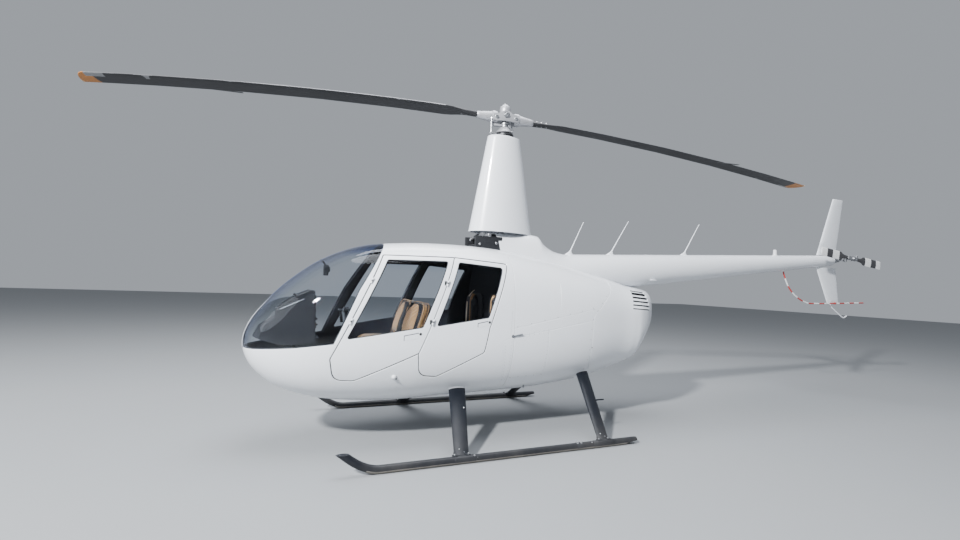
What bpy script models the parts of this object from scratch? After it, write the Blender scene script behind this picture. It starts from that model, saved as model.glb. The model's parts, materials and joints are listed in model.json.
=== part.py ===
"""Light four-seat helicopter on skids, with a two-blade main rotor on a tall faired mast.

Metres, +Z up, nose towards -Y, port side at +X, ground at z = 0.
Every y below is measured from the mast's axis, and the empty "airframe" sets the whole
model back by MAST_Y, so that the world's origin is under the middle of its box.
"""

import math

import bmesh
import bpy
from mathutils import Matrix, Vector

# Rotors
ROTOR_RADIUS = 4.10
ROTOR_CHORD = 0.25
ROTOR_TURN = math.radians(-9.4)
ROTOR_TEETER = math.radians(2.2)
ROTOR_DROOP = 0.27
BLADE_ROOT = 0.335
HUB_Z = 3.39
SWASH_Z = 3.205
SHAFT_RADIUS = 0.034
TAIL_ROTOR_RADIUS = 0.7365
TAIL_ROTOR_CHORD = 0.13
TAIL_ROTOR_TURN = math.radians(6.0)
TAIL_ROTOR_X = 0.28
TAIL_ROTOR_Y = 5.87
TAIL_ROTOR_Z = 2.115
BLADE_REACH = ROTOR_RADIUS * math.cos(ROTOR_TURN) + ROTOR_CHORD / 2 * math.sin(-ROTOR_TURN)
TAIL_REACH = TAIL_ROTOR_Y + TAIL_ROTOR_RADIUS * math.cos(TAIL_ROTOR_TURN)
MAST_Y = (BLADE_REACH - TAIL_REACH) / 2

# Landing gear
SKID_X = 1.075
SKID_RADIUS = 0.034
SKID_REAR_Y = 1.07
SKID_BEND_Y = -1.44
SKID_TOE_Y = -1.715
SKID_TOE_Z = 0.168

# Walls and gaps
SEAT_GAP = 0.0003
WALL = 0.035
DOOR_THICKNESS = 0.024
DOOR_GAP = 0.008
PANE_DEPTH = 0.006
PANE_THICKNESS = 0.005
SCREEN_THICKNESS = 0.006
COWL_THICKNESS = 0.015
CABIN_REAR_Y = -0.09
COWL_SEAM = (
    (1.000, 0.000), (0.980, 0.520), (0.934, 0.600), (0.885, 0.760), (0.879, 0.918), (0.883, 1.158),
    (0.916, 1.241), (0.995, 1.298), (1.111, 1.402), (1.196, 1.494), (1.260, 1.700), (1.260, 2.100),
)
FLOOR_Z = 0.53
FLOOR_THICKNESS = 0.03

# Side view of the instrument console: its foot and its head with the sloping hood. Columns: y, z.
CONSOLE_FOOT = (
    (-2.060, FLOOR_Z + SEAT_GAP),
    (-1.840, FLOOR_Z + SEAT_GAP),
    (-1.860, 0.950),
    (-2.080, 0.950),
)
CONSOLE_HEAD = (
    (-2.200, 0.900),
    (-1.890, 0.900),
    (-1.905, 1.010),
    (-1.925, 1.385),
    (-1.960, 1.378),
    (-2.075, 1.328),
    (-2.215, 1.228),
    (-2.240, 1.200),
    (-2.250, 1.130),
    (-2.380, 1.050),
    (-2.420, 0.970),
)

# The body's skin. Columns: y, half width, z of the keel, z of the widest line, z of the
# top, and how square the lower and the upper half of the section are (2 is an ellipse).
SKIN = (
    (-2.500, 0.000, 0.915, 0.915, 0.915, 2.0, 2.0),
    (-2.462, 0.165, 0.770, 0.915, 1.075, 2.0, 2.0),
    (-2.360, 0.300, 0.635, 0.920, 1.235, 2.1, 2.0),
    (-2.170, 0.425, 0.500, 0.935, 1.450, 2.2, 2.1),
    (-1.880, 0.535, 0.405, 0.965, 1.675, 2.3, 2.2),
    (-1.520, 0.605, 0.360, 1.000, 1.830, 2.4, 2.4),
    (-1.100, 0.637, 0.350, 1.035, 1.890, 2.5, 2.7),
    (-0.600, 0.645, 0.365, 1.065, 1.905, 2.5, 3.0),
    (-0.100, 0.640, 0.380, 1.090, 1.885, 2.5, 2.9),
    (0.400, 0.620, 0.405, 1.110, 1.815, 2.5, 2.7),
    (0.900, 0.575, 0.460, 1.135, 1.720, 2.4, 2.6),
    (1.350, 0.499, 0.557, 1.160, 1.628, 2.3, 2.6),
    (1.540, 0.478, 0.628, 1.178, 1.570, 2.6, 2.8),
    (1.650, 0.460, 0.690, 1.190, 1.551, 2.8, 2.9),
    (1.800, 0.393, 0.895, 1.215, 1.527, 2.8, 3.0),
    (1.915, 0.300, 1.065, 1.245, 1.508, 2.6, 2.9),
    (1.970, 0.172, 1.180, 1.275, 1.428, 2.3, 2.5),
    (1.988, 0.000, 1.300, 1.300, 1.300, 2.0, 2.0),
)
ROWS_PER_SPAN = 2
RING_POINTS = 40

# Outlines in side view, as (y, z) corners with the radius of each corner.
SCREEN_EDGE = ((-2.70, 0.860), (-2.41, 0.872), (-2.077, 0.900), (-1.777, 0.940))
SCREEN_REAR = ((-1.580, 1.410), (-1.340, 1.830), (-1.180, 2.060))
FRONT_DOOR = (
    (-1.364, 1.744, 0.02),
    (-1.799, 0.812, 0.05),
    (-1.760, 0.622, 0.13),
    (-1.590, 0.612, 0.10),
    (-1.042, 0.856, 0.03),
    (-0.957, 1.060, 0.05),
    (-0.697, 1.753, 0.01),
)
REAR_DOOR = (
    (-0.697, 1.753, 0.01),
    (-0.957, 1.060, 0.05),
    (-1.045, 0.848, 0.03),
    (-1.020, 0.648, 0.11),
    (-0.850, 0.630, 0.08),
    (-0.400, 0.851, 0.03),
    (-0.356, 1.087, 0.05),
    (-0.140, 1.716, 0.03),
)
FRONT_WINDOW = (
    (-1.330, 1.702, 0.03),
    (-1.678, 0.980, 0.02),
    (-1.014, 1.088, 0.03),
    (-0.762, 1.712, 0.02),
)
REAR_WINDOW = (
    (-0.659, 1.708, 0.03),
    (-0.890, 1.098, 0.02),
    (-0.368, 1.181, 0.03),
    (-0.197, 1.675, 0.03),
)
HINGE_HEIGHTS = (1.14, 1.50)
HINGE_RADIUS = 0.017
HINGE_LENGTH = 0.05
HINGE_PROUD = 0.012
FRONT_HINGE_LINE = (FRONT_DOOR[1][:2], FRONT_DOOR[0][:2])
REAR_HINGE_LINE = (REAR_DOOR[1][:2], REAR_DOOR[0][:2])
SIDES = (("port", 1), ("starboard", -1))

# The tail cone, a straight taper about a line that rises aft.
CONE_FRONT_Y = 0.80
CONE_REAR_Y = 5.78
CONE_WALL = 0.006

# The engine's block stands clear of the cowl's bottom, and its pipe runs out below.
ENGINE_Z = 0.62
EXHAUST_RADIUS = 0.038

# Paints and stuffs. Columns: colour, roughness, metallic
FINISHES = {
    "white_paint": ((0.80, 0.81, 0.83), 0.22, 0.0),
    "dark_trim": ((0.035, 0.037, 0.045), 0.5, 0.0),
    "gear_paint": ((0.022, 0.027, 0.040), 0.35, 0.0),
    "blade_paint": ((0.055, 0.055, 0.060), 0.45, 0.0),
    "bare_metal": ((0.42, 0.43, 0.45), 0.35, 0.9),
    "steel": ((0.30, 0.31, 0.33), 0.4, 0.9),
    "tan_leather": ((0.50, 0.34, 0.19), 0.55, 0.0),
    "clear_pane": ((0.55, 0.62, 0.70), 0.05, 0.0),
    "banded_tube": ((0.75, 0.20, 0.16), 0.4, 0.0),
    "cast_engine": ((0.20, 0.20, 0.21), 0.6, 0.6),
}


def clear_scene():
    for obj in list(bpy.data.objects):
        bpy.data.objects.remove(obj, do_unlink=True)


def make_materials():
    made = {}
    for name, (colour, roughness, metallic) in FINISHES.items():
        material = bpy.data.materials.new(name)
        material.use_nodes = True
        shader = material.node_tree.nodes["Principled BSDF"]
        shader.inputs["Base Color"].default_value = (*colour, 1.0)
        shader.inputs["Roughness"].default_value = roughness
        shader.inputs["Metallic"].default_value = metallic
        made[name] = material
    return made


def object_from(bm, name, finish="white_paint"):
    """An object on the airframe's empty, from a bmesh that is used up."""
    bmesh.ops.recalc_face_normals(bm, faces=bm.faces)
    mesh = bpy.data.meshes.new(name)
    bm.to_mesh(mesh)
    bm.free()
    mesh.materials.append(MATERIALS[finish])
    obj = bpy.data.objects.new(name, mesh)
    bpy.context.collection.objects.link(obj)
    return obj


def boolean(target, cutter, operation="DIFFERENCE"):
    """Cuts, joins or keeps what is common, and uses the cutter up."""
    modifier = target.modifiers.new("boolean", "BOOLEAN")
    modifier.operation = operation
    modifier.solver = "EXACT"
    modifier.object = cutter
    bpy.context.view_layer.update()
    graph = bpy.context.evaluated_depsgraph_get()
    mesh = bpy.data.meshes.new_from_object(target.evaluated_get(graph))
    target.modifiers.clear()
    target.data = mesh
    bpy.data.objects.remove(cutter, do_unlink=True)
    return target


def finished(obj, smooth_degrees=35, origin=None):
    """Shades the piece, puts its origin on its axis and hangs it on the airframe."""
    if origin is not None:
        obj.data.transform(Matrix.Translation(-Vector(origin)))
        obj.location = origin
    obj.data.shade_smooth()
    obj.data.set_sharp_from_angle(angle=math.radians(smooth_degrees))
    obj.parent = AIRFRAME
    return obj


def loft(rings):
    """A closed mesh through rings of equal length. A ring that is one point is a pole."""
    bm = bmesh.new()
    rows = []
    for ring in rings:
        points = [Vector(p) for p in ring]
        spread = max((p - points[0]).length for p in points)
        if spread < 1e-6:
            points = points[:1]
        rows.append([bm.verts.new(p) for p in points])
    for low, high in zip(rows, rows[1:]):
        count = max(len(low), len(high))
        for i in range(count):
            j = (i + 1) % count
            corners = []
            for vert in (low[i % len(low)], low[j % len(low)], high[j % len(high)], high[i % len(high)]):
                if vert not in corners:
                    corners.append(vert)
            bm.faces.new(corners)
    for row in (rows[0], rows[-1]):
        if len(row) > 2:
            bm.faces.new(row)
    bmesh.ops.recalc_face_normals(bm, faces=bm.faces)
    return bm


def prism(outline, x_low, x_high, name="cutter", finish="white_paint"):
    """A side-view outline of (y, z) points, drawn out across the body."""
    rings = [[(x, y, z) for y, z in outline] for x in (x_low, x_high)]
    return object_from(loft(rings), name, finish)


def slab(low, high, name="cutter", finish="white_paint"):
    """A box between two corners."""
    x0, y0, z0 = low
    x1, y1, z1 = high
    rings = [[(x0, y0, z), (x1, y0, z), (x1, y1, z), (x0, y1, z)] for z in (z0, z1)]
    return object_from(loft(rings), name, finish)


def rod(start, end, radius, end_radius=None, sides=12, name="rod", finish="steel", flatten=1.0):
    """A round bar or cone between two points. flatten below 1 makes it oval."""
    start, end = Vector(start), Vector(end)
    if end_radius is None:
        end_radius = radius
    turn = (end - start).to_track_quat("Z", "Y").to_matrix()
    rings = []
    for centre, size in ((start, radius), (end, end_radius)):
        ring = []
        for i in range(sides):
            angle = 2 * math.pi * i / sides
            ring.append(centre + turn @ Vector((size * math.cos(angle) * flatten, size * math.sin(angle), 0)))
        rings.append(ring)
    return object_from(loft(rings), name, finish)


def swept(path, radius, sides=10, name="tube", finish="steel"):
    """A round tube along points, with the ring at each point turned to the path."""
    points = [Vector(p) for p in path]
    rings = []
    up = Vector((1, 0, 0))
    for i, point in enumerate(points):
        ahead = points[min(i + 1, len(points) - 1)] - points[max(i - 1, 0)]
        ahead.normalize()
        side = ahead.cross(up).normalized()
        other = side.cross(ahead)
        ring = []
        for k in range(sides):
            angle = 2 * math.pi * k / sides
            ring.append(point + radius * (math.cos(angle) * side + math.sin(angle) * other))
        rings.append(ring)
    return object_from(loft(rings), name, finish)


def rounded(corners, steps=5):
    """The (y, z) outline through corners given as (y, z, radius)."""
    outline = []
    count = len(corners)
    for i, (y, z, radius) in enumerate(corners):
        here = Vector((y, z))
        before = Vector(corners[i - 1][:2])
        after = Vector(corners[(i + 1) % count][:2])
        back = (before - here).normalized()
        ahead = (after - here).normalized()
        half = math.acos(max(-1, min(1, back.dot(ahead)))) / 2
        reach = min(radius / math.tan(half), 0.45 * (before - here).length, 0.45 * (after - here).length)
        start = here + back * reach
        end = here + ahead * reach
        for k in range(steps + 1):
            t = k / steps
            point = (1 - t) ** 2 * start + 2 * t * (1 - t) * here + t * t * end
            outline.append((point.x, point.y))
    return outline


def grown(outline, amount):
    """An outline moved outwards by amount, or inwards where amount is negative."""
    points = [Vector(p) for p in outline]
    count = len(points)
    area = sum(points[i - 1].x * points[i].y - points[i].x * points[i - 1].y for i in range(count))
    side = 1 if area > 0 else -1
    moved = []
    for i, point in enumerate(points):
        first = (point - points[i - 1]).normalized()
        second = (points[(i + 1) % count] - point).normalized()
        normal = Vector((first.y + second.y, -first.x - second.x)).normalized() * side
        stretch = max(0.5, normal.dot(Vector((first.y, -first.x)) * side))
        moved.append(tuple(point + normal * amount / stretch))
    return moved


def skin_rows(per_span=ROWS_PER_SPAN):
    """The table's rows with smooth rows between them, rounded at both ends."""
    def mirrored(row):
        y, width, keel, belt, top, low_power, high_power = row
        return (y, -width, top, belt, keel, low_power, high_power)

    rows = [mirrored(SKIN[1]), *SKIN, mirrored(SKIN[-2])]
    smooth = []
    for i in range(1, len(rows) - 2):
        for k in range(per_span):
            t = k / per_span
            row = []
            for a, b, c, d in zip(*rows[i - 1 : i + 3]):
                cubic = (2 * b) + (c - a) * t + (2 * a - 5 * b + 4 * c - d) * t * t
                row.append(0.5 * (cubic + (3 * b - a - 3 * c + d) * t**3))
            smooth.append(row)
    smooth.append(SKIN[-1])
    return smooth


def section_ring(row, count=RING_POINTS):
    y, width, keel, belt, top, low_power, high_power = row
    ring = []
    for i in range(count):
        angle = 2 * math.pi * i / count
        cosine, sine = math.cos(angle), math.sin(angle)
        power = high_power if sine > 0 else low_power
        height = top - belt if sine > 0 else belt - keel
        x = math.copysign(abs(cosine) ** (2 / power), cosine) * width
        z = belt + math.copysign(abs(sine) ** (2 / power), sine) * height
        ring.append((x, y, z))
    return ring


def skin_x(y, z):
    """How far the skin is from the middle plane at this place in side view."""
    rows = skin_rows(8)
    for low, high in zip(rows, rows[1:]):
        if low[0] <= y <= high[0]:
            t = (y - low[0]) / (high[0] - low[0])
            width, keel, belt, top, low_power, high_power = (
                a + (b - a) * t for a, b in zip(low[1:], high[1:])
            )
            power = high_power if z > belt else low_power
            height = top - belt if z > belt else belt - keel
            return width * (1 - (abs(z - belt) / height) ** power) ** (1 / power)
    raise ValueError("no skin there")


def skin_solid(depth, name="cutter", finish="white_paint"):
    """The body's solid, with its skin moved in by depth."""
    bm = loft([section_ring(row) for row in skin_rows()])
    bmesh.ops.triangulate(bm, faces=bm.faces, quad_method="FIXED")
    bm.normal_update()
    moves = [(vert, vert.normal.copy()) for vert in bm.verts]
    for vert, normal in moves:
        vert.co -= normal * depth
    return object_from(bm, name, finish)


def panel(name, depth, thickness, outline, x_range=(-1.2, 1.2), finish="white_paint"):
    """The part of a shell of the skin that lies inside a side-view outline."""
    piece = skin_solid(depth, name, finish)
    boolean(piece, skin_solid(depth + thickness))
    return boolean(piece, prism(outline, *x_range), "INTERSECT")


def hinge_axis(line, side):
    """The two hinge points of a door, just proud of the skin along its front edge."""
    (low_y, low_z), (high_y, high_z) = line
    points = []
    for z in HINGE_HEIGHTS:
        y = low_y + (high_y - low_y) * (z - low_z) / (high_z - low_z)
        points.append(Vector((side * (skin_x(y, z) + HINGE_PROUD), y, z)))
    return points


def hinge_barrels(line, side, extra, length=HINGE_LENGTH, sides=12):
    """Short bars on the hinge's axis, wider by extra than the barrel."""
    low, high = hinge_axis(line, side)
    half = (high - low).normalized() * length / 2
    return [rod(p - half, p + half, HINGE_RADIUS + extra, sides=sides) for p in (low, high)]


def build_cabin_shell():
    """The tub, the roof with its posts, and the frame hoop behind the front doors."""
    openings = [grown(rounded(door), DOOR_GAP / 2) for door in (FRONT_DOOR, REAR_DOOR)]
    rear = CABIN_REAR_Y - SEAT_GAP
    top_edge = [(y, z - SEAT_GAP) for y, z in SCREEN_EDGE]
    tub = panel("cabin_tub", 0, WALL, [*top_edge, (rear, top_edge[-1][1]), (rear, 0.0), (-2.7, 0.0)])
    front = [(y + SEAT_GAP, z) for y, z in (SCREEN_EDGE[-1], *SCREEN_REAR)]
    roof = panel("cabin_roof", 0, WALL, [*front, (rear, 2.06), (rear, SCREEN_EDGE[-1][1])])
    for outline in openings:
        boolean(tub, prism(outline, -1.2, 1.2))
        boolean(roof, prism(outline, -1.2, 1.2))
    for _, side in SIDES:
        for notch in hinge_barrels(FRONT_HINGE_LINE, side, SEAT_GAP, HINGE_LENGTH + 2 * SEAT_GAP, 24):
            boolean(roof, notch)
    finished(tub)
    finished(roof)
    strip = ((-1.055, FLOOR_Z + SEAT_GAP), (-0.992, 1.06), (-0.635, 2.02))
    strip += ((-0.565, 2.02), (-0.922, 1.06), (-0.985, FLOOR_Z + SEAT_GAP))
    hoop = panel("cabin_hoop", WALL + SEAT_GAP, 0.025, strip, finish="dark_trim")
    for _, side in SIDES:
        for point in hinge_axis(REAR_HINGE_LINE, side):
            inner = side * (abs(point.x) - 0.07)
            tip = side * (abs(point.x) - 0.004)
            low_x, high_x = sorted((inner, tip))
            low = (low_x, point.y - 0.030, point.z - 0.02)
            high = (high_x, point.y - 0.0125, point.z + 0.02)
            boolean(hoop, slab(low, high), "UNION")
        for notch in hinge_barrels(REAR_HINGE_LINE, side, SEAT_GAP, HINGE_LENGTH + 0.02, 24):
            boolean(hoop, notch)
    finished(hoop)


def build_windscreen():
    """Two panes either side of the centre strip."""
    outline = [*SCREEN_EDGE, *SCREEN_REAR, (-2.7, 2.06)]
    half_strip = 0.028
    strip = panel("windscreen_bow", 0, 0.018, outline, (-half_strip, half_strip))
    finished(strip)
    for side_name, side in SIDES:
        x_range = sorted((side * (half_strip + SEAT_GAP), side * 1.2))
        pane = panel(f"windscreen_{side_name}", 0, SCREEN_THICKNESS, outline, x_range, "clear_pane")
        finished(pane)


def build_doors():
    """Four doors hinged at their front edges, each with its window let in."""
    doors = (
        ("front", FRONT_DOOR, FRONT_WINDOW, FRONT_HINGE_LINE),
        ("rear", REAR_DOOR, REAR_WINDOW, REAR_HINGE_LINE),
    )
    for place, outline, window, line in doors:
        edge = grown(rounded(outline), -DOOR_GAP / 2)
        glass = rounded(window)
        for side_name, side in SIDES:
            x_range = sorted((side * 0.2, side * 1.2))
            door = panel(f"{place}_door_{side_name}", 0, DOOR_THICKNESS, edge, x_range)
            boolean(door, prism(glass, *x_range))
            if place == "front":
                for point in hinge_axis(REAR_HINGE_LINE, side):
                    low = (point.x - 0.1, point.y - 0.040, point.z - 0.032)
                    high = (point.x + 0.1, point.y + 0.03, point.z + 0.032)
                    boolean(door, slab(low, high))
            for barrel in hinge_barrels(line, side, 0):
                boolean(door, barrel, "UNION")
            pane = panel(
                f"{place}_window_{side_name}",
                PANE_DEPTH,
                PANE_THICKNESS,
                grown(glass, -SEAT_GAP),
                x_range,
                "clear_pane",
            )
            low, _ = hinge_axis(line, side)
            finished(door, origin=low)
            finished(pane, origin=low)


def cone_centre(y):
    return 1.744 + 0.0882 * (y - 1.88)


def cone_radius(y):
    return 0.205 - 0.0324 * (y - 1.88)


def cone_solid(grow, front=CONE_FRONT_Y, rear=CONE_REAR_Y, name="cutter"):
    """The tail cone's solid, wider by grow and, where grow is positive, longer by it too."""
    front -= max(0, grow)
    rear += max(0, grow)
    start = (0, front, cone_centre(front))
    end = (0, rear, cone_centre(rear))
    return rod(start, end, cone_radius(front) + grow, cone_radius(rear) + grow, 24, name, "white_paint")


def exhaust(grow, name="cutter"):
    """The exhaust pipe, from under the engine out through the cowl."""
    path = [(-0.12, 0.62, ENGINE_Z - SEAT_GAP), (-0.12, 0.62, 0.52), (-0.12, 0.63, 0.47), (-0.12, 0.645, 0.40)]
    return swept(path, EXHAUST_RADIUS + grow, 12, name, "steel")


def build_cowls():
    """The engine's cowl and the rear cowl with its louvres, open over the tail cone."""
    front = CABIN_REAR_Y + SEAT_GAP
    cowl = panel("engine_cowl", 0, COWL_THICKNESS, [(front, 0), *COWL_SEAM, (front, 2.1)])
    boolean(cowl, cone_solid(SEAT_GAP, CONE_FRONT_Y - SEAT_GAP))
    boolean(cowl, exhaust(SEAT_GAP))
    finished(cowl)
    seam = [(y + SEAT_GAP, z) for y, z in COWL_SEAM]
    rear = panel("rear_cowl", 0, COWL_THICKNESS, [(2.2, 0), (2.2, 2.1), *seam[::-1]])
    boolean(rear, cone_solid(SEAT_GAP))
    for i in range(5):
        z = 1.290 + 0.045 * i
        y_front = 1.500 + 0.008 * i
        y_rear = 1.785 - 0.006 * i
        slot = ((y_front, z), (y_rear, z - 0.012), (y_rear, z + 0.006), (y_front, z + 0.018))
        boolean(rear, prism(slot, -1.0, 1.0))
    finished(rear)


# The fairing's slanted front edge in side view, and what lies before it.
DECK_FRONT = ((-0.010, 1.60), (-0.1425, 2.20), (-0.40, 2.20), (-0.40, 1.60))


def build_deck():
    """The white fairing behind the mast, the gearbox before it and the mast's own fairing."""
    # columns: y, half width, z of the middle, z of the top, how square the section is
    sections = (
        (-0.125, 0.186, 1.700, 2.0747, 3.5),
        (0.415, 0.206, 1.690, 2.0747, 3.2),
        (0.470, 0.210, 1.686, 2.016, 3.0),
        (0.520, 0.214, 1.682, 1.976, 2.8),
        (0.575, 0.219, 1.677, 1.945, 2.6),
        (0.640, 0.225, 1.670, 1.918, 2.4),
        (0.720, 0.233, 1.660, 1.900, 2.2),
        (0.820, 0.239, cone_centre(0.82), cone_centre(0.82) + 0.239, 2.0),
    )
    rings = []
    for y, width, middle, top, power in sections:
        rings.append(section_ring((y, width, middle - 0.2, middle, top, 2.0, power), 24))
    fairing = object_from(loft(rings), "deck_fairing")
    boolean(fairing, skin_solid(-SEAT_GAP))
    boolean(fairing, cone_solid(SEAT_GAP))
    boolean(fairing, prism([(y + SEAT_GAP, z) for y, z in DECK_FRONT], -0.5, 0.5))
    finished(fairing)
    gearbox = rod((0, 0, 1.70), (0, 0, 2.06), 0.15, 0.13, 20, "main_gearbox", "dark_trim")
    boolean(gearbox, slab((-0.13, -0.36, 1.72), (0.13, 0.02, 2.00)), "UNION")
    boolean(gearbox, slab((-0.05, -0.41, 1.74), (0.05, -0.30, 2.05)), "UNION")
    behind = [(y, z) for y, z in DECK_FRONT[:2]]
    boolean(gearbox, prism([*behind, (0.4, DECK_FRONT[1][1]), (0.4, DECK_FRONT[0][1])], -0.5, 0.5))
    boolean(gearbox, skin_solid(-SEAT_GAP))
    finished(gearbox)


def teardrop(z, length, width, wall):
    """A streamlined ring, blunt in front and drawn out behind."""
    ring = []
    for i in range(24):
        angle = 2 * math.pi * i / 24
        y = -math.cos(angle) * (length - wall)
        pinch = 1 - 0.22 * y / length
        ring.append((math.sin(angle) * (width - wall) * pinch, y, z))
    return ring


def build_mast():
    """The tall fairing round the mast. It is open at both ends, where the shaft runs."""
    bottom, top, wall = 2.075, 3.165, 0.012
    outer = [teardrop(bottom, 0.375, 0.20, 0), teardrop(top, 0.195, 0.115, 0)]
    fairing = object_from(loft(outer), "mast_fairing")
    inner = [teardrop(bottom - 0.05, 0.384, 0.204, wall), teardrop(top + 0.05, 0.186, 0.111, wall)]
    boolean(fairing, object_from(loft(inner), "cutter"))
    finished(fairing)


def build_main_rotor():
    """Shaft, swashplate, hub and two blades, modelled along -Y and then turned to rest."""
    made = []
    plate = rod((0, 0, SWASH_Z - 0.03), (0, 0, SWASH_Z), 0.115, 0.105, 24, "swashplate", "bare_metal")
    boolean(plate, rod((0, 0, SWASH_Z - 0.095), (0, 0, SWASH_Z - 0.029), 0.062, 0.062, 16), "UNION")
    boolean(plate, rod((0, 0, 3.0), (0, 0, 3.3), SHAFT_RADIUS + SEAT_GAP, sides=16))
    made.append(plate)
    foot, head = (0, 0, 2.0750), (0, 0, HUB_Z - 0.0553)
    shaft = rod(foot, head, SHAFT_RADIUS, SHAFT_RADIUS, 16, "rotor_mast", "bare_metal")
    made.append(shaft)
    hub = slab((-0.085, -0.16, HUB_Z - 0.055), (0.085, 0.16, HUB_Z + 0.055), "rotor_hub", "bare_metal")
    boolean(hub, rod((0, 0, HUB_Z - 0.0497), (0, 0, HUB_Z + 0.12), 0.055, 0.045, 16), "UNION")
    boolean(hub, rod((0, 0, HUB_Z + 0.10), (0, 0, HUB_Z + 0.172), 0.035, 0.02, 12), "UNION")
    boolean(hub, rod((-0.13, 0, HUB_Z), (0.13, 0, HUB_Z), 0.028), "UNION")
    for end in (-1, 1):
        tilt = -end * math.tan(ROTOR_TEETER)
        root = Vector((0, end * 0.10, HUB_Z + 0.10 * tilt))
        grip = Vector((0, end * 0.335, HUB_Z + 0.335 * tilt))
        boolean(hub, rod(root, grip, 0.052, 0.045, 14), "UNION")
        horn = grip + Vector((0.17, -end * 0.07, -0.01))
        boolean(hub, rod(grip - Vector((0, end * 0.07, 0)), horn, 0.016), "UNION")
        boolean(hub, rod(horn + Vector((0, 0, 0.02)), (0.085, end * 0.04, SWASH_Z - 0.01), 0.010), "UNION")
        low_y, high_y = sorted((end * BLADE_ROOT, end * 0.5))
        boolean(hub, slab((-0.2, low_y, 3.2), (0.2, high_y, 3.6)))
    boolean(hub, slab((-0.3, -0.3, SWASH_Z - 0.1), (0.3, 0.3, SWASH_Z + SEAT_GAP)))
    made.append(hub)
    for name, end in (("main_blade_a", -1), ("main_blade_b", 1)):
        made.append(build_blade(name, end))
    for piece in made:
        finished(piece)
        piece.rotation_euler.z = ROTOR_TURN


def aerofoil(chord, thickness, count=12):
    """A symmetrical section, leading edge at +x, as (x, z) points."""
    points = []
    for i in range(count):
        angle = 2 * math.pi * i / count
        along = math.cos(angle)
        thick = math.sin(angle) * (1 + 0.45 * along) * thickness / 2
        points.append((along * chord / 2, thick))
    return points


def build_blade(name, end):
    """A drooping blade. Its leading edge faces the way that the rotor turns."""
    tilt = -end * math.tan(ROTOR_TEETER)
    rings = []
    # columns: share of the radius, chord, thickness
    stations = (
        ((BLADE_ROOT + SEAT_GAP) / ROTOR_RADIUS, 0.10, 0.07),
        (0.115, 0.12, 0.05),
        (0.165, ROTOR_CHORD, 0.030),
        (0.40, ROTOR_CHORD, 0.030),
        (0.60, ROTOR_CHORD, 0.029),
        (0.78, ROTOR_CHORD, 0.028),
        (0.90, ROTOR_CHORD, 0.027),
        (0.985, ROTOR_CHORD, 0.026),
        (1.0, ROTOR_CHORD * 0.86, 0.018),
    )
    for share, chord, thickness in stations:
        radius = share * ROTOR_RADIUS
        z = HUB_Z + radius * tilt - ROTOR_DROOP * share**2
        ring = [(-end * x, end * radius, z + up) for x, up in aerofoil(chord, thickness)]
        rings.append(ring)
    return object_from(loft(rings), name, "blade_paint")


def tail_gearbox(grow, name="cutter"):
    """The gearbox behind the cone with its spindle across, wider by grow."""
    start = (0, CONE_REAR_Y - 0.01, cone_centre(CONE_REAR_Y))
    end = (0, TAIL_ROTOR_Y + 0.06 + grow, TAIL_ROTOR_Z)
    box = rod(start, end, 0.050 + grow, 0.036 + grow, 16, name, "bare_metal")
    low = (-0.05 - grow, TAIL_ROTOR_Y, TAIL_ROTOR_Z)
    high = (0.10, TAIL_ROTOR_Y, TAIL_ROTOR_Z)
    return boolean(box, rod(low, high, 0.045 + grow, 0.038 + grow, 16), "UNION")


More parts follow.
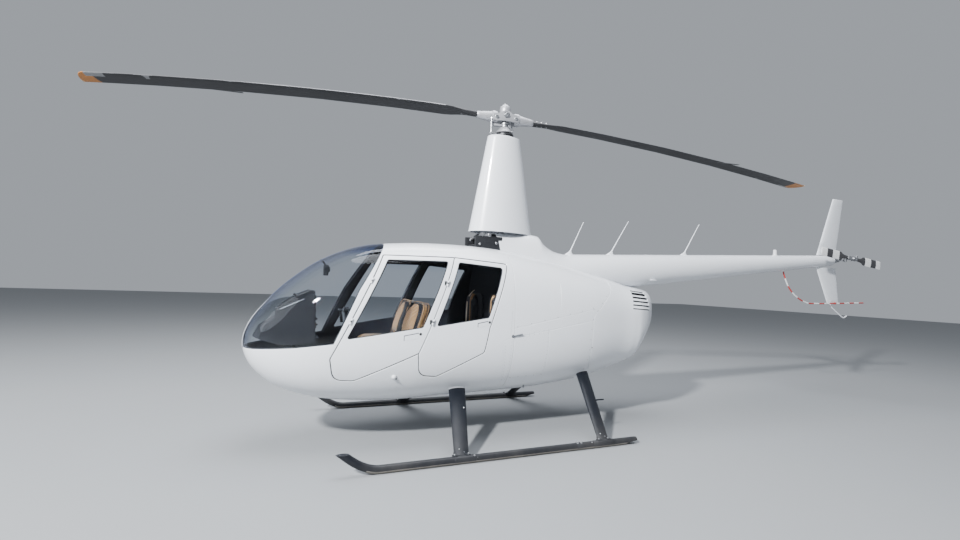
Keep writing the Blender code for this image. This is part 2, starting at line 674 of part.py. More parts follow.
def build_tail():
    """Tail cone, fins, stabiliser, gearbox, guard and the small fittings on the cone."""
    cone = cone_solid(0, name="tail_cone")
    boolean(cone, cone_solid(-CONE_WALL, CONE_FRONT_Y - 0.1, CONE_REAR_Y - 0.02))
    finished(cone)
    gearbox = tail_gearbox(0, "tail_gearbox")
    boolean(gearbox, cone_solid(SEAT_GAP))
    finished(gearbox)
    # columns: name, root front y, root rear y, root z, tip front y, tip rear y, tip z
    fins = (
        ("upper_fin", 5.440, 5.905, 2.157, 5.855, 6.113, 3.088),
        ("lower_fin", 5.425, 5.905, 1.965, 5.690, 5.972, 1.405),
    )
    for name, root_a, root_b, root_z, tip_a, tip_b, tip_z in fins:
        rings = []
        for front, rear, z, thickness in ((root_a, root_b, root_z, 0.046), (tip_a, tip_b, tip_z, 0.028)):
            middle, chord = (front + rear) / 2, rear - front
            rings.append([(up, middle - x, z) for x, up in aerofoil(chord, thickness)])
        fin = object_from(loft(rings), name)
        if name == "lower_fin":
            skid = [
                (0, 5.765, 1.45), (0, 5.785, 1.365), (0, 5.874, 1.302),
                (0, 6.069, 1.192), (0, 6.120, 1.188), (0, 6.180, 1.214),
            ]
            boolean(fin, swept(skid, 0.010), "UNION")
        boolean(fin, cone_solid(SEAT_GAP))
        boolean(fin, tail_gearbox(2 * SEAT_GAP))
        finished(fin)
    build_stabiliser()
    guard = [
        (0.0, 4.667, cone_centre(4.667) - cone_radius(4.667) - 0.011),
        (0.004, 4.700, 1.780), (0.010, 4.765, 1.650), (0.020, 4.870, 1.535),
        (0.030, 5.000, 1.455), (0.038, 5.130, 1.410), (0.042, 5.260, 1.397),
        (0.042, 5.700, 1.405), (0.042, 6.550, 1.430),
    ]
    tube = swept(guard, 0.011, 10, "tail_guard", "banded_tube")
    boolean(tube, rod((0.036, 5.83, 1.4205), (0.0150, 5.83, 1.4205), 0.012), "UNION")
    finished(tube)
    # columns: name, y of the foot, how far the tip leans aft, z of the tip
    whips = (
        ("antenna_front", 0.905, 0.19, 2.294),
        ("antenna_middle", 1.50, 0.27, 2.362),
        ("antenna_rear", 2.70, 0.27, 2.424),
    )
    for name, y, lean, tip_z in whips:
        foot = cone_centre(y) + cone_radius(y)
        start, end = (0, y, foot - 0.02), (0, y + 0.022, foot + 0.045)
        whip = rod(start, end, 0.055, 0.008, 12, name, "white_paint", 0.35)
        boolean(whip, rod((0, y + 0.018, foot + 0.03), (0, y + lean, tip_z), 0.008, 0.005, 8), "UNION")
        boolean(whip, cone_solid(SEAT_GAP))
        finished(whip)
    y = 4.49
    top = cone_centre(y) + cone_radius(y)
    beacon = rod((0, y, top - 0.03), (0, y, top + 0.085), 0.028, 0.024, 16, "tail_beacon", "white_paint")
    boolean(beacon, cone_solid(SEAT_GAP))
    finished(beacon)


def build_stabiliser():
    """The level tailplane, on the starboard side only."""
    rings = []
    for x, front, rear, thickness in ((-0.03, 5.20, 5.56, 0.030), (-0.86, 5.27, 5.55, 0.024)):
        middle, chord = (front + rear) / 2, rear - front
        z = cone_centre(5.4)
        rings.append([(x, middle - along, z + up) for along, up in aerofoil(chord, thickness)])
    plane = object_from(loft(rings), "stabiliser")
    boolean(plane, cone_solid(SEAT_GAP))
    finished(plane)


def build_tail_rotor():
    """Hub and two blades on the port side of the tail, turned to rest about X."""
    centre = Vector((TAIL_ROTOR_X, TAIL_ROTOR_Y, TAIL_ROTOR_Z))
    hub = rod((-TAIL_ROTOR_X + 0.1003, 0, 0), (0.045, 0, 0), 0.022, 0.022, 14, "tail_rotor_hub", "bare_metal")
    boolean(hub, slab((-0.025, -0.115, -0.028), (0.025, 0.115, 0.028)), "UNION")
    pieces = [hub]
    for name, end in (("tail_blade_a", -1), ("tail_blade_b", 1)):
        rings = []
        for radius, chord, thickness in (
            (0.1153, 0.055, 0.026),
            (0.20, 0.062, 0.022),
            (0.28, TAIL_ROTOR_CHORD, 0.018),
            (0.69, TAIL_ROTOR_CHORD, 0.015),
            (TAIL_ROTOR_RADIUS, TAIL_ROTOR_CHORD * 0.86, 0.010),
        ):
            rings.append([(up, end * radius, along) for along, up in aerofoil(chord, thickness)])
        pieces.append(object_from(loft(rings), name, "blade_paint"))
    for piece in pieces:
        finished(piece)
        piece.location = centre
        piece.rotation_euler.x = -TAIL_ROTOR_TURN


def build_gear():
    """Two skid tubes on four streamlined legs."""
    # columns: name, y and z where the leg leaves the body, y at the skid, half chord at each end
    legs = (("front", -0.600, 0.50, -0.755, 0.084, 0.062), ("rear", 0.850, 0.57, 0.690, 0.073, 0.058))
    for side_name, side in SIDES:
        path = [(side * SKID_X, SKID_REAR_Y, SKID_RADIUS)]
        path.append((side * SKID_X, SKID_BEND_Y, SKID_RADIUS))
        for t in (0.25, 0.5, 0.75, 1.0):
            y = SKID_BEND_Y + (SKID_TOE_Y - SKID_BEND_Y) * t
            z = SKID_RADIUS + (SKID_TOE_Z - SKID_RADIUS) * t**1.8
            path.append((side * SKID_X, y, z))
        skid = swept(path, SKID_RADIUS, 12, f"skid_{side_name}", "gear_paint")
        finished(skid)
        for place, top_y, top_z, foot_y, top_chord, foot_chord in legs:
            top = (side * 0.37, top_y + 0.02, top_z + 0.03)
            foot = (side * SKID_X, foot_y, SKID_RADIUS)
            leg = rod(top, foot, top_chord, foot_chord, 16, f"{place}_leg_{side_name}", "gear_paint")
            flatten_leg(leg, Vector(top), Vector(foot), 0.30)
            boolean(leg, skin_solid(-SEAT_GAP))
            straight = [
                (side * SKID_X, SKID_REAR_Y + 0.1, SKID_RADIUS),
                (side * SKID_X, SKID_BEND_Y, SKID_RADIUS),
            ]
            boolean(leg, swept(straight, SKID_RADIUS + SEAT_GAP, 12))
            low = (side * SKID_X - 0.1, foot_y - 0.2, -0.1)
            high = (side * SKID_X + 0.1, foot_y + 0.2, SKID_RADIUS)
            boolean(leg, slab(low, high))
            finished(leg)


def flatten_leg(leg, top, foot, share):
    """Squeezes a round leg across the flight direction into a streamlined one."""
    along = (foot - top).normalized()
    flow = Vector((0, 1, 0))
    across = along.cross(flow).normalized()
    for vert in leg.data.vertices:
        offset = (vert.co - top).dot(across)
        vert.co -= across * offset * (1 - share)


def build_inside():
    """Floor, rear bulkhead, seats, instrument console and the cyclic stick."""
    inner = WALL + SEAT_GAP
    floor = skin_solid(inner, "cabin_floor", "dark_trim")
    rear = CABIN_REAR_Y - 0.035
    boolean(floor, slab((-1, -2.12, FLOOR_Z - FLOOR_THICKNESS), (1, rear - SEAT_GAP, FLOOR_Z)), "INTERSECT")
    finished(floor)
    wall = skin_solid(inner, "rear_bulkhead", "dark_trim")
    boolean(wall, slab((-1, rear, 0.2), (1, rear + 0.025, 2.1)), "INTERSECT")
    finished(wall)
    base_top = 0.76
    bases = (
        ("front_seat_base", (-0.50, -1.37, FLOOR_Z + SEAT_GAP), (0.50, -0.98, base_top), inner + 0.03),
        ("rear_seat_base", (-0.55, -0.66, FLOOR_Z + SEAT_GAP), (0.55, rear - SEAT_GAP, 0.80), inner),
    )
    for name, low, high, depth in bases:
        base = slab(low, high, name, "dark_trim")
        boolean(base, skin_solid(depth), "INTERSECT")
        finished(base)
    build_seats(base_top, rear)
    build_console(inner)
    stick = rod((0, -1.42, FLOOR_Z - 0.02), (0, -1.50, 1.09), 0.022, 0.018, 10, "cyclic_stick", "dark_trim")
    boolean(stick, slab((-0.1, -1.6, FLOOR_Z - 0.1), (0.1, -1.3, FLOOR_Z + SEAT_GAP)))
    boolean(stick, rod((-0.26, -1.50, 1.09), (0.26, -1.50, 1.09), 0.014), "UNION")
    for end in (-1, 1):
        boolean(stick, rod((end * 0.26, -1.50, 1.10), (end * 0.27, -1.49, 0.97), 0.017), "UNION")
    finished(stick)


def build_console(inner):
    """The instrument console: a narrow foot under a wider box with a sloping hood."""
    foot = prism(CONSOLE_FOOT, -0.15, 0.15, "instrument_console", "dark_trim")
    boolean(foot, prism(CONSOLE_HEAD, -0.22, 0.22), "UNION")
    boolean(foot, skin_solid(inner + 0.015), "INTERSECT")
    finished(foot)


def build_seats(front_z, wall_y):
    """Two front seats and a rear bench in two halves, each a cushion and a back."""
    rear_z = 0.80
    bench_y = wall_y - 0.075
    # columns: name, inner and outer x, y of the front and rear at the foot, z of the foot,
    # y of the front and rear at the top, z of the top
    pads = (
        ("front_cushion", 0.050, 0.495, -1.440, -1.080, front_z, -1.440, -1.080, front_z + 0.14),
        ("front_back", 0.050, 0.495, -1.080, -0.990, front_z, -0.955, -0.865, 1.33),
        ("rear_cushion", 0.012, 0.520, -0.700, bench_y, rear_z, -0.700, bench_y, rear_z + 0.11),
        ("rear_back", 0.080, 0.520, bench_y, wall_y, rear_z, bench_y, wall_y, 1.42),
    )
    for name, inner, outer, front_y, rear_y, foot_z, top_front_y, top_rear_y, top_z in pads:
        corners = [(front_y, foot_z), (rear_y, foot_z), (top_rear_y, top_z), (top_front_y, top_z)]
        outline = grown(corners, -SEAT_GAP)
        for side_name, side in SIDES:
            x_range = sorted((side * inner, side * outer))
            finished(prism(outline, *x_range, f"{name}_{side_name}", "tan_leather"))


def build_engine():
    """The flat engine as one plain block, carried by the bulkhead's rear, and its exhaust."""
    rear_of_wall = CABIN_REAR_Y - 0.01
    block = slab((-0.34, 0.25, ENGINE_Z), (0.34, 0.90, 0.98), "engine_block", "cast_engine")
    boolean(block, slab((-0.12, rear_of_wall + SEAT_GAP, 0.66), (0.12, 0.27, 0.78)), "UNION")
    finished(block)
    finished(exhaust(0, "exhaust_pipe"))


clear_scene()
MATERIALS = make_materials()
AIRFRAME = bpy.data.objects.new("airframe", None)
AIRFRAME.location = (0, MAST_Y, 0)
bpy.context.collection.objects.link(AIRFRAME)
build_cabin_shell()
build_windscreen()
build_doors()
build_cowls()
build_deck()
build_mast()
build_main_rotor()
build_tail()
build_tail_rotor()
build_gear()
build_inside()
build_engine()
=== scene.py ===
# %% [markdown]
# # A light helicopter on skids
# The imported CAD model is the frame: it says where each sub-part is and what turns.
# This lesson dresses it. Big skins are drawn again from the same table of sections as the
# CAD has, only finer, and small fittings are added on top of them.
# Lengths are metres, +Z is up, the nose points to -Y and the port side is at +X.

import json
import math

import bmesh
import bpy
import numpy as np
from mathutils import Matrix, Vector, geometry
from mathutils.bvhtree import BVHTree

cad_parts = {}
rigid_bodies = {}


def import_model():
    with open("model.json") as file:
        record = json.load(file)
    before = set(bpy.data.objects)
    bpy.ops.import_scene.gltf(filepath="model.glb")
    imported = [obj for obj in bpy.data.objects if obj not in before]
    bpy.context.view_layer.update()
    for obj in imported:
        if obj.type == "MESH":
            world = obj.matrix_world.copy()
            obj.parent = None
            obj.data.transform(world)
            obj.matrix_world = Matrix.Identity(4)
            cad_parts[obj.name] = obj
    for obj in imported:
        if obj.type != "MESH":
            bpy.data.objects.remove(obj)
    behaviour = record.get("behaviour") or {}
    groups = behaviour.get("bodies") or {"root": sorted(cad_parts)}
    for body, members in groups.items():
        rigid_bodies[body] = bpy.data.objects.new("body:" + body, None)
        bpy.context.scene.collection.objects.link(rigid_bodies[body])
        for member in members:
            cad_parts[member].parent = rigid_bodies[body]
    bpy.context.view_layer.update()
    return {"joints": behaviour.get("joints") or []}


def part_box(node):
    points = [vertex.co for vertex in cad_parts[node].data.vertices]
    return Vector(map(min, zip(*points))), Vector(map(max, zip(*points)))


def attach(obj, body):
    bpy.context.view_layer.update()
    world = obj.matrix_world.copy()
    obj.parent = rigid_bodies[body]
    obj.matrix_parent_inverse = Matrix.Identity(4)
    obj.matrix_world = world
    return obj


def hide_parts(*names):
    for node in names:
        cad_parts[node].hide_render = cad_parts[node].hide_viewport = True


for left_over in list(bpy.data.objects):
    bpy.data.objects.remove(left_over, do_unlink=True)
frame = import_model()
joints = {joint["name"]: joint for joint in frame["joints"]}
MAST_Y = joints["main_rotor_spin"]["pos_m"][1]
print("The mast stands at y =", round(MAST_Y, 4))

# %% [markdown]
# ## Camera
# The picture was taken from the port side, a little ahead of the nose, at eye height with a
# wide lens. The angles and the focal length come from fitting known sizes to the picture, and
# a small shift stands for its off-centre crop.

# %% The camera
CAMERA_AT = Vector((5.146, -2.294 + MAST_Y, 1.512))
CAMERA_AZIMUTH = math.radians(65.384)
CAMERA_ELEVATION = math.radians(-4.036)
CAMERA_ROLL = math.radians(2.193)
PICTURE_WIDTH = 960
FOCAL_PIXELS = 504.805
CENTRE_RIGHT = 25.086
CENTRE_UP = -21.368


def camera_axes():
    """Right, up and back of the camera, with its roll."""
    across = Vector((math.sin(CAMERA_AZIMUTH), -math.cos(CAMERA_AZIMUTH), 0))
    back = across * math.cos(CAMERA_ELEVATION) + Vector((0, 0, math.sin(CAMERA_ELEVATION)))
    right = Vector((0, 0, 1)).cross(back).normalized()
    up = back.cross(right)
    cosine, sine = math.cos(CAMERA_ROLL), math.sin(CAMERA_ROLL)
    return right * cosine + up * sine, up * cosine - right * sine, back


def make_camera():
    data = bpy.data.cameras.new("picture_camera")
    data.sensor_width = 36.0
    data.lens = FOCAL_PIXELS / PICTURE_WIDTH * data.sensor_width
    data.shift_x = -CENTRE_RIGHT / PICTURE_WIDTH
    data.shift_y = CENTRE_UP / PICTURE_WIDTH
    camera = bpy.data.objects.new("picture_camera", data)
    bpy.context.collection.objects.link(camera)
    right, up, back = camera_axes()
    turn = Matrix((right, up, back)).transposed().to_4x4()
    camera.matrix_world = Matrix.Translation(CAMERA_AT) @ turn
    bpy.context.scene.camera = camera
    return camera


camera = make_camera()
print("Lens:", round(camera.data.lens, 2), "mm")

# %% [markdown]
# ## Studio
# A pale floor and a soft sky. A small key light stands high on the nose side, and its
# mirror image is the bright spot in the windscreen. A wide light hangs above, and a soft
# one stands ahead of the nose.

# %% Floor and lights
FLOOR_REACH = 40.0


def add_light(name, size, energy, at, aim, colour=(1, 1, 1)):
    data = bpy.data.lights.new(name, "AREA")
    data.shape = "DISK"
    data.size = size
    data.energy = energy
    data.color = colour
    light = bpy.data.objects.new(name, data)
    bpy.context.collection.objects.link(light)
    light.location = at
    light.rotation_euler = (Vector(aim) - Vector(at)).to_track_quat("-Z", "Y").to_euler()
    return light


def make_floor():
    mesh = bpy.data.meshes.new("studio_floor")
    reach = FLOOR_REACH
    mesh.from_pydata(
        [(-reach, -reach, 0), (reach, -reach, 0), (reach, reach, 0), (-reach, reach, 0)], [],
        [(0, 1, 2, 3)]
    )
    floor = bpy.data.objects.new("studio_floor", mesh)
    bpy.context.collection.objects.link(floor)
    return floor


floor = make_floor()
KEY_AIM = Vector((0.46, -3.21, 1.30))
KEY_DIRECTION = Vector((0.536, -0.626, 0.567))
KEY_DISTANCE = 14.0
SKY_COLOUR = (0.62, 0.66, 0.72, 1)
SKY_STRENGTH = 0.60
add_light("key_light", 1.1, 6800, KEY_AIM + KEY_DIRECTION * KEY_DISTANCE, (0, -0.5, 1.2), (0.97, 0.985, 1.0))
add_light("top_light", 9.0, 1400, (-1.0, -1.0, 10.0), (0, 0, 1.0), (0.92, 0.95, 1.0))
add_light("nose_light", 6.0, 260, (1.0, -13.0, 6.0), (0, -2.0, 1.2), (0.95, 0.97, 1.0))
world = bpy.data.worlds.new("soft_sky")
world.use_nodes = True
world.node_tree.nodes["Background"].inputs["Color"].default_value = SKY_COLOUR
world.node_tree.nodes["Background"].inputs["Strength"].default_value = SKY_STRENGTH
bpy.context.scene.world = world

# %% [markdown]
# ## Shader helpers
# A node tree is easier to read when each node is made in one line. `wire` makes a node, sets
# its inputs by name and links those that are given as another node's socket.

# %% Node helper
def wire(tree, kind, inputs=None, **settings):
    """A node of a kind. inputs maps a socket's name or number to a value or an output socket."""
    node = tree.nodes.new(kind)
    for name, value in settings.items():
        setattr(node, name, value)
    for name, value in (inputs or {}).items():
        socket = node.inputs[name]
        if isinstance(value, bpy.types.NodeSocket):
            tree.links.new(value, socket)
        else:
            socket.default_value = value
    return node


def new_group(name, inputs, outputs):
    """A shader node group with sockets given as (name, type, value)."""
    tree = bpy.data.node_groups.new(name, "ShaderNodeTree")
    for label, kind, value in inputs:
        socket = tree.interface.new_socket(label, in_out="INPUT", socket_type=kind)
        socket.default_value = value
    for label, kind in outputs:
        tree.interface.new_socket(label, in_out="OUTPUT", socket_type=kind)
    return tree, tree.nodes.new("NodeGroupInput"), tree.nodes.new("NodeGroupOutput")


def use_group(tree, group, inputs=None):
    node = tree.nodes.new("ShaderNodeGroup")
    node.node_tree = group
    for name, value in (inputs or {}).items():
        if isinstance(value, bpy.types.NodeSocket):
            tree.links.new(value, node.inputs[name])
        else:
            node.inputs[name].default_value = value
    return node


def math_node(tree, operation, first, second=None, clamp=False):
    inputs = {0: first}
    if second is not None:
        inputs[1] = second
    return wire(tree, "ShaderNodeMath", inputs, operation=operation, use_clamp=clamp).outputs[0]


def mix_colour(tree, factor, first, second):
    node = tree.nodes.new("ShaderNodeMix")
    node.data_type = "RGBA"
    for socket, value in ((node.inputs[0], factor), (node.inputs[6], first), (node.inputs[7], second)):
        if isinstance(value, bpy.types.NodeSocket):
            tree.links.new(value, socket)
        else:
            socket.default_value = value
    return node.outputs[2]


def colour(red, green, blue):
    return (red, green, blue, 1.0)


print("Helpers ready")

# %% [markdown]
# ## Effects that several finishes share
# Paint, metal and plastic all gather dust, show a fine grain and wear on their edges. Each of
# these is a group, built once, that puts out masks and heights and leaves the shader alone.

# %% Group: dust and streaks
def make_dust_group():
    """Mask of dust: more near the ground, broken up by noise, with faint upright streaks."""
    inputs = [
        ("Patch Scale", "NodeSocketFloat", 2.5),
        ("Low Z", "NodeSocketFloat", 0.1),
        ("High Z", "NodeSocketFloat", 1.2),
        ("Base Amount", "NodeSocketFloat", 0.15),
    ]
    tree, entry, leave = new_group(
        "dust_and_streaks", inputs, [("Dust", "NodeSocketFloat"), ("Tone", "NodeSocketFloat")]
    )
    place = wire(tree, "ShaderNodeTexCoord").outputs["Object"]
    height = wire(tree, "ShaderNodeSeparateXYZ", {0: place}).outputs["Z"]
    ramp = wire(tree, "ShaderNodeMapRange", {
        "Value": height, "From Min": entry.outputs["High Z"], "From Max": entry.outputs["Low Z"],
    }, clamp=True).outputs["Result"]
    patches = wire(tree, "ShaderNodeTexNoise", {
        "Vector": place, "Scale": entry.outputs["Patch Scale"], "Detail": 6.0, "Roughness": 0.62,
    }).outputs["Fac"]
    stretched = wire(tree, "ShaderNodeMapping", {"Vector": place, "Scale": (9.0, 9.0, 0.9)}).outputs["Vector"]
    streaks = wire(
        tree, "ShaderNodeTexNoise", {"Vector": stretched, "Scale": 2.2, "Detail": 4.0}
    ).outputs["Fac"]
    low = math_node(tree, "ADD", ramp, entry.outputs["Base Amount"])
    broken = math_node(tree, "MULTIPLY", low, math_node(tree, "POWER", patches, 2.0))
    streaked = math_node(tree, "MULTIPLY", broken, math_node(tree, "ADD", streaks, 0.6))
    tree.links.new(math_node(tree, "MULTIPLY", streaked, 2.0, True), leave.inputs["Dust"])
    tree.links.new(patches, leave.inputs["Tone"])
    return tree


DUST = make_dust_group()
print("Group:", DUST.name)

# %% Group: fine grain
def make_grain_group():
    """A height for bumps: two sizes of noise, one for waviness and one for the grain itself."""
    inputs = [
        ("Grain Scale", "NodeSocketFloat", 400.0),
        ("Wave Scale", "NodeSocketFloat", 3.0),
        ("Wave Share", "NodeSocketFloat", 0.5),
    ]
    tree, entry, leave = new_group(
        "fine_grain", inputs, [("Height", "NodeSocketFloat"), ("Speck", "NodeSocketFloat")]
    )
    place = wire(tree, "ShaderNodeTexCoord").outputs["Object"]
    grain = wire(
        tree, "ShaderNodeTexNoise",
        {"Vector": place, "Scale": entry.outputs["Grain Scale"], "Detail": 2.0}
    ).outputs["Fac"]
    wave = wire(
        tree, "ShaderNodeTexNoise", {"Vector": place, "Scale": entry.outputs["Wave Scale"], "Detail": 2.0}
    ).outputs["Fac"]
    waves = math_node(tree, "MULTIPLY", wave, entry.outputs["Wave Share"])
    tree.links.new(math_node(tree, "ADD", grain, waves), leave.inputs["Height"])
    tree.links.new(grain, leave.inputs["Speck"])
    return tree


GRAIN = make_grain_group()
print("Group:", GRAIN.name)

# %% Group: worn edges
def make_edge_group():
    """Mask of edges that hands and weather have rubbed, from how sharply the surface bends."""
    inputs = [("Reach", "NodeSocketFloat", 0.56), ("Break Up", "NodeSocketFloat", 40.0)]
    tree, entry, leave = new_group("worn_edges", inputs, [("Worn", "NodeSocketFloat")])
    bend = wire(tree, "ShaderNodeNewGeometry").outputs["Pointiness"]
    place = wire(tree, "ShaderNodeTexCoord").outputs["Object"]
    noise = wire(
        tree, "ShaderNodeTexNoise", {"Vector": place, "Scale": entry.outputs["Break Up"], "Detail": 4.0}
    ).outputs["Fac"]
    edge = wire(tree, "ShaderNodeMapRange", {
        "Value": bend, "From Min": entry.outputs["Reach"],
        "From Max": math_node(tree, "ADD", entry.outputs["Reach"], 0.06),
    }, clamp=True).outputs["Result"]
    tree.links.new(math_node(tree, "MULTIPLY", edge, noise, True), leave.inputs["Worn"])
    return tree


EDGES = make_edge_group()
print("Group:", EDGES.name)

# %% [markdown]
# ## Finishes
# Most surfaces are one of a few kinds: painted skin, painted steel, bare metal, moulded
# plastic. One function makes them all from a colour, a roughness and how much each shared
# effect shows, so the whole machine looks as if it has stood in the same weather.

# %% A finish from its values
def make_finish(name, base, rough, metal=0.0, dust=0.3, dust_colour=(0.45, 0.42, 0.37), bump=0.02,
                grain=400.0, wave=0.5, worn=0.0, worn_colour=(0.6, 0.6, 0.6), tone=0.06, coat=0.0,
                low=0.1, high=1.2,
                shine=0.5):
    """A Principled material with dust, grain, tone and edge wear laid over a base colour."""
    material = bpy.data.materials.new(name)
    material.use_nodes = True
    tree = material.node_tree
    shader = tree.nodes["Principled BSDF"]
    dusty = use_group(tree, DUST, {"Low Z": low, "High Z": high})
    grains = use_group(tree, GRAIN, {"Grain Scale": grain, "Wave Share": wave})
    darker = tuple(value * (1 - tone * 2.5) for value in base)
    body = mix_colour(tree, dusty.outputs["Tone"], colour(*darker), colour(*base))
    if worn:
        edges = use_group(tree, EDGES)
        amount = math_node(tree, "MULTIPLY", edges.outputs["Worn"], worn, True)
        body = mix_colour(tree, amount, body, colour(*worn_colour))
    settled = math_node(tree, "MULTIPLY", dusty.outputs["Dust"], dust, True)
    body = mix_colour(tree, settled, body, colour(*dust_colour))
    tree.links.new(body, shader.inputs["Base Color"])
    rougher = math_node(tree, "ADD", math_node(tree, "MULTIPLY", settled, 0.5), rough)
    speckled = math_node(
        tree, "ADD", rougher, math_node(tree, "MULTIPLY", grains.outputs["Speck"], 0.06), True
    )
    tree.links.new(speckled, shader.inputs["Roughness"])
    lift = wire(
        tree, "ShaderNodeBump", {"Height": grains.outputs["Height"], "Strength": bump, "Distance": 0.004}
    )
    tree.links.new(lift.outputs["Normal"], shader.inputs["Normal"])
    shader.inputs["Metallic"].default_value = metal
    shader.inputs["Specular IOR Level"].default_value = shine
    if coat:
        shader.inputs["Coat Weight"].default_value = coat
        shader.inputs["Coat Roughness"].default_value = 0.06
    return material


WHITE_PAINT = make_finish(
    "white_paint", (0.82, 0.845, 0.885), 0.24, bump=0.05, grain=260, wave=1.0, dust=0.22, tone=0.02,
    coat=0.5, low=0.3, high=1.0,
)
GEAR_PAINT = make_finish(
    "gear_paint", (0.004, 0.006, 0.011), 0.36, dust=0.07, bump=0.08, worn=0.35,
    worn_colour=(0.10, 0.105, 0.12), low=0.0, high=0.3, shine=0.3,
)
BLACK_PLASTIC = make_finish(
    "black_plastic", (0.008, 0.008, 0.009), 0.5, dust=0.03, bump=0.15, grain=900, shine=0.3
)
CABIN_LINING = make_finish(
    "cabin_lining", (0.014, 0.014, 0.017), 0.8, dust=0.02, bump=0.2, grain=700, shine=0.2
)
CARPET = make_finish("cabin_carpet", (0.012, 0.012, 0.014), 0.95, dust=0.04, bump=0.9, grain=1200, shine=0.1)
RUBBER = make_finish("seal_rubber", (0.007, 0.007, 0.008), 0.62, dust=0.05, bump=0.1, shine=0.3)
BARE_METAL = make_finish(
    "bare_metal", (0.42, 0.43, 0.45), 0.34, metal=0.9, dust=0.2, bump=0.12, grain=300, worn=0.4,
    worn_colour=(0.75, 0.75, 0.77), tone=0.12,
)
CAST_METAL = make_finish(
    "cast_metal", (0.10, 0.115, 0.14), 0.42, metal=0.55, dust=0.12, bump=0.25, grain=500, worn=0.6,
    worn_colour=(0.45, 0.46, 0.49), tone=0.15,
)
DARK_STEEL = make_finish(
    "dark_steel", (0.030, 0.032, 0.037), 0.38, metal=0.6, dust=0.06, bump=0.1, worn=0.6,
    worn_colour=(0.38, 0.38, 0.39), tone=0.15,
)
BRIGHT_STEEL = make_finish(
    "bright_steel", (0.62, 0.63, 0.65), 0.22, metal=1.0, dust=0.1, bump=0.04, tone=0.06
)
SOOTY_STEEL = make_finish(
    "sooty_steel", (0.14, 0.12, 0.105), 0.5, metal=0.8, dust=0.2, bump=0.2, worn=0.3,
    worn_colour=(0.4, 0.33, 0.26), tone=0.25,
)
floor.data.materials.append(make_finish(
    "studio_grey", (0.27, 0.28, 0.29), 0.7, dust=0.0, bump=0.02, grain=60, wave=0.2, tone=0.01, shine=0.2,
))
print("Finishes:", len(bpy.data.materials))

# %% [markdown]
# ## Making pieces
# Every piece is drawn in "mast coordinates", with y measured from the rotor's axis, because
# all sizes on such an aircraft are. `piece` moves the mesh back by MAST_Y, shades it and hangs
# it on its body. The object itself stays at the origin, so patterns keep their place.

# %% From a bmesh to a piece
def piece(bm, name, finishes, body="airframe", replaces=(), slot=None, sharp=35):
    """A finished object from a bmesh in mast coordinates, riding on a body."""
    bmesh.ops.translate(bm, verts=bm.verts, vec=(0, MAST_Y, 0))
    mesh = bpy.data.meshes.new(name)
    bm.to_mesh(mesh)
    bm.free()
    return dressed(mesh, name, finishes, body, replaces, slot, sharp)


def dressed(mesh, name, finishes, body="airframe", replaces=(), slot=None, sharp=35):
    for finish in finishes if isinstance(finishes, (list, tuple)) else [finishes]:
        mesh.materials.append(finish)
    obj = bpy.data.objects.new(name, mesh)
    bpy.context.collection.objects.link(obj)
    mesh.shade_smooth()
    mesh.set_sharp_from_angle(angle=math.radians(sharp))
    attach(obj, body)
    if replaces:
        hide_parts(*([replaces] if isinstance(replaces, str) else replaces))
    return obj


print("Piece maker ready")

# %% Basic forms
def joined(*parts):
    """One bmesh out of several, each used up."""
    whole = bmesh.new()
    for part in parts:
        mesh = bpy.data.meshes.new("joining")
        part.to_mesh(mesh)
        part.free()
        whole.from_mesh(mesh)
        bpy.data.meshes.remove(mesh)
    return whole


def loft(rings, closed=True, material=0):
    """A skin through rings of equal length. A ring of one repeated point becomes a pole."""
    bm = bmesh.new()
    rows = []
    for ring in rings:
        points = [Vector(p) for p in ring]
        if max((p - points[0]).length for p in points) < 1e-6:
            points = points[:1]
        rows.append([bm.verts.new(p) for p in points])
    for low, high in zip(rows, rows[1:]):
        for i in range(max(len(low), len(high))):
            j = i + 1
            corners = []
            for row, k in ((low, i), (low, j), (high, j), (high, i)):
                vert = row[k % len(row)]
                if vert not in corners:
                    corners.append(vert)
            if len(corners) > 2:
                bm.faces.new(corners)
    if closed:
        for row in (rows[0], rows[-1]):
            if len(row) > 2:
                bm.faces.new(row)
    bmesh.ops.recalc_face_normals(bm, faces=bm.faces)
    for face in bm.faces:
        face.material_index = material
    return bm


def frame_along(direction):
    """Two directions square to this one, the first as level as it can be."""
    direction = Vector(direction).normalized()
    side = direction.cross(Vector((0, 0, 1)))
    if side.length < 1e-3:
        side = Vector((1, 0, 0))
    side.normalize()
    return side, side.cross(direction).normalized()


def lathe(start, end, profile, sides=24, material=0, squash=1.0):
    """A turned form. profile lists (share of the way from start to end, radius)."""
    start, end = Vector(start), Vector(end)
    side, other = frame_along(end - start)
    rings = []
    for share, radius in profile:
        centre = start.lerp(end, share)
        turns = [2 * math.pi * i / sides for i in range(sides)]
        rings.append(
            [centre + side * math.cos(a) * radius + other * math.sin(a) * radius * squash for a in turns]
        )
    return loft(rings, material=material)


def rod(start, end, radius, end_radius=None, sides=16, edge=None, material=0):
    """A round bar with softened ends."""
    end_radius = radius if end_radius is None else end_radius
    length = (Vector(end) - Vector(start)).length
    soft = min(radius, end_radius) * 0.25 if edge is None else edge
    share = min(0.3, soft / length)
    profile = [
        (0, max(radius - soft, 1e-5)), (share, radius), (1 - share, end_radius),
        (1, max(end_radius - soft, 1e-5))
    ]
    return lathe(start, end, profile, sides, material)


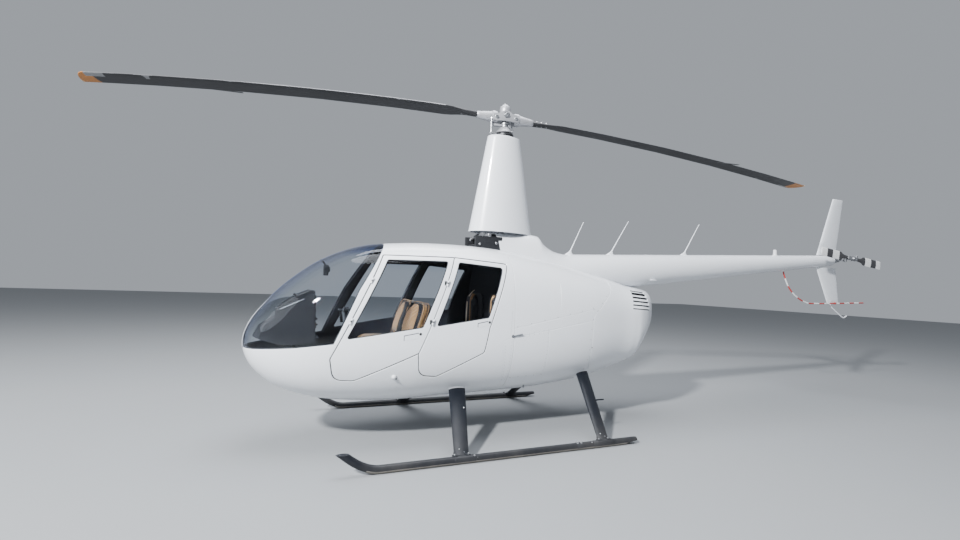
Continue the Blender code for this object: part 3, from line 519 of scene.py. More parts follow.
def block(low, high, bevel=0.003, segments=2, material=0, turn=None):
    """A box between two corners with rounded edges, turned about its middle if asked."""
    low, high = Vector(low), Vector(high)
    bm = bmesh.new()
    bmesh.ops.create_cube(bm, size=1.0)
    middle = (low + high) / 2
    bmesh.ops.scale(bm, verts=bm.verts, vec=[abs(v) for v in high - low])
    if bevel:
        bmesh.ops.bevel(bm, geom=bm.edges[:], offset=bevel, segments=segments, affect="EDGES", profile=0.6)
    if turn is not None:
        bmesh.ops.transform(bm, matrix=turn.to_4x4(), verts=bm.verts)
    bmesh.ops.translate(bm, verts=bm.verts, vec=middle)
    for face in bm.faces:
        face.material_index = material
    return bm


def smooth_path(points, steps=6):
    """Points on a smooth curve through the given ones."""
    points = [Vector(p) for p in points]
    padded = [points[0] * 2 - points[1], *points, points[-1] * 2 - points[-2]]
    path = []
    for i in range(1, len(padded) - 2):
        a, b, c, d = padded[i - 1 : i + 3]
        for k in range(steps):
            t = k / steps
            path.append(
                0.5 * (
                    2 * b + (c - a) * t + (2 * a - 5 * b + 4 * c - d) * t**2 + (3 * b - a - 3 * c + d) * t**3
                )
            )
    path.append(points[-1])
    return path


def pipe(path, radius, sides=12, closed=False, material=0, squash=1.0, up=None):
    """A round tube along a path. radius is one number or one for each point."""
    path = [Vector(p) for p in path]
    count = len(path)
    radii = [radius] * count if isinstance(radius, (int, float)) else list(radius)
    side = None
    rings = []
    for i, point in enumerate(path):
        before = path[(i - 1) % count] if closed or i else path[0]
        after = path[(i + 1) % count] if closed or i < count - 1 else path[-1]
        ahead = (after - before).normalized()
        if up is not None:
            side = ahead.cross(Vector(up)).normalized()
        elif side is None:
            side = frame_along(ahead)[0]
        side = (side - ahead * side.dot(ahead)).normalized()
        other = ahead.cross(side)
        ring = []
        for k in range(sides):
            angle = 2 * math.pi * k / sides
            ring.append(point + radii[i] * (side * math.cos(angle) + other * math.sin(angle) * squash))
        rings.append(ring)
    if closed:
        rings.append(rings[0])
    bm = loft(rings, closed=not closed, material=material)
    if closed:
        bmesh.ops.remove_doubles(bm, verts=bm.verts, dist=1e-6)
        bmesh.ops.recalc_face_normals(bm, faces=bm.faces)
    return bm


def prism(outline, start, end, axis="x", bevel=0.0, segments=2, material=0):
    """A flat outline drawn out along an axis, its edges rounded if asked."""
    order = {
        "x": (lambda a, b, d: (d, a, b)), "y": (lambda a, b, d: (a, d, b)),
        "z": (lambda a, b, d: (a, b, d))
    }[axis]
    bm = loft([[order(a, b, d) for a, b in outline] for d in (start, end)], material=material)
    if bevel:
        edges = [e for e in bm.edges if e.calc_face_angle(0) > 0.6]
        bmesh.ops.bevel(bm, geom=edges, offset=bevel, segments=segments, affect="EDGES", profile=0.6)
    return bm


def mirrored(bm):
    """A copy on the other side of the middle plane."""
    copy = bm.copy()
    bmesh.ops.scale(copy, verts=copy.verts, vec=(-1, 1, 1))
    bmesh.ops.reverse_faces(copy, faces=copy.faces)
    return copy


print("Forms ready")

# %% [markdown]
# ## The body's skin
# The cabin and the engine's cowl share one egg-shaped body. A table gives its section at some
# stations, and a smooth curve through the rows gives it everywhere. A place on the skin is then
# two numbers, like a map: how far along the body, and the angle round the section. Doors and
# panels are drawn on that map in side view, filled with triangles and given their thickness.
# That keeps reflections smooth, which cutting one mesh with another would not.

# %% The table of sections
# Columns: y, half width, z of the keel, z of the widest line, z of the top, and how square the
# lower and the upper half of the section are (2 is an ellipse)
SKIN = (
    (-2.500, 0.000, 0.915, 0.915, 0.915, 2.0, 2.0),
    (-2.462, 0.165, 0.770, 0.915, 1.075, 2.0, 2.0),
    (-2.360, 0.300, 0.635, 0.920, 1.235, 2.1, 2.0),
    (-2.170, 0.425, 0.500, 0.935, 1.450, 2.2, 2.1),
    (-1.880, 0.535, 0.405, 0.965, 1.675, 2.3, 2.2),
    (-1.520, 0.605, 0.360, 1.000, 1.830, 2.4, 2.4),
    (-1.100, 0.637, 0.350, 1.035, 1.890, 2.5, 2.7),
    (-0.600, 0.645, 0.365, 1.065, 1.905, 2.5, 3.0),
    (-0.100, 0.640, 0.380, 1.090, 1.885, 2.5, 2.9),
    (0.400, 0.620, 0.405, 1.110, 1.815, 2.5, 2.7),
    (0.900, 0.575, 0.460, 1.135, 1.720, 2.4, 2.6),
    (1.350, 0.499, 0.557, 1.160, 1.628, 2.3, 2.6),
    (1.540, 0.478, 0.628, 1.178, 1.570, 2.6, 2.8),
    (1.650, 0.460, 0.690, 1.190, 1.551, 2.8, 2.9),
    (1.800, 0.393, 0.895, 1.215, 1.527, 2.8, 3.0),
    (1.915, 0.300, 1.065, 1.245, 1.508, 2.6, 2.9),
    (1.970, 0.172, 1.180, 1.275, 1.428, 2.3, 2.5),
    (1.988, 0.000, 1.300, 1.300, 1.300, 2.0, 2.0),
)


def end_row(row):
    """The row that would come after a pole, so that the curve through it is round."""
    y, width, keel, belt, top, low_power, high_power = row
    return (y, -width, top, belt, keel, low_power, high_power)


ROWS = np.array([end_row(SKIN[1]), *SKIN, end_row(SKIN[-2])])


def section_at(u):
    """The table's columns at row number u, which needn't be whole."""
    u = np.asarray(u, float)
    i = np.clip(np.floor(u).astype(int), 0, len(SKIN) - 2)
    t = (u - i)[..., None]
    a, b, c, d = ROWS[i], ROWS[i + 1], ROWS[i + 2], ROWS[i + 3]
    return b + 0.5 * ((c - a) * t + (2 * a - 5 * b + 4 * c - d) * t**2 + (3 * b - a - 3 * c + d) * t**3)


DENSE_U = np.linspace(0, len(SKIN) - 1, 6001)
DENSE_ROWS = section_at(DENSE_U)
STEPS = np.hypot(np.diff(DENSE_ROWS[:, 0]), np.diff(DENSE_ROWS[:, 1]))
DENSE_RUN = np.concatenate([[0.0], np.cumsum(STEPS)])
RUN_END = DENSE_RUN[-1]
print("The body is", round(DENSE_ROWS[-1, 0] - DENSE_ROWS[0, 0], 3), "m long")

# %% Places on the skin
def skin_point(run, angle):
    """The point at this run along the body and this angle round it."""
    rows = np.moveaxis(section_at(np.interp(run, DENSE_RUN, DENSE_U)), -1, 0)
    y, width, keel, belt, top, low_power, high_power = rows
    cosine, sine = np.cos(angle), np.sin(angle)
    power = np.where(sine > 0, high_power, low_power)
    height = np.where(sine > 0, top - belt, belt - keel)
    x = np.sign(cosine) * np.abs(cosine) ** (2 / power) * width
    z = belt + np.sign(sine) * np.abs(sine) ** (2 / power) * height
    return np.stack([x, y + 0 * x, z], -1)


def skin_normal(run, angle):
    """The outward direction there, from two small steps along the skin."""
    step = 2e-4
    run = np.clip(run, step, RUN_END - step)
    along = skin_point(run + step, angle) - skin_point(run - step, angle)
    around = skin_point(run, angle + step) - skin_point(run, angle - step)
    normal = np.cross(along, around)
    length = np.linalg.norm(normal, axis=-1, keepdims=True)
    ends = np.where(np.asarray(run)[..., None] < 1, [0.0, -1.0, 0.0], [0.0, 1.0, 0.0])
    return np.where(length > 1e-12, normal / np.maximum(length, 1e-12), ends)


def to_map(side_points):
    """Side-view (y, z) points to (run, angle) on the port side."""
    points = np.asarray(side_points, float).reshape(-1, 2)
    run = np.interp(points[:, 0], DENSE_ROWS[:, 0], DENSE_RUN)
    rows = section_at(np.interp(run, DENSE_RUN, DENSE_U)).T
    _, _, keel, belt, top, low_power, high_power = rows
    above = points[:, 1] > belt
    height = np.maximum(np.where(above, top - belt, belt - keel), 1e-6)
    power = np.where(above, high_power, low_power)
    share = np.clip(np.abs(points[:, 1] - belt) / height, 0, 1)
    return np.stack([run, np.arcsin(share ** (power / 2)) * np.where(above, 1, -1)], -1)


def on_skin(y, z, side=1, depth=0.0):
    """Point and outward direction of the skin at a side-view place, on one side."""
    run, angle = to_map([(y, z)])[0]
    normal = skin_normal(run, angle)
    point = skin_point(run, angle) - normal * depth
    return Vector((point[0] * side, *point[1:])), Vector((normal[0] * side, *normal[1:]))


print("Widest point of the skin:", [round(v, 3) for v in skin_point(2.0, 0.0)])

# %% Outlines in side view
def rounded(corners, steps=7):
    """The (y, z) outline through corners given as (y, z, radius)."""
    outline = []
    count = len(corners)
    for i, (y, z, radius) in enumerate(corners):
        here = Vector((y, z))
        before = Vector(corners[i - 1][:2])
        after = Vector(corners[(i + 1) % count][:2])
        back = (before - here).normalized()
        ahead = (after - here).normalized()
        half = math.acos(max(-1, min(1, back.dot(ahead)))) / 2
        reach = min(radius / math.tan(half), 0.45 * (before - here).length, 0.45 * (after - here).length)
        start = here + back * reach
        end = here + ahead * reach
        for k in range(steps + 1):
            t = k / steps
            outline.append(tuple((1 - t) ** 2 * start + 2 * t * (1 - t) * here + t * t * end))
    return outline


def grown(outline, amount):
    """An outline moved outwards by amount, or inwards where amount is negative."""
    points = [Vector(p) for p in outline]
    count = len(points)
    area = sum(points[i - 1].x * points[i].y - points[i].x * points[i - 1].y for i in range(count))
    side = 1 if area > 0 else -1
    moved = []
    for i, point in enumerate(points):
        first = (point - points[i - 1]).normalized()
        second = (points[(i + 1) % count] - point).normalized()
        normal = Vector((first.y + second.y, -first.x - second.x)).normalized() * side
        stretch = max(0.5, normal.dot(Vector((first.y, -first.x)) * side))
        moved.append(tuple(point + normal * amount / stretch))
    return moved


def resampled(points, spacing=0.02, closed=True):
    """Points no further apart than spacing, with the corners kept."""
    points = np.asarray(points, float)
    pairs = list(zip(points, np.roll(points, -1, axis=0)))
    if not closed:
        pairs = pairs[:-1]
    out = []
    for start, end in pairs:
        count = max(1, int(math.ceil(np.linalg.norm(end - start) / spacing)))
        out += [start + (end - start) * k / count for k in range(count)]
    if not closed:
        out.append(points[-1])
    kept = [out[0]]
    for point in out[1:]:
        if np.linalg.norm(point - kept[-1]) > 1e-5:
            kept.append(point)
    return np.array(kept)


def on_map(side_outline, spacing=0.02, closed=True):
    return to_map(resampled(side_outline, spacing, closed))


def inside(points, loop):
    """Which points lie inside a closed loop."""
    x, y = points[:, 0], points[:, 1]
    result = np.zeros(len(points), bool)
    for (x0, y0), (x1, y1) in zip(loop, np.roll(loop, -1, axis=0)):
        crosses = (y0 > y) != (y1 > y)
        if y1 != y0:
            result ^= crosses & (x < (x1 - x0) * (y - y0) / (y1 - y0) + x0)
    return result


print("Outline tools ready")

# %% Filling a region of the map
GIRTH = 0.7
POLE = math.pi / 2
GRID_RUN = 0.028
GRID_ANGLE = math.pi / 60


def fill_region(outlines, holes=(), grooves=(), groove_width=0.0022, spacing=1.0):
    """Triangles inside the outlines and outside the holes. Grooves come back as marked points."""
    loops = [np.asarray(loop) for loop in (*outlines, *holes)]
    points, edges, marks = [], [], []

    def add_line(line, closed, mark):
        start = len(points)
        points.extend(map(tuple, line))
        marks.extend([mark] * len(line))
        last = len(line) if closed else len(line) - 1
        edges.extend((start + i, start + (i + 1) % len(line)) for i in range(last))

    for loop in loops:
        add_line(loop, True, 0)
    for line, closed in grooves:
        flat = line * [1, GIRTH]
        ahead = np.roll(flat, -1, axis=0) - np.roll(flat, 1, axis=0)
        if not closed:
            ahead[0], ahead[-1] = flat[1] - flat[0], flat[-1] - flat[-2]
        ahead /= np.linalg.norm(ahead, axis=1, keepdims=True)
        across = np.stack([-ahead[:, 1], ahead[:, 0]], -1) * groove_width / 2
        add_line((flat + across) / [1, GIRTH], closed, 0)
        add_line((flat - across) / [1, GIRTH], closed, 0)
        add_line(line, closed, 1)
    fixed = np.array(points)
    low = np.min([loop.min(0) for loop in loops[: len(outlines)]], axis=0)
    high = np.max([loop.max(0) for loop in loops[: len(outlines)]], axis=0)
    runs = np.arange(low[0], high[0], GRID_RUN * spacing)
    angles = np.arange(low[1], high[1], GRID_ANGLE * spacing)
    grid = np.stack(np.meshgrid(runs, angles), -1).reshape(-1, 2)
    wanted = np.zeros(len(grid), bool)
    for loop in loops[: len(outlines)]:
        wanted |= inside(grid, loop)
    for loop in loops[len(outlines) :]:
        wanted &= ~inside(grid, loop)
    grid = grid[wanted]
    clear = np.ones(len(grid), bool)
    for start in range(0, len(fixed), 200):
        gaps = (grid[:, None] - fixed[None, start : start + 200]) * [1, GIRTH]
        clear &= (np.linalg.norm(gaps, axis=-1) > 0.011 * spacing).all(1)
    points.extend(map(tuple, grid[clear]))
    marks.extend([0] * int(clear.sum()))
    flat = [Vector((p[0], p[1] * GIRTH)) for p in points]
    found, _, faces, sources, _, _ = geometry.delaunay_2d_cdt(flat, edges, [], 0, 1e-7, True)
    places = np.array([(v.x, v.y / GIRTH) for v in found])
    places[:, 1] = np.clip(places[:, 1], -POLE, POLE)
    depth = np.array([1.0 if any(marks[i] for i in source if i < len(marks)) else 0.0 for source in sources])
    faces = np.array(faces)
    middles = places[faces].mean(1)
    kept = np.zeros(len(faces), bool)
    for loop in loops[: len(outlines)]:
        kept |= inside(middles, loop)
    for loop in loops[len(outlines) :]:
        kept &= ~inside(middles, loop)
    faces = faces[kept]
    a, b, c = (places[faces[:, k]] for k in range(3))
    turn = (b[:, 0] - a[:, 0]) * (c[:, 1] - a[:, 1]) - (b[:, 1] - a[:, 1]) * (c[:, 0] - a[:, 0])
    faces = faces[np.abs(turn) > 1e-12]
    turn = turn[np.abs(turn) > 1e-12]
    faces[turn < 0] = faces[turn < 0][:, ::-1]
    used, renumbered = np.unique(faces, return_inverse=True)
    return places[used], depth[used], renumbered.reshape(-1, 3)


print("Region filler ready")

# %% A thick shell from a region
def shell_arrays(places, grooved, faces, depth, thickness, groove_depth, chamfer, bulge):
    """Vertices, faces, kinds and normals of the port side: 0 outside, 1 inside, 2 lip, 3 groove, 4 rim."""
    surface = skin_point(places[:, 0], places[:, 1])
    surface[np.abs(surface[:, 0]) < 2e-4, 0] = 0
    _, first, same = np.unique(np.round(surface, 6), axis=0, return_index=True, return_inverse=True)
    places, grooved, surface = places[first], grooved[first], surface[first]
    faces = [f for f in same.reshape(-1)[faces].tolist() if len(set(f)) == 3]
    normal = skin_normal(places[:, 0], places[:, 1])
    normal[surface[:, 0] == 0, 0] = 0
    normal /= np.linalg.norm(normal, axis=1, keepdims=True)
    lift = 0 if bulge is None else bulge(surface)
    outer = surface - normal * (depth + grooved * groove_depth - lift)[:, None]
    inner = surface - normal * (depth + thickness)
    directed = {}
    for a, b, c in faces:
        for i, j in ((a, b), (b, c), (c, a)):
            directed[(i, j)] = True
    rim = [(i, j) for i, j in directed if (j, i) not in directed]
    rim = [(i, j) for i, j in rim if surface[i, 0] != 0 or surface[j, 0] != 0]
    outward = np.zeros_like(surface)
    for i, j in rim:
        along = surface[j] - surface[i]
        side = np.cross(along, normal[i])
        side /= max(np.linalg.norm(side), 1e-9)
        outward[i] += side
        outward[j] += side
    on_rim = sorted({v for edge in rim for v in edge})
    lip = {}
    count = len(surface)
    points = [outer, inner]
    extra = []
    for v in on_rim:
        side = outward[v].copy()
        if surface[v, 0] == 0:
            side[0] = 0
        side /= max(np.linalg.norm(side), 1e-9)
        lip[v] = 2 * count + len(extra)
        extra.append(outer[v] - normal[v] * chamfer)
        outer[v] -= side * chamfer
    points.append(np.array(extra).reshape(-1, 3))
    made, kinds = [], []
    bent = grooved > 0
    for a, b, c in faces:
        made.append((a, b, c))
        kinds.append(3 if bent[a] or bent[b] or bent[c] else 0)
        made.append((count + c, count + b, count + a))
        kinds.append(1)
    for i, j in rim:
        made.append((j, i, lip[i], lip[j]))
        made.append((lip[j], lip[i], count + i, count + j))
        kinds += [2, 4]
    normals = np.zeros((2 * count + len(extra), 3))
    normals[:count] = normal
    return np.concatenate(points), made, kinds, normals


def skin_shell(name, outlines, finishes, holes=(), grooves=(), side="both", depth=0.0, thickness=0.01,
               groove_depth=0.0016, groove_width=0.0022, chamfer=0.001, spacing=1.0, bulge=None, **details):
    """A panel of the skin. side is both (joined over the middle), port or starboard."""
    region = fill_region(outlines, holes, grooves, groove_width, spacing)
    points, made, kinds, normals = shell_arrays(*region, depth, thickness, groove_depth, chamfer, bulge)
    if side == "starboard":
        points, normals = points * [-1, 1, 1], normals * [-1, 1, 1]
        made = [face[::-1] for face in made]
    elif side == "both":
        count = len(points)
        middle = points[:, 0] == 0
        twin = np.where(middle, np.arange(count), count + np.cumsum(~middle) - 1)
        points = np.concatenate([points, points[~middle] * [-1, 1, 1]])
        normals = np.concatenate([normals, normals[~middle] * [-1, 1, 1]])
        made = made + [tuple(int(twin[v]) for v in face[::-1]) for face in made]
        kinds = kinds + kinds
    points = points + [0, MAST_Y, 0]
    mesh = bpy.data.meshes.new(name)
    mesh.from_pydata(points.tolist(), [], [tuple(int(v) for v in face) for face in made])
    last = len(finishes) - 1
    slots = {0: 0, 3: 0, 2: min(2, last), 1: min(1, last), 4: min(3, last)}
    mesh.polygons.foreach_set("material_index", [slots[kind] for kind in kinds])
    obj = dressed(mesh, name, finishes, **details)
    custom = []
    for kind, polygon in zip(kinds, mesh.polygons):
        for v in polygon.vertices:
            custom.append(tuple(normals[v]) if kind == 0 else (0.0, 0.0, 0.0))
    mesh.normals_split_custom_set(custom)
    return obj


print("Shell maker ready")

# %% [markdown]
# ## Cabin, doors and cowls
# On the real machine these are thin sheet and moulded panels with seams of a few millimetres.
# The outlines are the CAD's, so each door still fits its opening. Seams between panels that
# never open are narrow grooves in one skin, which catch a dark line like a real joint.

# %% Outlines of the openings
# Columns: y, z, radius of the corner
FRONT_DOOR = (
    (-1.364, 1.744, 0.02),
    (-1.799, 0.812, 0.05),
    (-1.760, 0.622, 0.13),
    (-1.590, 0.612, 0.10),
    (-1.042, 0.856, 0.03),
    (-0.957, 1.060, 0.05),
    (-0.697, 1.753, 0.01),
)
REAR_DOOR = (
    (-0.697, 1.753, 0.01),
    (-0.957, 1.060, 0.05),
    (-1.045, 0.848, 0.03),
    (-1.020, 0.648, 0.11),
    (-0.850, 0.630, 0.08),
    (-0.400, 0.851, 0.03),
    (-0.356, 1.087, 0.05),
    (-0.140, 1.716, 0.03),
)
FRONT_WINDOW = ((-1.330, 1.702, 0.03), (-1.678, 0.980, 0.02), (-1.014, 1.088, 0.03), (-0.762, 1.712, 0.02))
REAR_WINDOW = ((-0.659, 1.708, 0.03), (-0.890, 1.098, 0.02), (-0.368, 1.181, 0.03), (-0.197, 1.675, 0.03))
# Columns: y, z
SCREEN_EDGE = ((-2.70, 0.860), (-2.41, 0.872), (-2.077, 0.900), (-1.777, 0.940))
SCREEN_REAR = ((-1.580, 1.410), (-1.340, 1.830), (-1.180, 2.060))
DOOR_GAP = 0.008
WALL = 0.035
DOOR_THICKNESS = 0.024
CABIN_REAR_Y = -0.09
BOW_HALF = 0.028
DOORS = (("front", FRONT_DOOR, FRONT_WINDOW), ("rear", REAR_DOOR, REAR_WINDOW))
SIDES = (("port", 1), ("starboard", -1))


print("Doors:", [name for name, _, _ in DOORS])

# %% Lines on the map that reach the middle plane
def run_of(y):
    return float(np.interp(y, DENSE_ROWS[:, 0], DENSE_RUN))


def across(y, start, end, spacing=0.035):
    """Points on the section at y, from one angle to another, without the last."""
    count = max(2, int(abs(end - start) / spacing))
    return [(run_of(y), start + (end - start) * k / count) for k in range(count)]


def along_middle(start_run, end_run, angle, spacing=0.03):
    """Points on the middle plane's line, from one run to another, without the last."""
    count = max(2, int(abs(end_run - start_run) / spacing))
    return [(start_run + (end_run - start_run) * k / count, angle) for k in range(count)]


def middle_share(point):
    """How high a side-view point is between the widest line (0) and the middle plane (1)."""
    y, z = point
    if not DENSE_ROWS[0, 0] < y < DENSE_ROWS[-1, 0]:
        return 9.0
    _, _, keel, belt, top, _, _ = section_at(np.interp(run_of(y), DENSE_RUN, DENSE_U))
    return abs(z - belt) / max(top - belt if z > belt else belt - keel, 1e-9)


def from_middle(line, spacing=0.02):
    """Map points of a side-view line that comes in from outside the body's outline."""
    points = resampled(line, spacing, closed=False)
    first = next(i for i, p in enumerate(points) if middle_share(p) < 1)
    low, high = points[first - 1], points[first]
    for _ in range(40):
        half = (low + high) / 2
        low, high = (low, half) if middle_share(half) < 1 else (half, high)
    angle = POLE if to_map([high])[0, 1] > 0 else -POLE
    return np.concatenate([[(run_of(high[0]), angle)], to_map(points[first:])])


def beyond(line, x):
    """The part of a map line, running outwards from the middle, that is beyond this x."""
    reach = skin_point(line[:, 0], line[:, 1])[:, 0]
    first = int(np.argmax(reach > x))
    low, high = line[first - 1], line[first]
    for _ in range(40):
        half = (low + high) / 2
        low, high = (low, half) if skin_point(*half)[0] > x else (half, high)
    return np.concatenate([[high], line[first:]])


def beside_middle(x, start_run, end_run, sign, spacing=0.012):
    """The line at this distance from the middle plane, above (1) or below (-1) the widest line."""
    count = max(2, int(abs(end_run - start_run) / spacing))
    line = []
    for run in np.linspace(start_run, end_run, count + 1):
        row = section_at(np.interp(run, DENSE_RUN, DENSE_U))
        power = row[6] if sign > 0 else row[5]
        share = min(1.0, x / max(row[1], 1e-9)) ** (power / 2)
        line.append((run, sign * math.acos(share)))
    return line


def run_where_wide(x):
    """The run near the nose where the body's half width is x."""
    wide = DENSE_ROWS[:600, 1]
    return float(np.interp(x, wide, DENSE_RUN[:600]))


def tidy_loop(*parts):
    """One closed loop from several lines, without repeated points."""
    kept = []
    for point in np.concatenate([np.asarray(part, float).reshape(-1, 2) for part in parts]):
        if not kept or np.hypot(*((point - kept[-1]) * [1, GIRTH])) > 1e-4:
            kept.append(point)
    if np.hypot(*((kept[0] - kept[-1]) * [1, GIRTH])) < 1e-4:
        kept.pop()
    return np.array(kept)


print("Line tools ready")

# %% The regions
SEAM = 0.00125


def screen_lines(gap):
    """The windscreen's lower and rear edge on the map, moved apart from the screen by gap."""
    lower = from_middle(
        [(y, z - gap) for y, z in SCREEN_EDGE] + [(SCREEN_EDGE[-1][0] + gap, SCREEN_EDGE[-1][1] - gap)]
    )
    rear = [(y + gap, z) for y, z in ((SCREEN_EDGE[-1][0], SCREEN_EDGE[-1][1] - gap), *SCREEN_REAR)]
    upper = from_middle(rear[::-1])
    return lower, upper


def cabin_region():
    """The port half of the cabin's white shell, round the windscreen."""
    lower, upper = screen_lines(0.001)
    rear = CABIN_REAR_Y - SEAM
    return tidy_loop(
        lower,
        upper[::-1],
        along_middle(upper[0, 0], run_of(rear), POLE),
        across(rear, POLE, -POLE),
        along_middle(run_of(rear), lower[0, 0], -POLE),
    )


def pane_region(gap=-0.0005, bow=BOW_HALF + 0.0008):
    """The port windscreen pane, between the centre strip and the cabin."""
    lower, upper = (beyond(line, bow) for line in screen_lines(gap))
    start = run_where_wide(bow)
    return tidy_loop(
        lower,
        upper[::-1],
        beside_middle(bow, upper[0, 0], start, 1),
        beside_middle(bow, start, lower[0, 0], -1),
    )


door_loops = [on_map(grown(rounded(door), DOOR_GAP / 2)) for _, door, _ in DOORS]
print("Cabin outline has", len(cabin_region()), "points")

# %% Panel lines
# Each is a side-view line of (y, z) points
CABIN_LINES = (
    ((-0.160, 0.545), (-0.205, 0.953), (-0.157, 0.981), (-0.100, 0.990)),
)
COWL_LINES = (
    ((-0.075, 0.993), (0.312, 1.058), (0.471, 1.087), (0.862, 1.154)),
    ((-0.075, 1.083), (0.040, 1.107), (0.900, 1.279)),
    ((0.312, 1.046), (0.317, 0.617)),
    ((-0.075, 0.594), (0.317, 0.614)),
    ((0.450, 1.290), (0.467, 1.537)),
)
COWL_SEAM = (
    (1.000, 0.300), (0.980, 0.520), (0.934, 0.600), (0.885, 0.760), (0.879, 0.918), (0.883, 1.158),
    (0.916, 1.241), (0.995, 1.298), (1.111, 1.402), (1.196, 1.494), (1.260, 1.700), (1.260, 2.100),
)


def groove_lines(lines):
    return [(on_map(line, closed=False), False) for line in lines]


def cowl_seam(gap):
    """The seam between the two cowls on the map, from the keel to the middle of the top."""
    shifted = [(y + gap, z) for y, z in COWL_SEAM]
    middle = next(i for i, point in enumerate(shifted) if middle_share(point) < 1)
    return tidy_loop(from_middle(shifted[: middle + 1]), from_middle(shifted[middle:][::-1])[::-1])


def engine_cowl_region():
    front, seam = CABIN_REAR_Y + SEAM, cowl_seam(-SEAM)
    return tidy_loop(
        across(front, -POLE, POLE),
        along_middle(run_of(front), seam[-1, 0], POLE),
        seam[::-1],
        along_middle(seam[0, 0], run_of(front), -POLE),
    )


def rear_cowl_region():
    seam = cowl_seam(SEAM)
    return tidy_loop(
        seam,
        along_middle(seam[-1, 0], RUN_END, POLE),
        [(RUN_END, angle) for angle in np.linspace(POLE, -POLE, 60)],
        along_middle(RUN_END, seam[0, 0], -POLE),
    )


print("Panel lines:", len(CABIN_LINES) + len(COWL_LINES))

# %% Cabin shell
SHELL = [WHITE_PAINT, CABIN_LINING, WHITE_PAINT]
cabin = skin_shell(
    "cabin_shell", [cabin_region()], [*SHELL, CABIN_LINING], holes=door_loops,
    grooves=groove_lines(CABIN_LINES),
    thickness=WALL, chamfer=0.0025, groove_width=0.005, groove_depth=0.003,
    replaces=("cabin_tub", "cabin_roof"), slot="white_paint",
)
print("Cabin shell:", len(cabin.data.polygons), "faces")

# %% Doors
LEAF_GAP = DOOR_GAP / 2


def make_doors():
    made = []
    for place, outline, window in DOORS:
        edge = on_map(grown(rounded(outline), -LEAF_GAP))
        hole = on_map(rounded(window), 0.015)
        for side, _ in SIDES:
            made.append(skin_shell(
                f"{place}_door_{side}_skin", [edge], SHELL, holes=[hole], side=side,
                thickness=DOOR_THICKNESS, chamfer=0.0030, body=f"{place}_door_{side}_body",
                replaces=f"{place}_door_{side}", slot="white_paint",
            ))
    return made


doors = make_doors()
print("Doors:", [len(door.data.polygons) for door in doors])

# %% Cowls
LOUVRE_FIELD = ((1.490, 1.283, 0.012), (1.795, 1.268, 0.012), (1.768, 1.480, 0.012), (1.530, 1.500, 0.012))
engine_cowl = skin_shell(
    "engine_cowl_skin", [engine_cowl_region()], SHELL, grooves=groove_lines(COWL_LINES), thickness=0.006,
    groove_width=0.005, groove_depth=0.003, chamfer=0.002,
    replaces="engine_cowl", slot="white_paint",
)
rear_cowl = skin_shell(
    "rear_cowl_skin", [rear_cowl_region()], SHELL, holes=[on_map(rounded(LOUVRE_FIELD), 0.012)],
    thickness=0.006,
    chamfer=0.002,
    replaces="rear_cowl", slot="white_paint",
)
print("Cowls:", len(engine_cowl.data.polygons), len(rear_cowl.data.polygons))

# %% Louvres in the rear cowl
SLATS = 5


def slat(side, share):
    """One slat across the opening, its lower edge pushed out over the next slot."""
    front = Vector(LOUVRE_FIELD[0][:2]).lerp(Vector(LOUVRE_FIELD[3][:2]), share)
    rear = Vector(LOUVRE_FIELD[1][:2]).lerp(Vector(LOUVRE_FIELD[2][:2]), share)
    rings = []
    for k in range(13):
        y, z = front.lerp(rear, k / 12)
        point, normal = on_skin(y, z, side, 0.001)
        drop = normal.cross(Vector((0, side, 0))).normalized()
        drop = drop if drop.z < 0 else -drop
        section = (
            (0.010, -0.020), (-0.001, 0.004), (-0.0035, 0.010), (-0.005, 0.010), (-0.003, 0.002),
            (0.007, -0.021)
        )
        rings.append([point - normal * depth + drop * down for depth, down in section])
    return loft(rings)


def make_louvres():
    """White slats over a black sheet that is painted shade for the inside of the cowl, one set a side."""
    white = joined(*(slat(side, (i + 0.5) / SLATS) for _, side in SIDES for i in range(SLATS)))
    piece(white, "rear_louvre_slats", WHITE_PAINT, slot="white_paint")
    # Painted shade: a black sheet behind the slats makes the slots as dark as the shaded cowl inside would be.
    field = on_map(grown(rounded(LOUVRE_FIELD), 0.008), 0.012)
    skin_shell("louvre_screen", [field], [BLACK_PLASTIC], side="both", depth=0.022, thickness=0.002)


make_louvres()
print("Louvres:", SLATS, "a side")

# %% [markdown]
# ## Glazing
# The panes are clear acrylic a few millimetres thick, blown to the body's shape. The upper
# edge of the windscreen is tinted blue. Each pane sits on a black seal, and a narrow white
# strip runs down the middle of the windscreen from the roof to the nose.

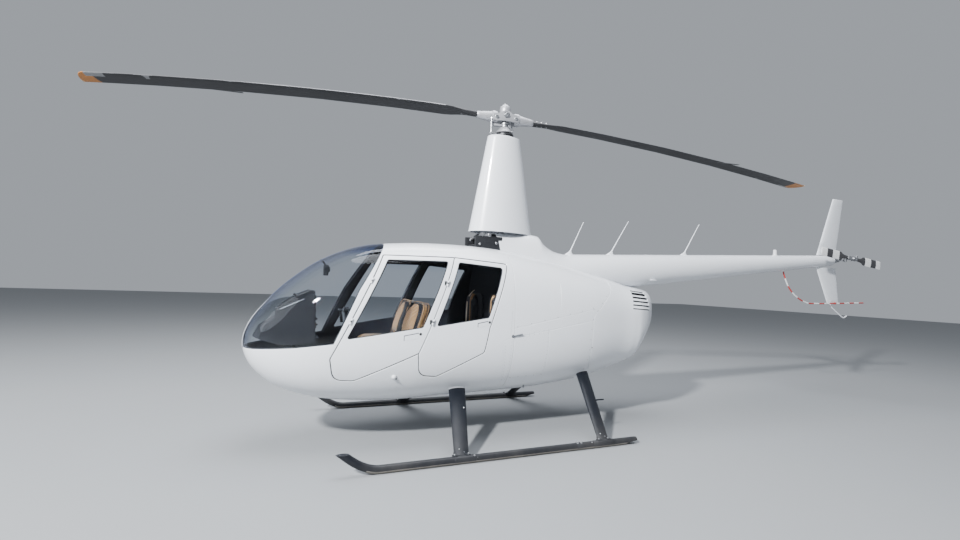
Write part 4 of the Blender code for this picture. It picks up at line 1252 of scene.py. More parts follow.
# %% Clear acrylic
def make_pane_material(name, tint, tint_low, tint_high, bend, edge=(0.7, 0.8, 0.9), painted_glancing_from=0.9):
    """Glass that lets light into the cabin. The tint is by height, towards the roof. Towards glancing angles
    the colour turns to edge, a painted reflection along the pane's outline.
    """
    material = bpy.data.materials.new(name)
    material.use_nodes = True
    tree = material.node_tree
    shader = tree.nodes["Principled BSDF"]
    place = wire(tree, "ShaderNodeTexCoord").outputs["Object"]
    height = wire(tree, "ShaderNodeSeparateXYZ", {0: place}).outputs["Z"]
    high = wire(
        tree, "ShaderNodeMapRange", {"Value": height, "From Min": tint_low, "From Max": tint_high},
        clamp=True
    )
    smear = wire(tree, "ShaderNodeTexNoise", {"Vector": place, "Scale": 3.0, "Detail": 5.0, "Roughness": 0.7})
    rub = wire(
        tree, "ShaderNodeMapRange",
        {"Value": smear.outputs["Fac"], "From Min": 0.55, "From Max": 0.9, "To Max": 0.08}
    )
    hue = mix_colour(tree, high.outputs["Result"], colour(0.86, 0.90, 0.94), colour(*tint))
    # Painted reflection: the colour is mixed towards the edge colour where the pane turns edge-on to the view.
    facing = wire(tree, "ShaderNodeLayerWeight", {"Blend": 0.5}).outputs["Facing"]
    flat = wire(
        tree, "ShaderNodeMapRange", {"Value": facing, "From Min": painted_glancing_from, "From Max": 1.0}, clamp=True
    )
    hue = mix_colour(tree, flat.outputs["Result"], hue, colour(*edge))
    tree.links.new(hue, shader.inputs["Base Color"])
    tree.links.new(rub.outputs["Result"], shader.inputs["Roughness"])
    shader.inputs["Transmission Weight"].default_value = 1.0
    shader.inputs["IOR"].default_value = bend
    through = wire(tree, "ShaderNodeBsdfTransparent", {"Color": colour(0.78, 0.82, 0.87)})
    path = wire(tree, "ShaderNodeLightPath")
    blend_in = wire(tree, "ShaderNodeMixShader", {0: path.outputs["Is Shadow Ray"]})
    tree.links.new(shader.outputs[0], blend_in.inputs[1])
    tree.links.new(through.outputs[0], blend_in.inputs[2])
    tree.links.new(blend_in.outputs[0], tree.nodes["Material Output"].inputs["Surface"])
    return material


# The windscreen's dark blue edge colour is painted reflection along its outline.
SCREEN_PANE = make_pane_material(
    "screen_pane", (0.16, 0.26, 0.52), 1.74, 1.88, bend=1.22, edge=(0.03, 0.08, 0.36), painted_glancing_from=0.42
)
DOOR_PANE = make_pane_material("door_pane", (0.62, 0.70, 0.80), 1.60, 1.90, bend=1.13)
print("Pane finishes ready")

# %% Windscreen panes and door windows
PANE_THICKNESS = 0.004
PANE_DEPTH = 0.0045


def make_panes():
    for side, _ in SIDES:
        skin_shell(
            f"windscreen_{side}_pane", [pane_region()], [SCREEN_PANE], side=side, thickness=PANE_THICKNESS,
            replaces=f"windscreen_{side}", slot="clear_pane",
        )
        for place, _, window in DOORS:
            skin_shell(
                f"{place}_window_{side}_pane", [on_map(grown(rounded(window), 0.004), 0.015)], [DOOR_PANE],
                side=side, depth=PANE_DEPTH, thickness=0.003, body=f"{place}_door_{side}_body",
                replaces=f"{place}_window_{side}", slot="clear_pane",
            )


make_panes()
print("Panes made")

# %% Seals, jambs and the dark frame of the windscreen
def make_seals():
    for side, _ in SIDES:
        for place, outline, window in DOORS:
            ring = rounded(window)
            skin_shell(
                f"{place}_window_{side}_seal", [on_map(grown(ring, 0.001), 0.015)], [RUBBER],
                holes=[on_map(grown(ring, -0.0055), 0.015)], side=side, depth=0.0016, thickness=0.0026,
                body=f"{place}_door_{side}_body", spacing=4,
            )
            skin_shell(
                f"{place}_window_{side}_frame", [on_map(grown(ring, 0.016), 0.015)], [CABIN_LINING],
                holes=[on_map(grown(ring, -0.006), 0.015)], side=side, depth=0.009, thickness=0.012,
                body=f"{place}_door_{side}_body", spacing=4,
            )
            edge = rounded(outline)
            skin_shell(
                f"{place}_jamb_{side}", [on_map(grown(edge, 0.014), 0.02)], [RUBBER],
                holes=[on_map(grown(edge, -0.016), 0.02)], side=side, depth=0.0265, thickness=0.006,
                spacing=4,
            )
    inner = pane_region(-0.009)
    for side, _ in SIDES:
        skin_shell(
            f"windscreen_{side}_frame", [pane_region(0.0)], [BLACK_PLASTIC], holes=[inner], side=side,
            depth=0.0055, thickness=0.010, spacing=4,
        )


make_seals()
print("Seals made")

# %% The strip down the middle of the windscreen
def dense_skin_tree():
    """The skin as a fine grid for ray casts, in mast coordinates."""
    runs = np.linspace(0, RUN_END, 260)
    angles = np.linspace(-math.pi, math.pi, 241)
    grid = skin_point(
        runs[:, None],
        np.where(np.abs(angles) > POLE, np.sign(angles) * (math.pi - np.abs(angles)), angles)[None, :]
    )
    grid[..., 0] *= np.where(np.abs(angles) > POLE, -1, 1)[None, :]
    points = grid.reshape(-1, 3).tolist()
    wide = len(angles)
    faces = []
    for i in range(len(runs) - 1):
        for k in range(wide - 1):
            a = i * wide + k
            faces.append((a, a + 1, a + wide + 1, a + wide))
    return BVHTree.FromPolygons(points, faces)


SKIN_TREE = dense_skin_tree()


def onto_skin(point, towards, lift=0.0):
    """Where a ray from outside meets the skin, with the outward direction there."""
    direction = Vector(towards).normalized()
    hit, normal, _, _ = SKIN_TREE.ray_cast(Vector(point), direction)
    if normal.dot(direction) > 0:
        normal = -normal
    return hit + normal * lift, normal


def middle_line(start_run, end_run, steps, sign):
    """Points and outward directions on the middle plane, above (1) or below (-1) the nose."""
    line = []
    for run in np.linspace(start_run, end_run, steps):
        line.append((Vector(skin_point(run, sign * POLE)), Vector(skin_normal(run, sign * POLE))))
    return line


def make_strip_and_reflection_paint():
    """White at the nose, turning dark blue higher up. The blue is painted reflection; the strip itself is
    white.
    """
    material = make_finish("strip_and_reflection_paint", (0.8, 0.82, 0.86), 0.2, bump=0.03, dust=0.05, coat=0.6)
    tree = material.node_tree
    shader = tree.nodes["Principled BSDF"]
    white = shader.inputs["Base Color"].links[0].from_socket
    place = wire(tree, "ShaderNodeTexCoord").outputs["Object"]
    height = wire(tree, "ShaderNodeSeparateXYZ", {0: place}).outputs["Z"]
    # Painted reflection: dark blue is mixed over the strip's white from z 1.12 to 1.34.
    high = wire(tree, "ShaderNodeMapRange", {"Value": height, "From Min": 1.12, "From Max": 1.34}, clamp=True)
    tree.links.new(
        mix_colour(tree, high.outputs["Result"], white, colour(0.02, 0.045, 0.13)),
        shader.inputs["Base Color"]
    )
    return material


STRIP_AND_REFLECTION_PAINT = make_strip_and_reflection_paint()


def make_bow():
    """A shallow strip, rounded at its edges, bedded on the two panes."""
    lower, upper = screen_lines(0.0)
    under = middle_line(lower[0, 0], 0.012, 8, -1)
    over = middle_line(0.012, upper[0, 0], 60, 1)
    rings = []
    section = ((-1.0, -0.004), (-1.0, 0.0006), (-0.86, 0.0022), (0.86, 0.0022), (1.0, 0.0006), (1.0, -0.004))
    for centre, normal in under + over:
        normal = Vector((0, normal.y, normal.z)).normalized()
        ring = []
        for share, lift in section:
            start = centre + normal * 0.08 + Vector((share * (BOW_HALF - 0.006), 0, 0))
            hit, _ = onto_skin(start, -normal)
            ring.append(hit + normal * lift)
        rings.append(ring)
    piece(
        loft(rings), "windscreen_strip", STRIP_AND_REFLECTION_PAINT, replaces="windscreen_bow", slot="white_paint",
        sharp=50
    )


make_bow()
print("Strip made")

# %% [markdown]
# ## Tail cone, deck fairing and mast fairing
# The tail cone is thin sheet in several rolled bays, so rings of flush rivets run round it.
# Where it leaves the body, a moulded fairing carries its top smoothly up to the mast. Between
# the two there is no edge, so the fairing is one surface whose section changes slowly.

# %% Tail cone
CONE_FRONT_Y = 0.80
CONE_REAR_Y = 5.78


def cone_centre(y):
    return 1.744 + 0.0882 * (y - 1.88)


def cone_radius(y):
    return 0.205 - 0.0324 * (y - 1.88)


def cone_ring(y, grow=0.0, sides=64):
    turns = [2 * math.pi * i / sides for i in range(sides)]
    radius = cone_radius(y) + grow
    return [(radius * math.cos(a), y, cone_centre(y) + radius * math.sin(a)) for a in turns]


def make_cone():
    """Rings along the cone, whose rear end is rounded into its last frame."""
    rings = [cone_ring(CONE_FRONT_Y, -0.02)]
    rings += [cone_ring(y) for y in np.linspace(CONE_FRONT_Y + 0.002, CONE_REAR_Y - 0.006, 40)]
    rings += [
        cone_ring(CONE_REAR_Y - 0.002, -0.001), cone_ring(CONE_REAR_Y, -0.004),
        cone_ring(CONE_REAR_Y - 0.001, -0.03)
    ]
    piece(loft(rings), "tail_cone_skin", WHITE_PAINT, replaces="tail_cone", slot="white_paint", sharp=50)


make_cone()
print("Cone:", round(CONE_REAR_Y - CONE_FRONT_Y, 3), "m long")

# %% Deck fairing
# Columns: y, half width, z of the middle, z of the top, how square the section is
DECK = np.array((
    (-0.125, 0.186, 1.700, 2.0747, 3.5),
    (0.145, 0.196, 1.695, 2.0747, 3.35),
    (0.415, 0.206, 1.690, 2.0747, 3.2),
    (0.470, 0.210, 1.686, 2.0160, 3.0),
    (0.520, 0.214, 1.682, 1.9760, 2.8),
    (0.575, 0.219, 1.677, 1.9450, 2.6),
    (0.640, 0.225, 1.670, 1.9180, 2.4),
    (0.720, 0.233, 1.660, 1.9000, 2.2),
    (0.820, 0.240, cone_centre(0.82), cone_centre(0.82) + 0.2405, 2.05),
    (1.000, 0.2345, cone_centre(1.0), cone_centre(1.0) + 0.2340, 2.0),
    (1.200, 0.2275, cone_centre(1.2), cone_centre(1.2) + 0.2271, 2.0),
))

DECK_FRONT_Y = -0.1135


def deck_section(y):
    """A smooth row between the rows of the table."""
    i = int(np.clip(np.searchsorted(DECK[:, 0], y) - 1, 0, len(DECK) - 2))
    t = (y - DECK[i, 0]) / (DECK[i + 1, 0] - DECK[i, 0])
    before = DECK[max(i - 1, 0)]
    after = DECK[min(i + 2, len(DECK) - 1)]
    span = DECK[i + 1, 0] - DECK[i, 0]
    slope_in = (DECK[i + 1] - before) / (DECK[i + 1, 0] - before[0]) * span
    slope_out = (after - DECK[i]) / (after[0] - DECK[i, 0]) * span
    h = (2 * t**3 - 3 * t**2 + 1, t**3 - 2 * t**2 + t, 3 * t**2 - 2 * t**3, t**3 - t**2)
    return h[0] * DECK[i] + h[1] * slope_in + h[2] * DECK[i + 1] + h[3] * slope_out


def deck_ring(y, inset=0.0, slant=0.0, count=56):
    """The upper half of the section, closed off below inside the body. With slant 1 the ring
    leans forward at its top, as the fairing's front edge does."""
    _, width, middle, top, power = deck_section(y)
    width, height = width - inset, top - middle - inset
    points = []
    for i in range(count + 1):
        angle = math.pi * i / count
        cosine, sine = math.cos(angle), math.sin(angle)
        x = math.copysign(abs(cosine) ** (2 / power), cosine) * width
        points.append((x, middle + abs(sine) ** (2 / power) * height))
    points += [(-width, middle - 0.08), (width, middle - 0.08)]
    lean = 0.2208 * slant
    return [(x, y - (z - 2.0747) * lean, z) for x, z in points]


def make_deck():
    """A shell over the gearbox bay, open at the front under the mast's fairing."""
    front = DECK_FRONT_Y
    outer = [deck_ring(front + 0.0005, 0.003, 1.0)]
    for y in [front + 0.003, *np.linspace(-0.09, 1.19, 64)]:
        outer.append(deck_ring(y, 0.0, min(1.0, max(0.0, (0.30 - y) / (0.30 - front)))))
    inner = [
        deck_ring(
            y, 0.014, min(1.0, (0.30 - y) / (0.30 - front))
        ) for y in np.linspace(front + 0.002, 0.29, 6)
    ]
    bm = loft(inner[::-1] + outer, closed=False)
    bmesh.ops.recalc_face_normals(bm, faces=bm.faces)
    ends = [edge for edge in bm.edges if edge.is_boundary]
    bmesh.ops.holes_fill(bm, edges=ends)
    piece(bm, "deck_fairing_skin", WHITE_PAINT, replaces="deck_fairing", slot="white_paint", sharp=40)


make_deck()
print("Fairing stations:", 63)

# %% Mast fairing
def teardrop(z, length, width, sides=96):
    """A streamlined ring, blunt in front, with a soft crease behind its widest place."""
    ring = []
    for i in range(sides):
        angle = 2 * math.pi * i / sides
        y = -math.cos(angle) * length
        pinch = 1 - 0.22 * y / length
        ring.append((math.sin(angle) * width * pinch, y, z))
    return ring


def make_mast_fairing():
    """A tall shell with rolled edges at both ends. The screws along its foot are not drawn."""
    bottom, top = 2.075, 3.165

    def ring(z, inset=0.0):
        share = (z - bottom) / (top - bottom)
        return teardrop(z, 0.375 - 0.180 * share - inset, 0.20 - 0.085 * share - inset)

    rings = [ring(bottom + 0.01, 0.006), ring(bottom, 0.003), ring(bottom + 0.002, 0.0)]
    rings += [ring(z) for z in np.linspace(bottom + 0.03, top - 0.03, 12)]
    rings += [ring(top - 0.004, 0.0), ring(top - 0.001, 0.0015), ring(top, 0.004), ring(top - 0.003, 0.007)]
    rings += [ring(top - 0.5, 0.007)]
    bm = loft(rings, closed=False)
    piece(
        bm, "mast_fairing_skin", [WHITE_PAINT, BLACK_PLASTIC], replaces="mast_fairing",
        slot="white_paint", sharp=50
    )


make_mast_fairing()
print("Mast fairing made")

# %% Gearbox bay under the mast
def make_gearbox():
    """Dark gearbox, its sump, frame tubes, control rods and lines in the open bay."""
    parts = [
        lathe(
            (0, 0, 1.80), (0, 0, 2.072),
            [(0, 0.15), (0.25, 0.155), (0.4, 0.125), (0.8, 0.10), (0.85, 0.07), (1, 0.07)], 40
        ),
        block((-0.13, -0.335, 1.84), (0.13, 0.04, 1.935), 0.012),
        block((-0.165, -0.36, 1.80), (-0.135, -0.05, 2.02), 0.004),
        block((0.135, -0.36, 1.80), (0.165, -0.05, 2.02), 0.004),
    ]
    for x in (-0.11, -0.04, 0.05, 0.12):
        parts.append(
            pipe(smooth_path([(x, -0.32, 1.90), (x * 0.9, -0.22, 2.00), (x * 0.6, -0.09, 2.03)]), 0.009, 10)
        )
    for y in (-0.30, -0.20, -0.11):
        parts.append(rod((-0.16, y, 2.01), (0.16, y, 2.01), 0.011, sides=12))
    piece(joined(*parts), "main_gearbox_case", DARK_STEEL, replaces="main_gearbox", slot="dark_trim")
    bright = [
        rod((0.150, -0.20, 2.035), (0.172, -0.20, 2.035), 0.020, sides=20),
        rod((0.166, -0.31, 1.93), (0.174, -0.31, 1.93), 0.012, sides=6)
    ]
    bright.append(block((0.10, -0.29, 2.000), (0.165, -0.25, 2.055), 0.006))
    bright.append(rod((0.166, -0.12, 1.95), (0.176, -0.12, 1.95), 0.014, sides=6))
    bright.append(rod((-0.06, -0.34, 1.98), (-0.06, -0.24, 2.06), 0.012))
    piece(joined(*bright), "gearbox_fittings", BARE_METAL, slot="bare_metal")


make_gearbox()
print("Gearbox made")

# %% [markdown]
# ## Fins, stabiliser and the small fittings on the tail
# Fins and stabiliser are thin ribbed sheet with a rounded leading edge and a flat tip cap. The
# whip antennas stand on flared feet that grow out of the cone, and a curved tube under the
# tail, banded red and white, keeps people away from the tail rotor.

# %% Fins and stabiliser
def aerofoil(chord, thickness, count=28):
    """A symmetrical section as (along, across) points, the leading edge at +along."""
    points = []
    for i in range(count):
        angle = 2 * math.pi * i / count
        along = math.cos(angle)
        points.append((along * chord / 2, math.sin(angle) * (1 + 0.45 * along) * thickness / 2))
    return points


def fin_rings(root, tip, place):
    """Rings from the root to the tip, the last few rounding the tip off."""
    rings = []
    shares = list(np.linspace(0, 0.985, 10)) + [0.992, 0.997, 1.0]
    for share in shares:
        front, rear, height, thick = (a + (b - a) * share for a, b in zip(root, tip))
        over = max(0.0, (share - 0.985) / 0.015)
        shrink = math.sqrt(max(0.0, 1 - over * over * 0.92))
        middle, chord = (front + rear) / 2, (rear - front) * (0.96 + 0.04 * shrink)
        rings.append(
            [place(across, middle - along, height) for along, across in aerofoil(chord, thick * shrink)]
        )
    return rings


def make_fins():
    # columns: name, root (front y, rear y, z, thickness), tip (the same)
    fins = (
        ("upper_fin", (5.440, 5.905, 2.157, 0.046), (5.855, 6.113, 3.088, 0.028)),
        ("lower_fin", (5.425, 5.905, 1.965, 0.046), (5.690, 5.972, 1.405, 0.028)),
    )
    for name, root, tip in fins:
        bm = loft(fin_rings(root, tip, lambda across, y, z: (across, y, z)))
        piece(bm, f"{name}_skin", WHITE_PAINT, replaces=name, slot="white_paint", sharp=50)
    middle = cone_centre(5.4)
    root = (5.20, 5.56, -0.03, 0.030)
    tip = (5.27, 5.55, -0.86, 0.024)
    bm = loft(fin_rings(root, tip, lambda across, y, x: (x, y, middle + across)))
    bmesh.ops.recalc_face_normals(bm, faces=bm.faces)
    piece(bm, "stabiliser_skin", WHITE_PAINT, replaces="stabiliser", slot="white_paint", sharp=50)


make_fins()
print("Fins made")

# %% Skid under the lower fin
def make_tail_skid():
    path = smooth_path([
        (0, 5.765, 1.450), (0, 5.785, 1.365), (0, 5.874, 1.302), (0, 6.069, 1.192), (0, 6.120, 1.188),
        (0, 6.176, 1.212),
    ])
    parts = [pipe(path, 0.0100, 12), block((-0.016, 5.735, 1.41), (0.016, 5.79, 1.475), 0.004)]
    piece(joined(*parts), "tail_skid", WHITE_PAINT, slot="white_paint")


make_tail_skid()
print("Tail skid made")

# %% Antennas and beacon
def make_antennas():
    """A whip on a foot that flares out to the cone, long fore and aft and narrow across."""
    # columns: node, y of the foot, how far the tip leans aft, z of the tip
    whips = (
        ("antenna_front", 0.905, 0.19, 2.294),
        ("antenna_middle", 1.50, 0.27, 2.362),
        ("antenna_rear", 2.70, 0.27, 2.424),
    )
    for name, y, lean, tip_z in whips:
        top = cone_centre(y) + cone_radius(y)
        rings = []
        # columns: height over the cone, half length, half width
        for up, length, width in (
            (-0.012, 0.064, 0.030), (0.000, 0.058, 0.022), (0.006, 0.050, 0.015), (0.014, 0.040, 0.011),
            (0.026, 0.026, 0.009), (0.042, 0.014, 0.0075), (0.060, 0.009, 0.0070), (0.075, 0.0075, 0.0065),
        ):
            shift = lean * (up / (tip_z - top)) * 0.9 if up > 0 else 0.0
            ring = []
            for i in range(28):
                angle = 2 * math.pi * i / 28
                ring.append((width * math.sin(angle), y + shift + length * math.cos(angle), top + up))
            rings.append(ring)
        foot_top = Vector((0, y + lean * 0.9 * 0.07 / (tip_z - top), top + 0.07))
        whip = pipe(
            [foot_top, (0, y + lean * 0.55, top + (tip_z - top) * 0.56), (0, y + lean, tip_z)],
            [0.0068, 0.0052, 0.0036], 12
        )
        ball = lathe(
            (0, y + lean, tip_z - 0.004), (0, y + lean + 0.004, tip_z + 0.006),
            [(0, 0.003), (0.3, 0.0052), (0.7, 0.0052), (1, 0.001)], 12
        )
        piece(joined(loft(rings), whip, ball), f"{name}_whip", WHITE_PAINT, replaces=name, slot="white_paint")


def make_beacon():
    y = 4.49
    top = cone_centre(y) + cone_radius(y)
    cup = [
        (0, 0.034), (0.25, 0.034), (0.3, 0.028), (0.34, 0.028), (0.36, 0.0265), (0.9, 0.0235),
        (0.97, 0.018), (1, 0.006)
    ]
    piece(
        lathe((0, y, top - 0.02), (0, y, top + 0.085), cup, 32), "beacon_lamp", LAMP_GLASS,
        replaces="tail_beacon"
    )
    tab_y = 2.04
    tab = block(
        (cone_radius(tab_y) * 0.82, tab_y - 0.045, 1.630),
        (cone_radius(tab_y) * 0.94, tab_y + 0.045, 1.642), 0.003
    )
    piece(tab, "cone_drain_tab", WHITE_PAINT)


LAMP_GLASS = make_finish("lamp_glass", (0.72, 0.72, 0.74), 0.12, dust=0.1, bump=0.02, coat=0.6, tone=0.04)
make_antennas()
make_beacon()
print("Antennas made")

# %% Tail rotor guard
BAND = 0.128


def make_guard():
    """The tube is cut into rings where its bands meet, so that each band's edge is crisp."""
    path = smooth_path([
        (0.0, 4.667, cone_centre(4.667) - cone_radius(4.667) + 0.004),
        (0.004, 4.700, 1.780), (0.010, 4.765, 1.650), (0.020, 4.870, 1.535),
        (0.030, 5.000, 1.455), (0.038, 5.130, 1.410), (0.042, 5.260, 1.397),
        (0.042, 5.700, 1.405), (0.042, 6.100, 1.4165), (0.042, 6.546, 1.430),
    ], 14)
    steps = [0.0]
    for a, b in zip(path, path[1:]):
        steps.append(steps[-1] + (b - a).length)
    total = steps[-1]
    band = total / (2 * round((total / BAND - 1) / 2) + 1)
    marks = sorted({round(m, 5) for m in [*np.linspace(0, total, 120), *np.arange(band, total, band)]})
    dense = [Vector([float(np.interp(m, steps, [p[k] for p in path])) for k in range(3)]) for m in marks]
    tube = pipe(dense, 0.0105, 16)
    for face in tube.faces:
        middle = face.calc_center_median()
        nearest = min(range(len(dense)), key=lambda i: (dense[i] - middle).length)
        ahead = dense[min(nearest + 1, len(dense) - 1)] - dense[max(nearest - 1, 0)]
        here = marks[nearest] + (middle - dense[nearest]).dot(ahead.normalized())
        face.material_index = int(here // band) % 2
    cap = lathe((0.042, 6.545, 1.4299), (0.042, 6.552, 1.4302), [(0, 0.0105), (0.6, 0.009), (1, 0.004)], 16)
    for face in cap.faces:
        face.material_index = 0
    flange = lathe((
        0, 4.662, cone_centre(4.667) - cone_radius(4.667) + 0.006
    ), (0, 4.668, cone_centre(4.667) - cone_radius(4.667) - 0.01),
                   [(0, 0.030), (0.6, 0.030), (0.7, 0.018), (1, 0.014)], 24)
    for face in flange.faces:
        face.material_index = 1
    clamp = joined(
        lathe(
            (0.042, 5.795, 1.4073), (0.042, 5.845, 1.4088),
            [(0, 0.012), (0.1, 0.015), (0.9, 0.015), (1, 0.012)], 20
        ),
        block((0.010, 5.800, 1.398), (0.040, 5.840, 1.420), 0.004),
        rod((0.042, 5.820, 1.420), (0.042, 5.820, 1.432), 0.007, sides=6),
    )
    piece(
        joined(tube, cap, flange, clamp), "tail_guard_tube", [RED_BAND, WHITE_BAND],
        replaces="tail_guard", slot="banded_tube",
    )


RED_BAND = make_finish(
    "red_band", (0.46, 0.035, 0.03), 0.33, dust=0.2, bump=0.06, worn=0.4, worn_colour=(0.5, 0.45, 0.42),
    tone=0.08, low=0.8, high=1.6
)
WHITE_BAND = make_finish(
    "white_band", (0.80, 0.80, 0.80), 0.33, dust=0.25, bump=0.06, tone=0.03, low=0.8, high=1.6
)
make_guard()
print("Guard made")

# %% [markdown]
# ## Tail rotor
# A right-angle gearbox at the cone's end carries a small teetering hub on the port side. Its
# two blades are banded black and white, so that the turning disc can be seen.

# %% Tail gearbox
TAIL_ROTOR_X = 0.28
TAIL_ROTOR_Y = 5.87
TAIL_ROTOR_Z = 2.115


def make_tail_gearbox():
    start = Vector((0, CONE_REAR_Y - 0.004, cone_centre(CONE_REAR_Y)))
    end = Vector((0, TAIL_ROTOR_Y + 0.055, TAIL_ROTOR_Z))
    body = lathe(start, end, [
        (0, 0.050), (0.02, 0.071), (0.10, 0.071), (0.12, 0.053), (0.25, 0.048), (0.35, 0.052), (0.85, 0.052),
        (0.97, 0.038), (1.0, 0.02),
    ], 32)
    arm = lathe((-0.060, TAIL_ROTOR_Y, TAIL_ROTOR_Z), (0.100, TAIL_ROTOR_Y, TAIL_ROTOR_Z), [
        (0, 0.030), (0.08, 0.042), (0.2, 0.046), (0.62, 0.044), (0.66, 0.052), (0.78, 0.052),
        (0.8, 0.036), (1, 0.032),
    ], 32)
    parts = [body, arm]
    for i in range(6):
        angle = 2 * math.pi * i / 6
        y = start.y + 0.014
        at = Vector((0.062 * math.cos(angle), y, start.z + 0.062 * math.sin(angle)))
        parts.append(rod(at, at + Vector((0, 0.016, 0)), 0.006, sides=6))
    parts.append(
        rod((0, TAIL_ROTOR_Y, TAIL_ROTOR_Z + 0.03), (0, TAIL_ROTOR_Y, TAIL_ROTOR_Z + 0.075), 0.012, sides=8)
    )
    for k in range(5):
        x = 0.005 + 0.011 * k
        parts.append(
            lathe(
                (x, TAIL_ROTOR_Y, TAIL_ROTOR_Z), (x + 0.004, TAIL_ROTOR_Y, TAIL_ROTOR_Z),
                [(0, 0.046), (0.2, 0.053), (0.8, 0.053), (1, 0.046)], 32
            )
        )
    piece(joined(*parts), "tail_gearbox_case", BARE_METAL, replaces="tail_gearbox", slot="bare_metal")


make_tail_gearbox()
print("Tail gearbox made")

# %% Tail rotor hub and blades
TAIL_ROTOR_RADIUS = 0.7365
TAIL_ROTOR_CHORD = 0.13
TAIL_TURN = Matrix.Rotation(-math.radians(6.0), 4, "X")
TAIL_AT = Matrix.Translation((TAIL_ROTOR_X, TAIL_ROTOR_Y, TAIL_ROTOR_Z))


def on_tail_rotor(bm):
    """From the rotor's own axes, blades along Y, to where it stands at rest."""
    bmesh.ops.transform(bm, matrix=TAIL_AT @ TAIL_TURN, verts=bm.verts)
    return bm


def make_tail_rotor():
    shaft = lathe(
        (-0.178, 0, 0), (0.045, 0, 0),
        [
            (0, 0.018), (0.1, 0.018), (0.12, 0.036), (0.2, 0.036), (0.22, 0.019), (0.9, 0.019),
            (0.97, 0.016), (1, 0.010)
        ],
        28
    )
    parts = [shaft]
    for x in (-0.019, 0.013):
        parts.append(block((x, -0.112, -0.028), (x + 0.006, 0.112, 0.028), 0.003))
    parts.append(rod((-0.014, 0, -0.038), (-0.014, 0, 0.038), 0.010, sides=20))
    for end in (-1, 1):
        parts.append(rod((-0.024, end * 0.085, 0), (0.024, end * 0.085, 0), 0.012, sides=6))
        parts.append(rod((-0.024, end * 0.045, 0), (0.024, end * 0.045, 0), 0.009, sides=6))
        start, tip = Vector((-0.120, end * 0.030, end * 0.040)), Vector((-0.020, end * 0.130, end * 0.060))
        parts.append(rod(start, tip, 0.0055, sides=12))
        for at in (start, tip):
            parts.append(
                lathe(
                    at - Vector((0.007, 0, 0)), at + Vector((0.007, 0, 0)),
                    [(0, 0.007), (0.2, 0.010), (0.8, 0.010), (1, 0.007)], 16
                )
            )
        parts.append(
            block(
                (-0.016, end * 0.116, min(0, end * 0.066)), (-0.002, end * 0.150, max(0, end * 0.066)),
                0.003
            )
        )
    parts.append(block((-0.128, -0.035, -0.046), (-0.114, 0.035, 0.046), 0.004))
    piece(
        on_tail_rotor(joined(*parts)), "tail_rotor_head", BARE_METAL, "tail_rotor", "tail_rotor_hub",
        "bare_metal"
    )
    for name, end in (("tail_blade_a", -1), ("tail_blade_b", 1)):
        rings = []
        # columns: radius, chord, thickness
        for radius, chord, thick in (
            (0.1156, 0.050, 0.018), (0.150, 0.056, 0.024), (0.200, 0.062, 0.022), (0.240, 0.086, 0.020),
            (0.265, 0.120, 0.0185), (0.285, TAIL_ROTOR_CHORD, 0.018), (0.450, TAIL_ROTOR_CHORD, 0.0165),
            (0.690, TAIL_ROTOR_CHORD, 0.015), (0.715, 0.128, 0.013), (0.728, 0.122, 0.010),
            (0.7345, 0.112, 0.006),
            (TAIL_ROTOR_RADIUS, 0.100, 0.002),
        ):
            rings.append([(up, end * radius, along) for along, up in aerofoil(chord, thick, 28)])
        piece(on_tail_rotor(loft(rings)), f"{name}_skin", TAIL_BLADE_PAINT, "tail_rotor", name, "blade_paint")


def banded_paint(name, base, centre, across, stops, **details):
    """A blade's paint, with bands by the distance in metres from its rotor's axis. Each stop is
    a distance, a colour and how much of it covers the plain paint."""
    material = make_finish(name, base, **details)
    tree = material.node_tree
    shader = tree.nodes["Principled BSDF"]
    under = shader.inputs["Base Color"].links[0].from_socket
    place = wire(tree, "ShaderNodeTexCoord").outputs["Object"]
    to_axis = tuple(-value for value in centre)
    moved = wire(tree, "ShaderNodeVectorMath", {0: place, 1: to_axis}, operation="ADD").outputs[0]
    flat = wire(tree, "ShaderNodeVectorMath", {0: moved, 1: across}, operation="MULTIPLY").outputs[0]
    reach = wire(tree, "ShaderNodeVectorMath", {0: flat}, operation="LENGTH").outputs["Value"]
    longest = stops[-1][0] * 1.25
    bands = wire(tree, "ShaderNodeValToRGB", {0: math_node(tree, "DIVIDE", reach, longest)})
    ramp = bands.color_ramp
    ramp.interpolation = "CONSTANT"
    ramp.elements.remove(ramp.elements[1])
    ramp.elements[0].position, ramp.elements[0].color = 0.0, (0, 0, 0, 0)
    for distance, (red, green, blue), cover in stops:
        ramp.elements.new(distance / longest).color = (red, green, blue, cover)
    tree.links.new(
        mix_colour(tree, bands.outputs["Alpha"], under, bands.outputs["Color"]),
        shader.inputs["Base Color"]
    )
    return material


BAND_WHITE = (0.80, 0.80, 0.80)
TAIL_BLADE_PAINT = banded_paint(
    "tail_blade_paint", (0.045, 0.045, 0.05), (0.0, TAIL_ROTOR_Y + MAST_Y, TAIL_ROTOR_Z), (0.0, 1.0, 1.0),
    ((0.324, BAND_WHITE, 1.0), (0.4765, BAND_WHITE, 0.0), (0.607, BAND_WHITE, 1.0)),
    rough=0.42, dust=0.15, bump=0.06, tone=0.1, low=0.0, high=0.5,
)
make_tail_rotor()
print("Tail rotor made")

# %% [markdown]
# ## Landing gear
# Two straight tubes with bent-up toes carry the machine, and thin wear shoes of hard steel
# protect them underneath. Each leg is a bent steel tube inside a thin streamlined sheath, so it
# looks wide from the side and slim from the front. A cuff closes the hole it leaves in the belly.

# %% Skid tubes and their shoes
SKID_X = 1.075
SKID_RADIUS = 0.034
SKID_TUBE = 0.0318
SKID_REAR_Y = 1.07
SKID_BEND_Y = -1.44
SKID_TOE_Y = -1.715
SKID_TOE_Z = 0.168


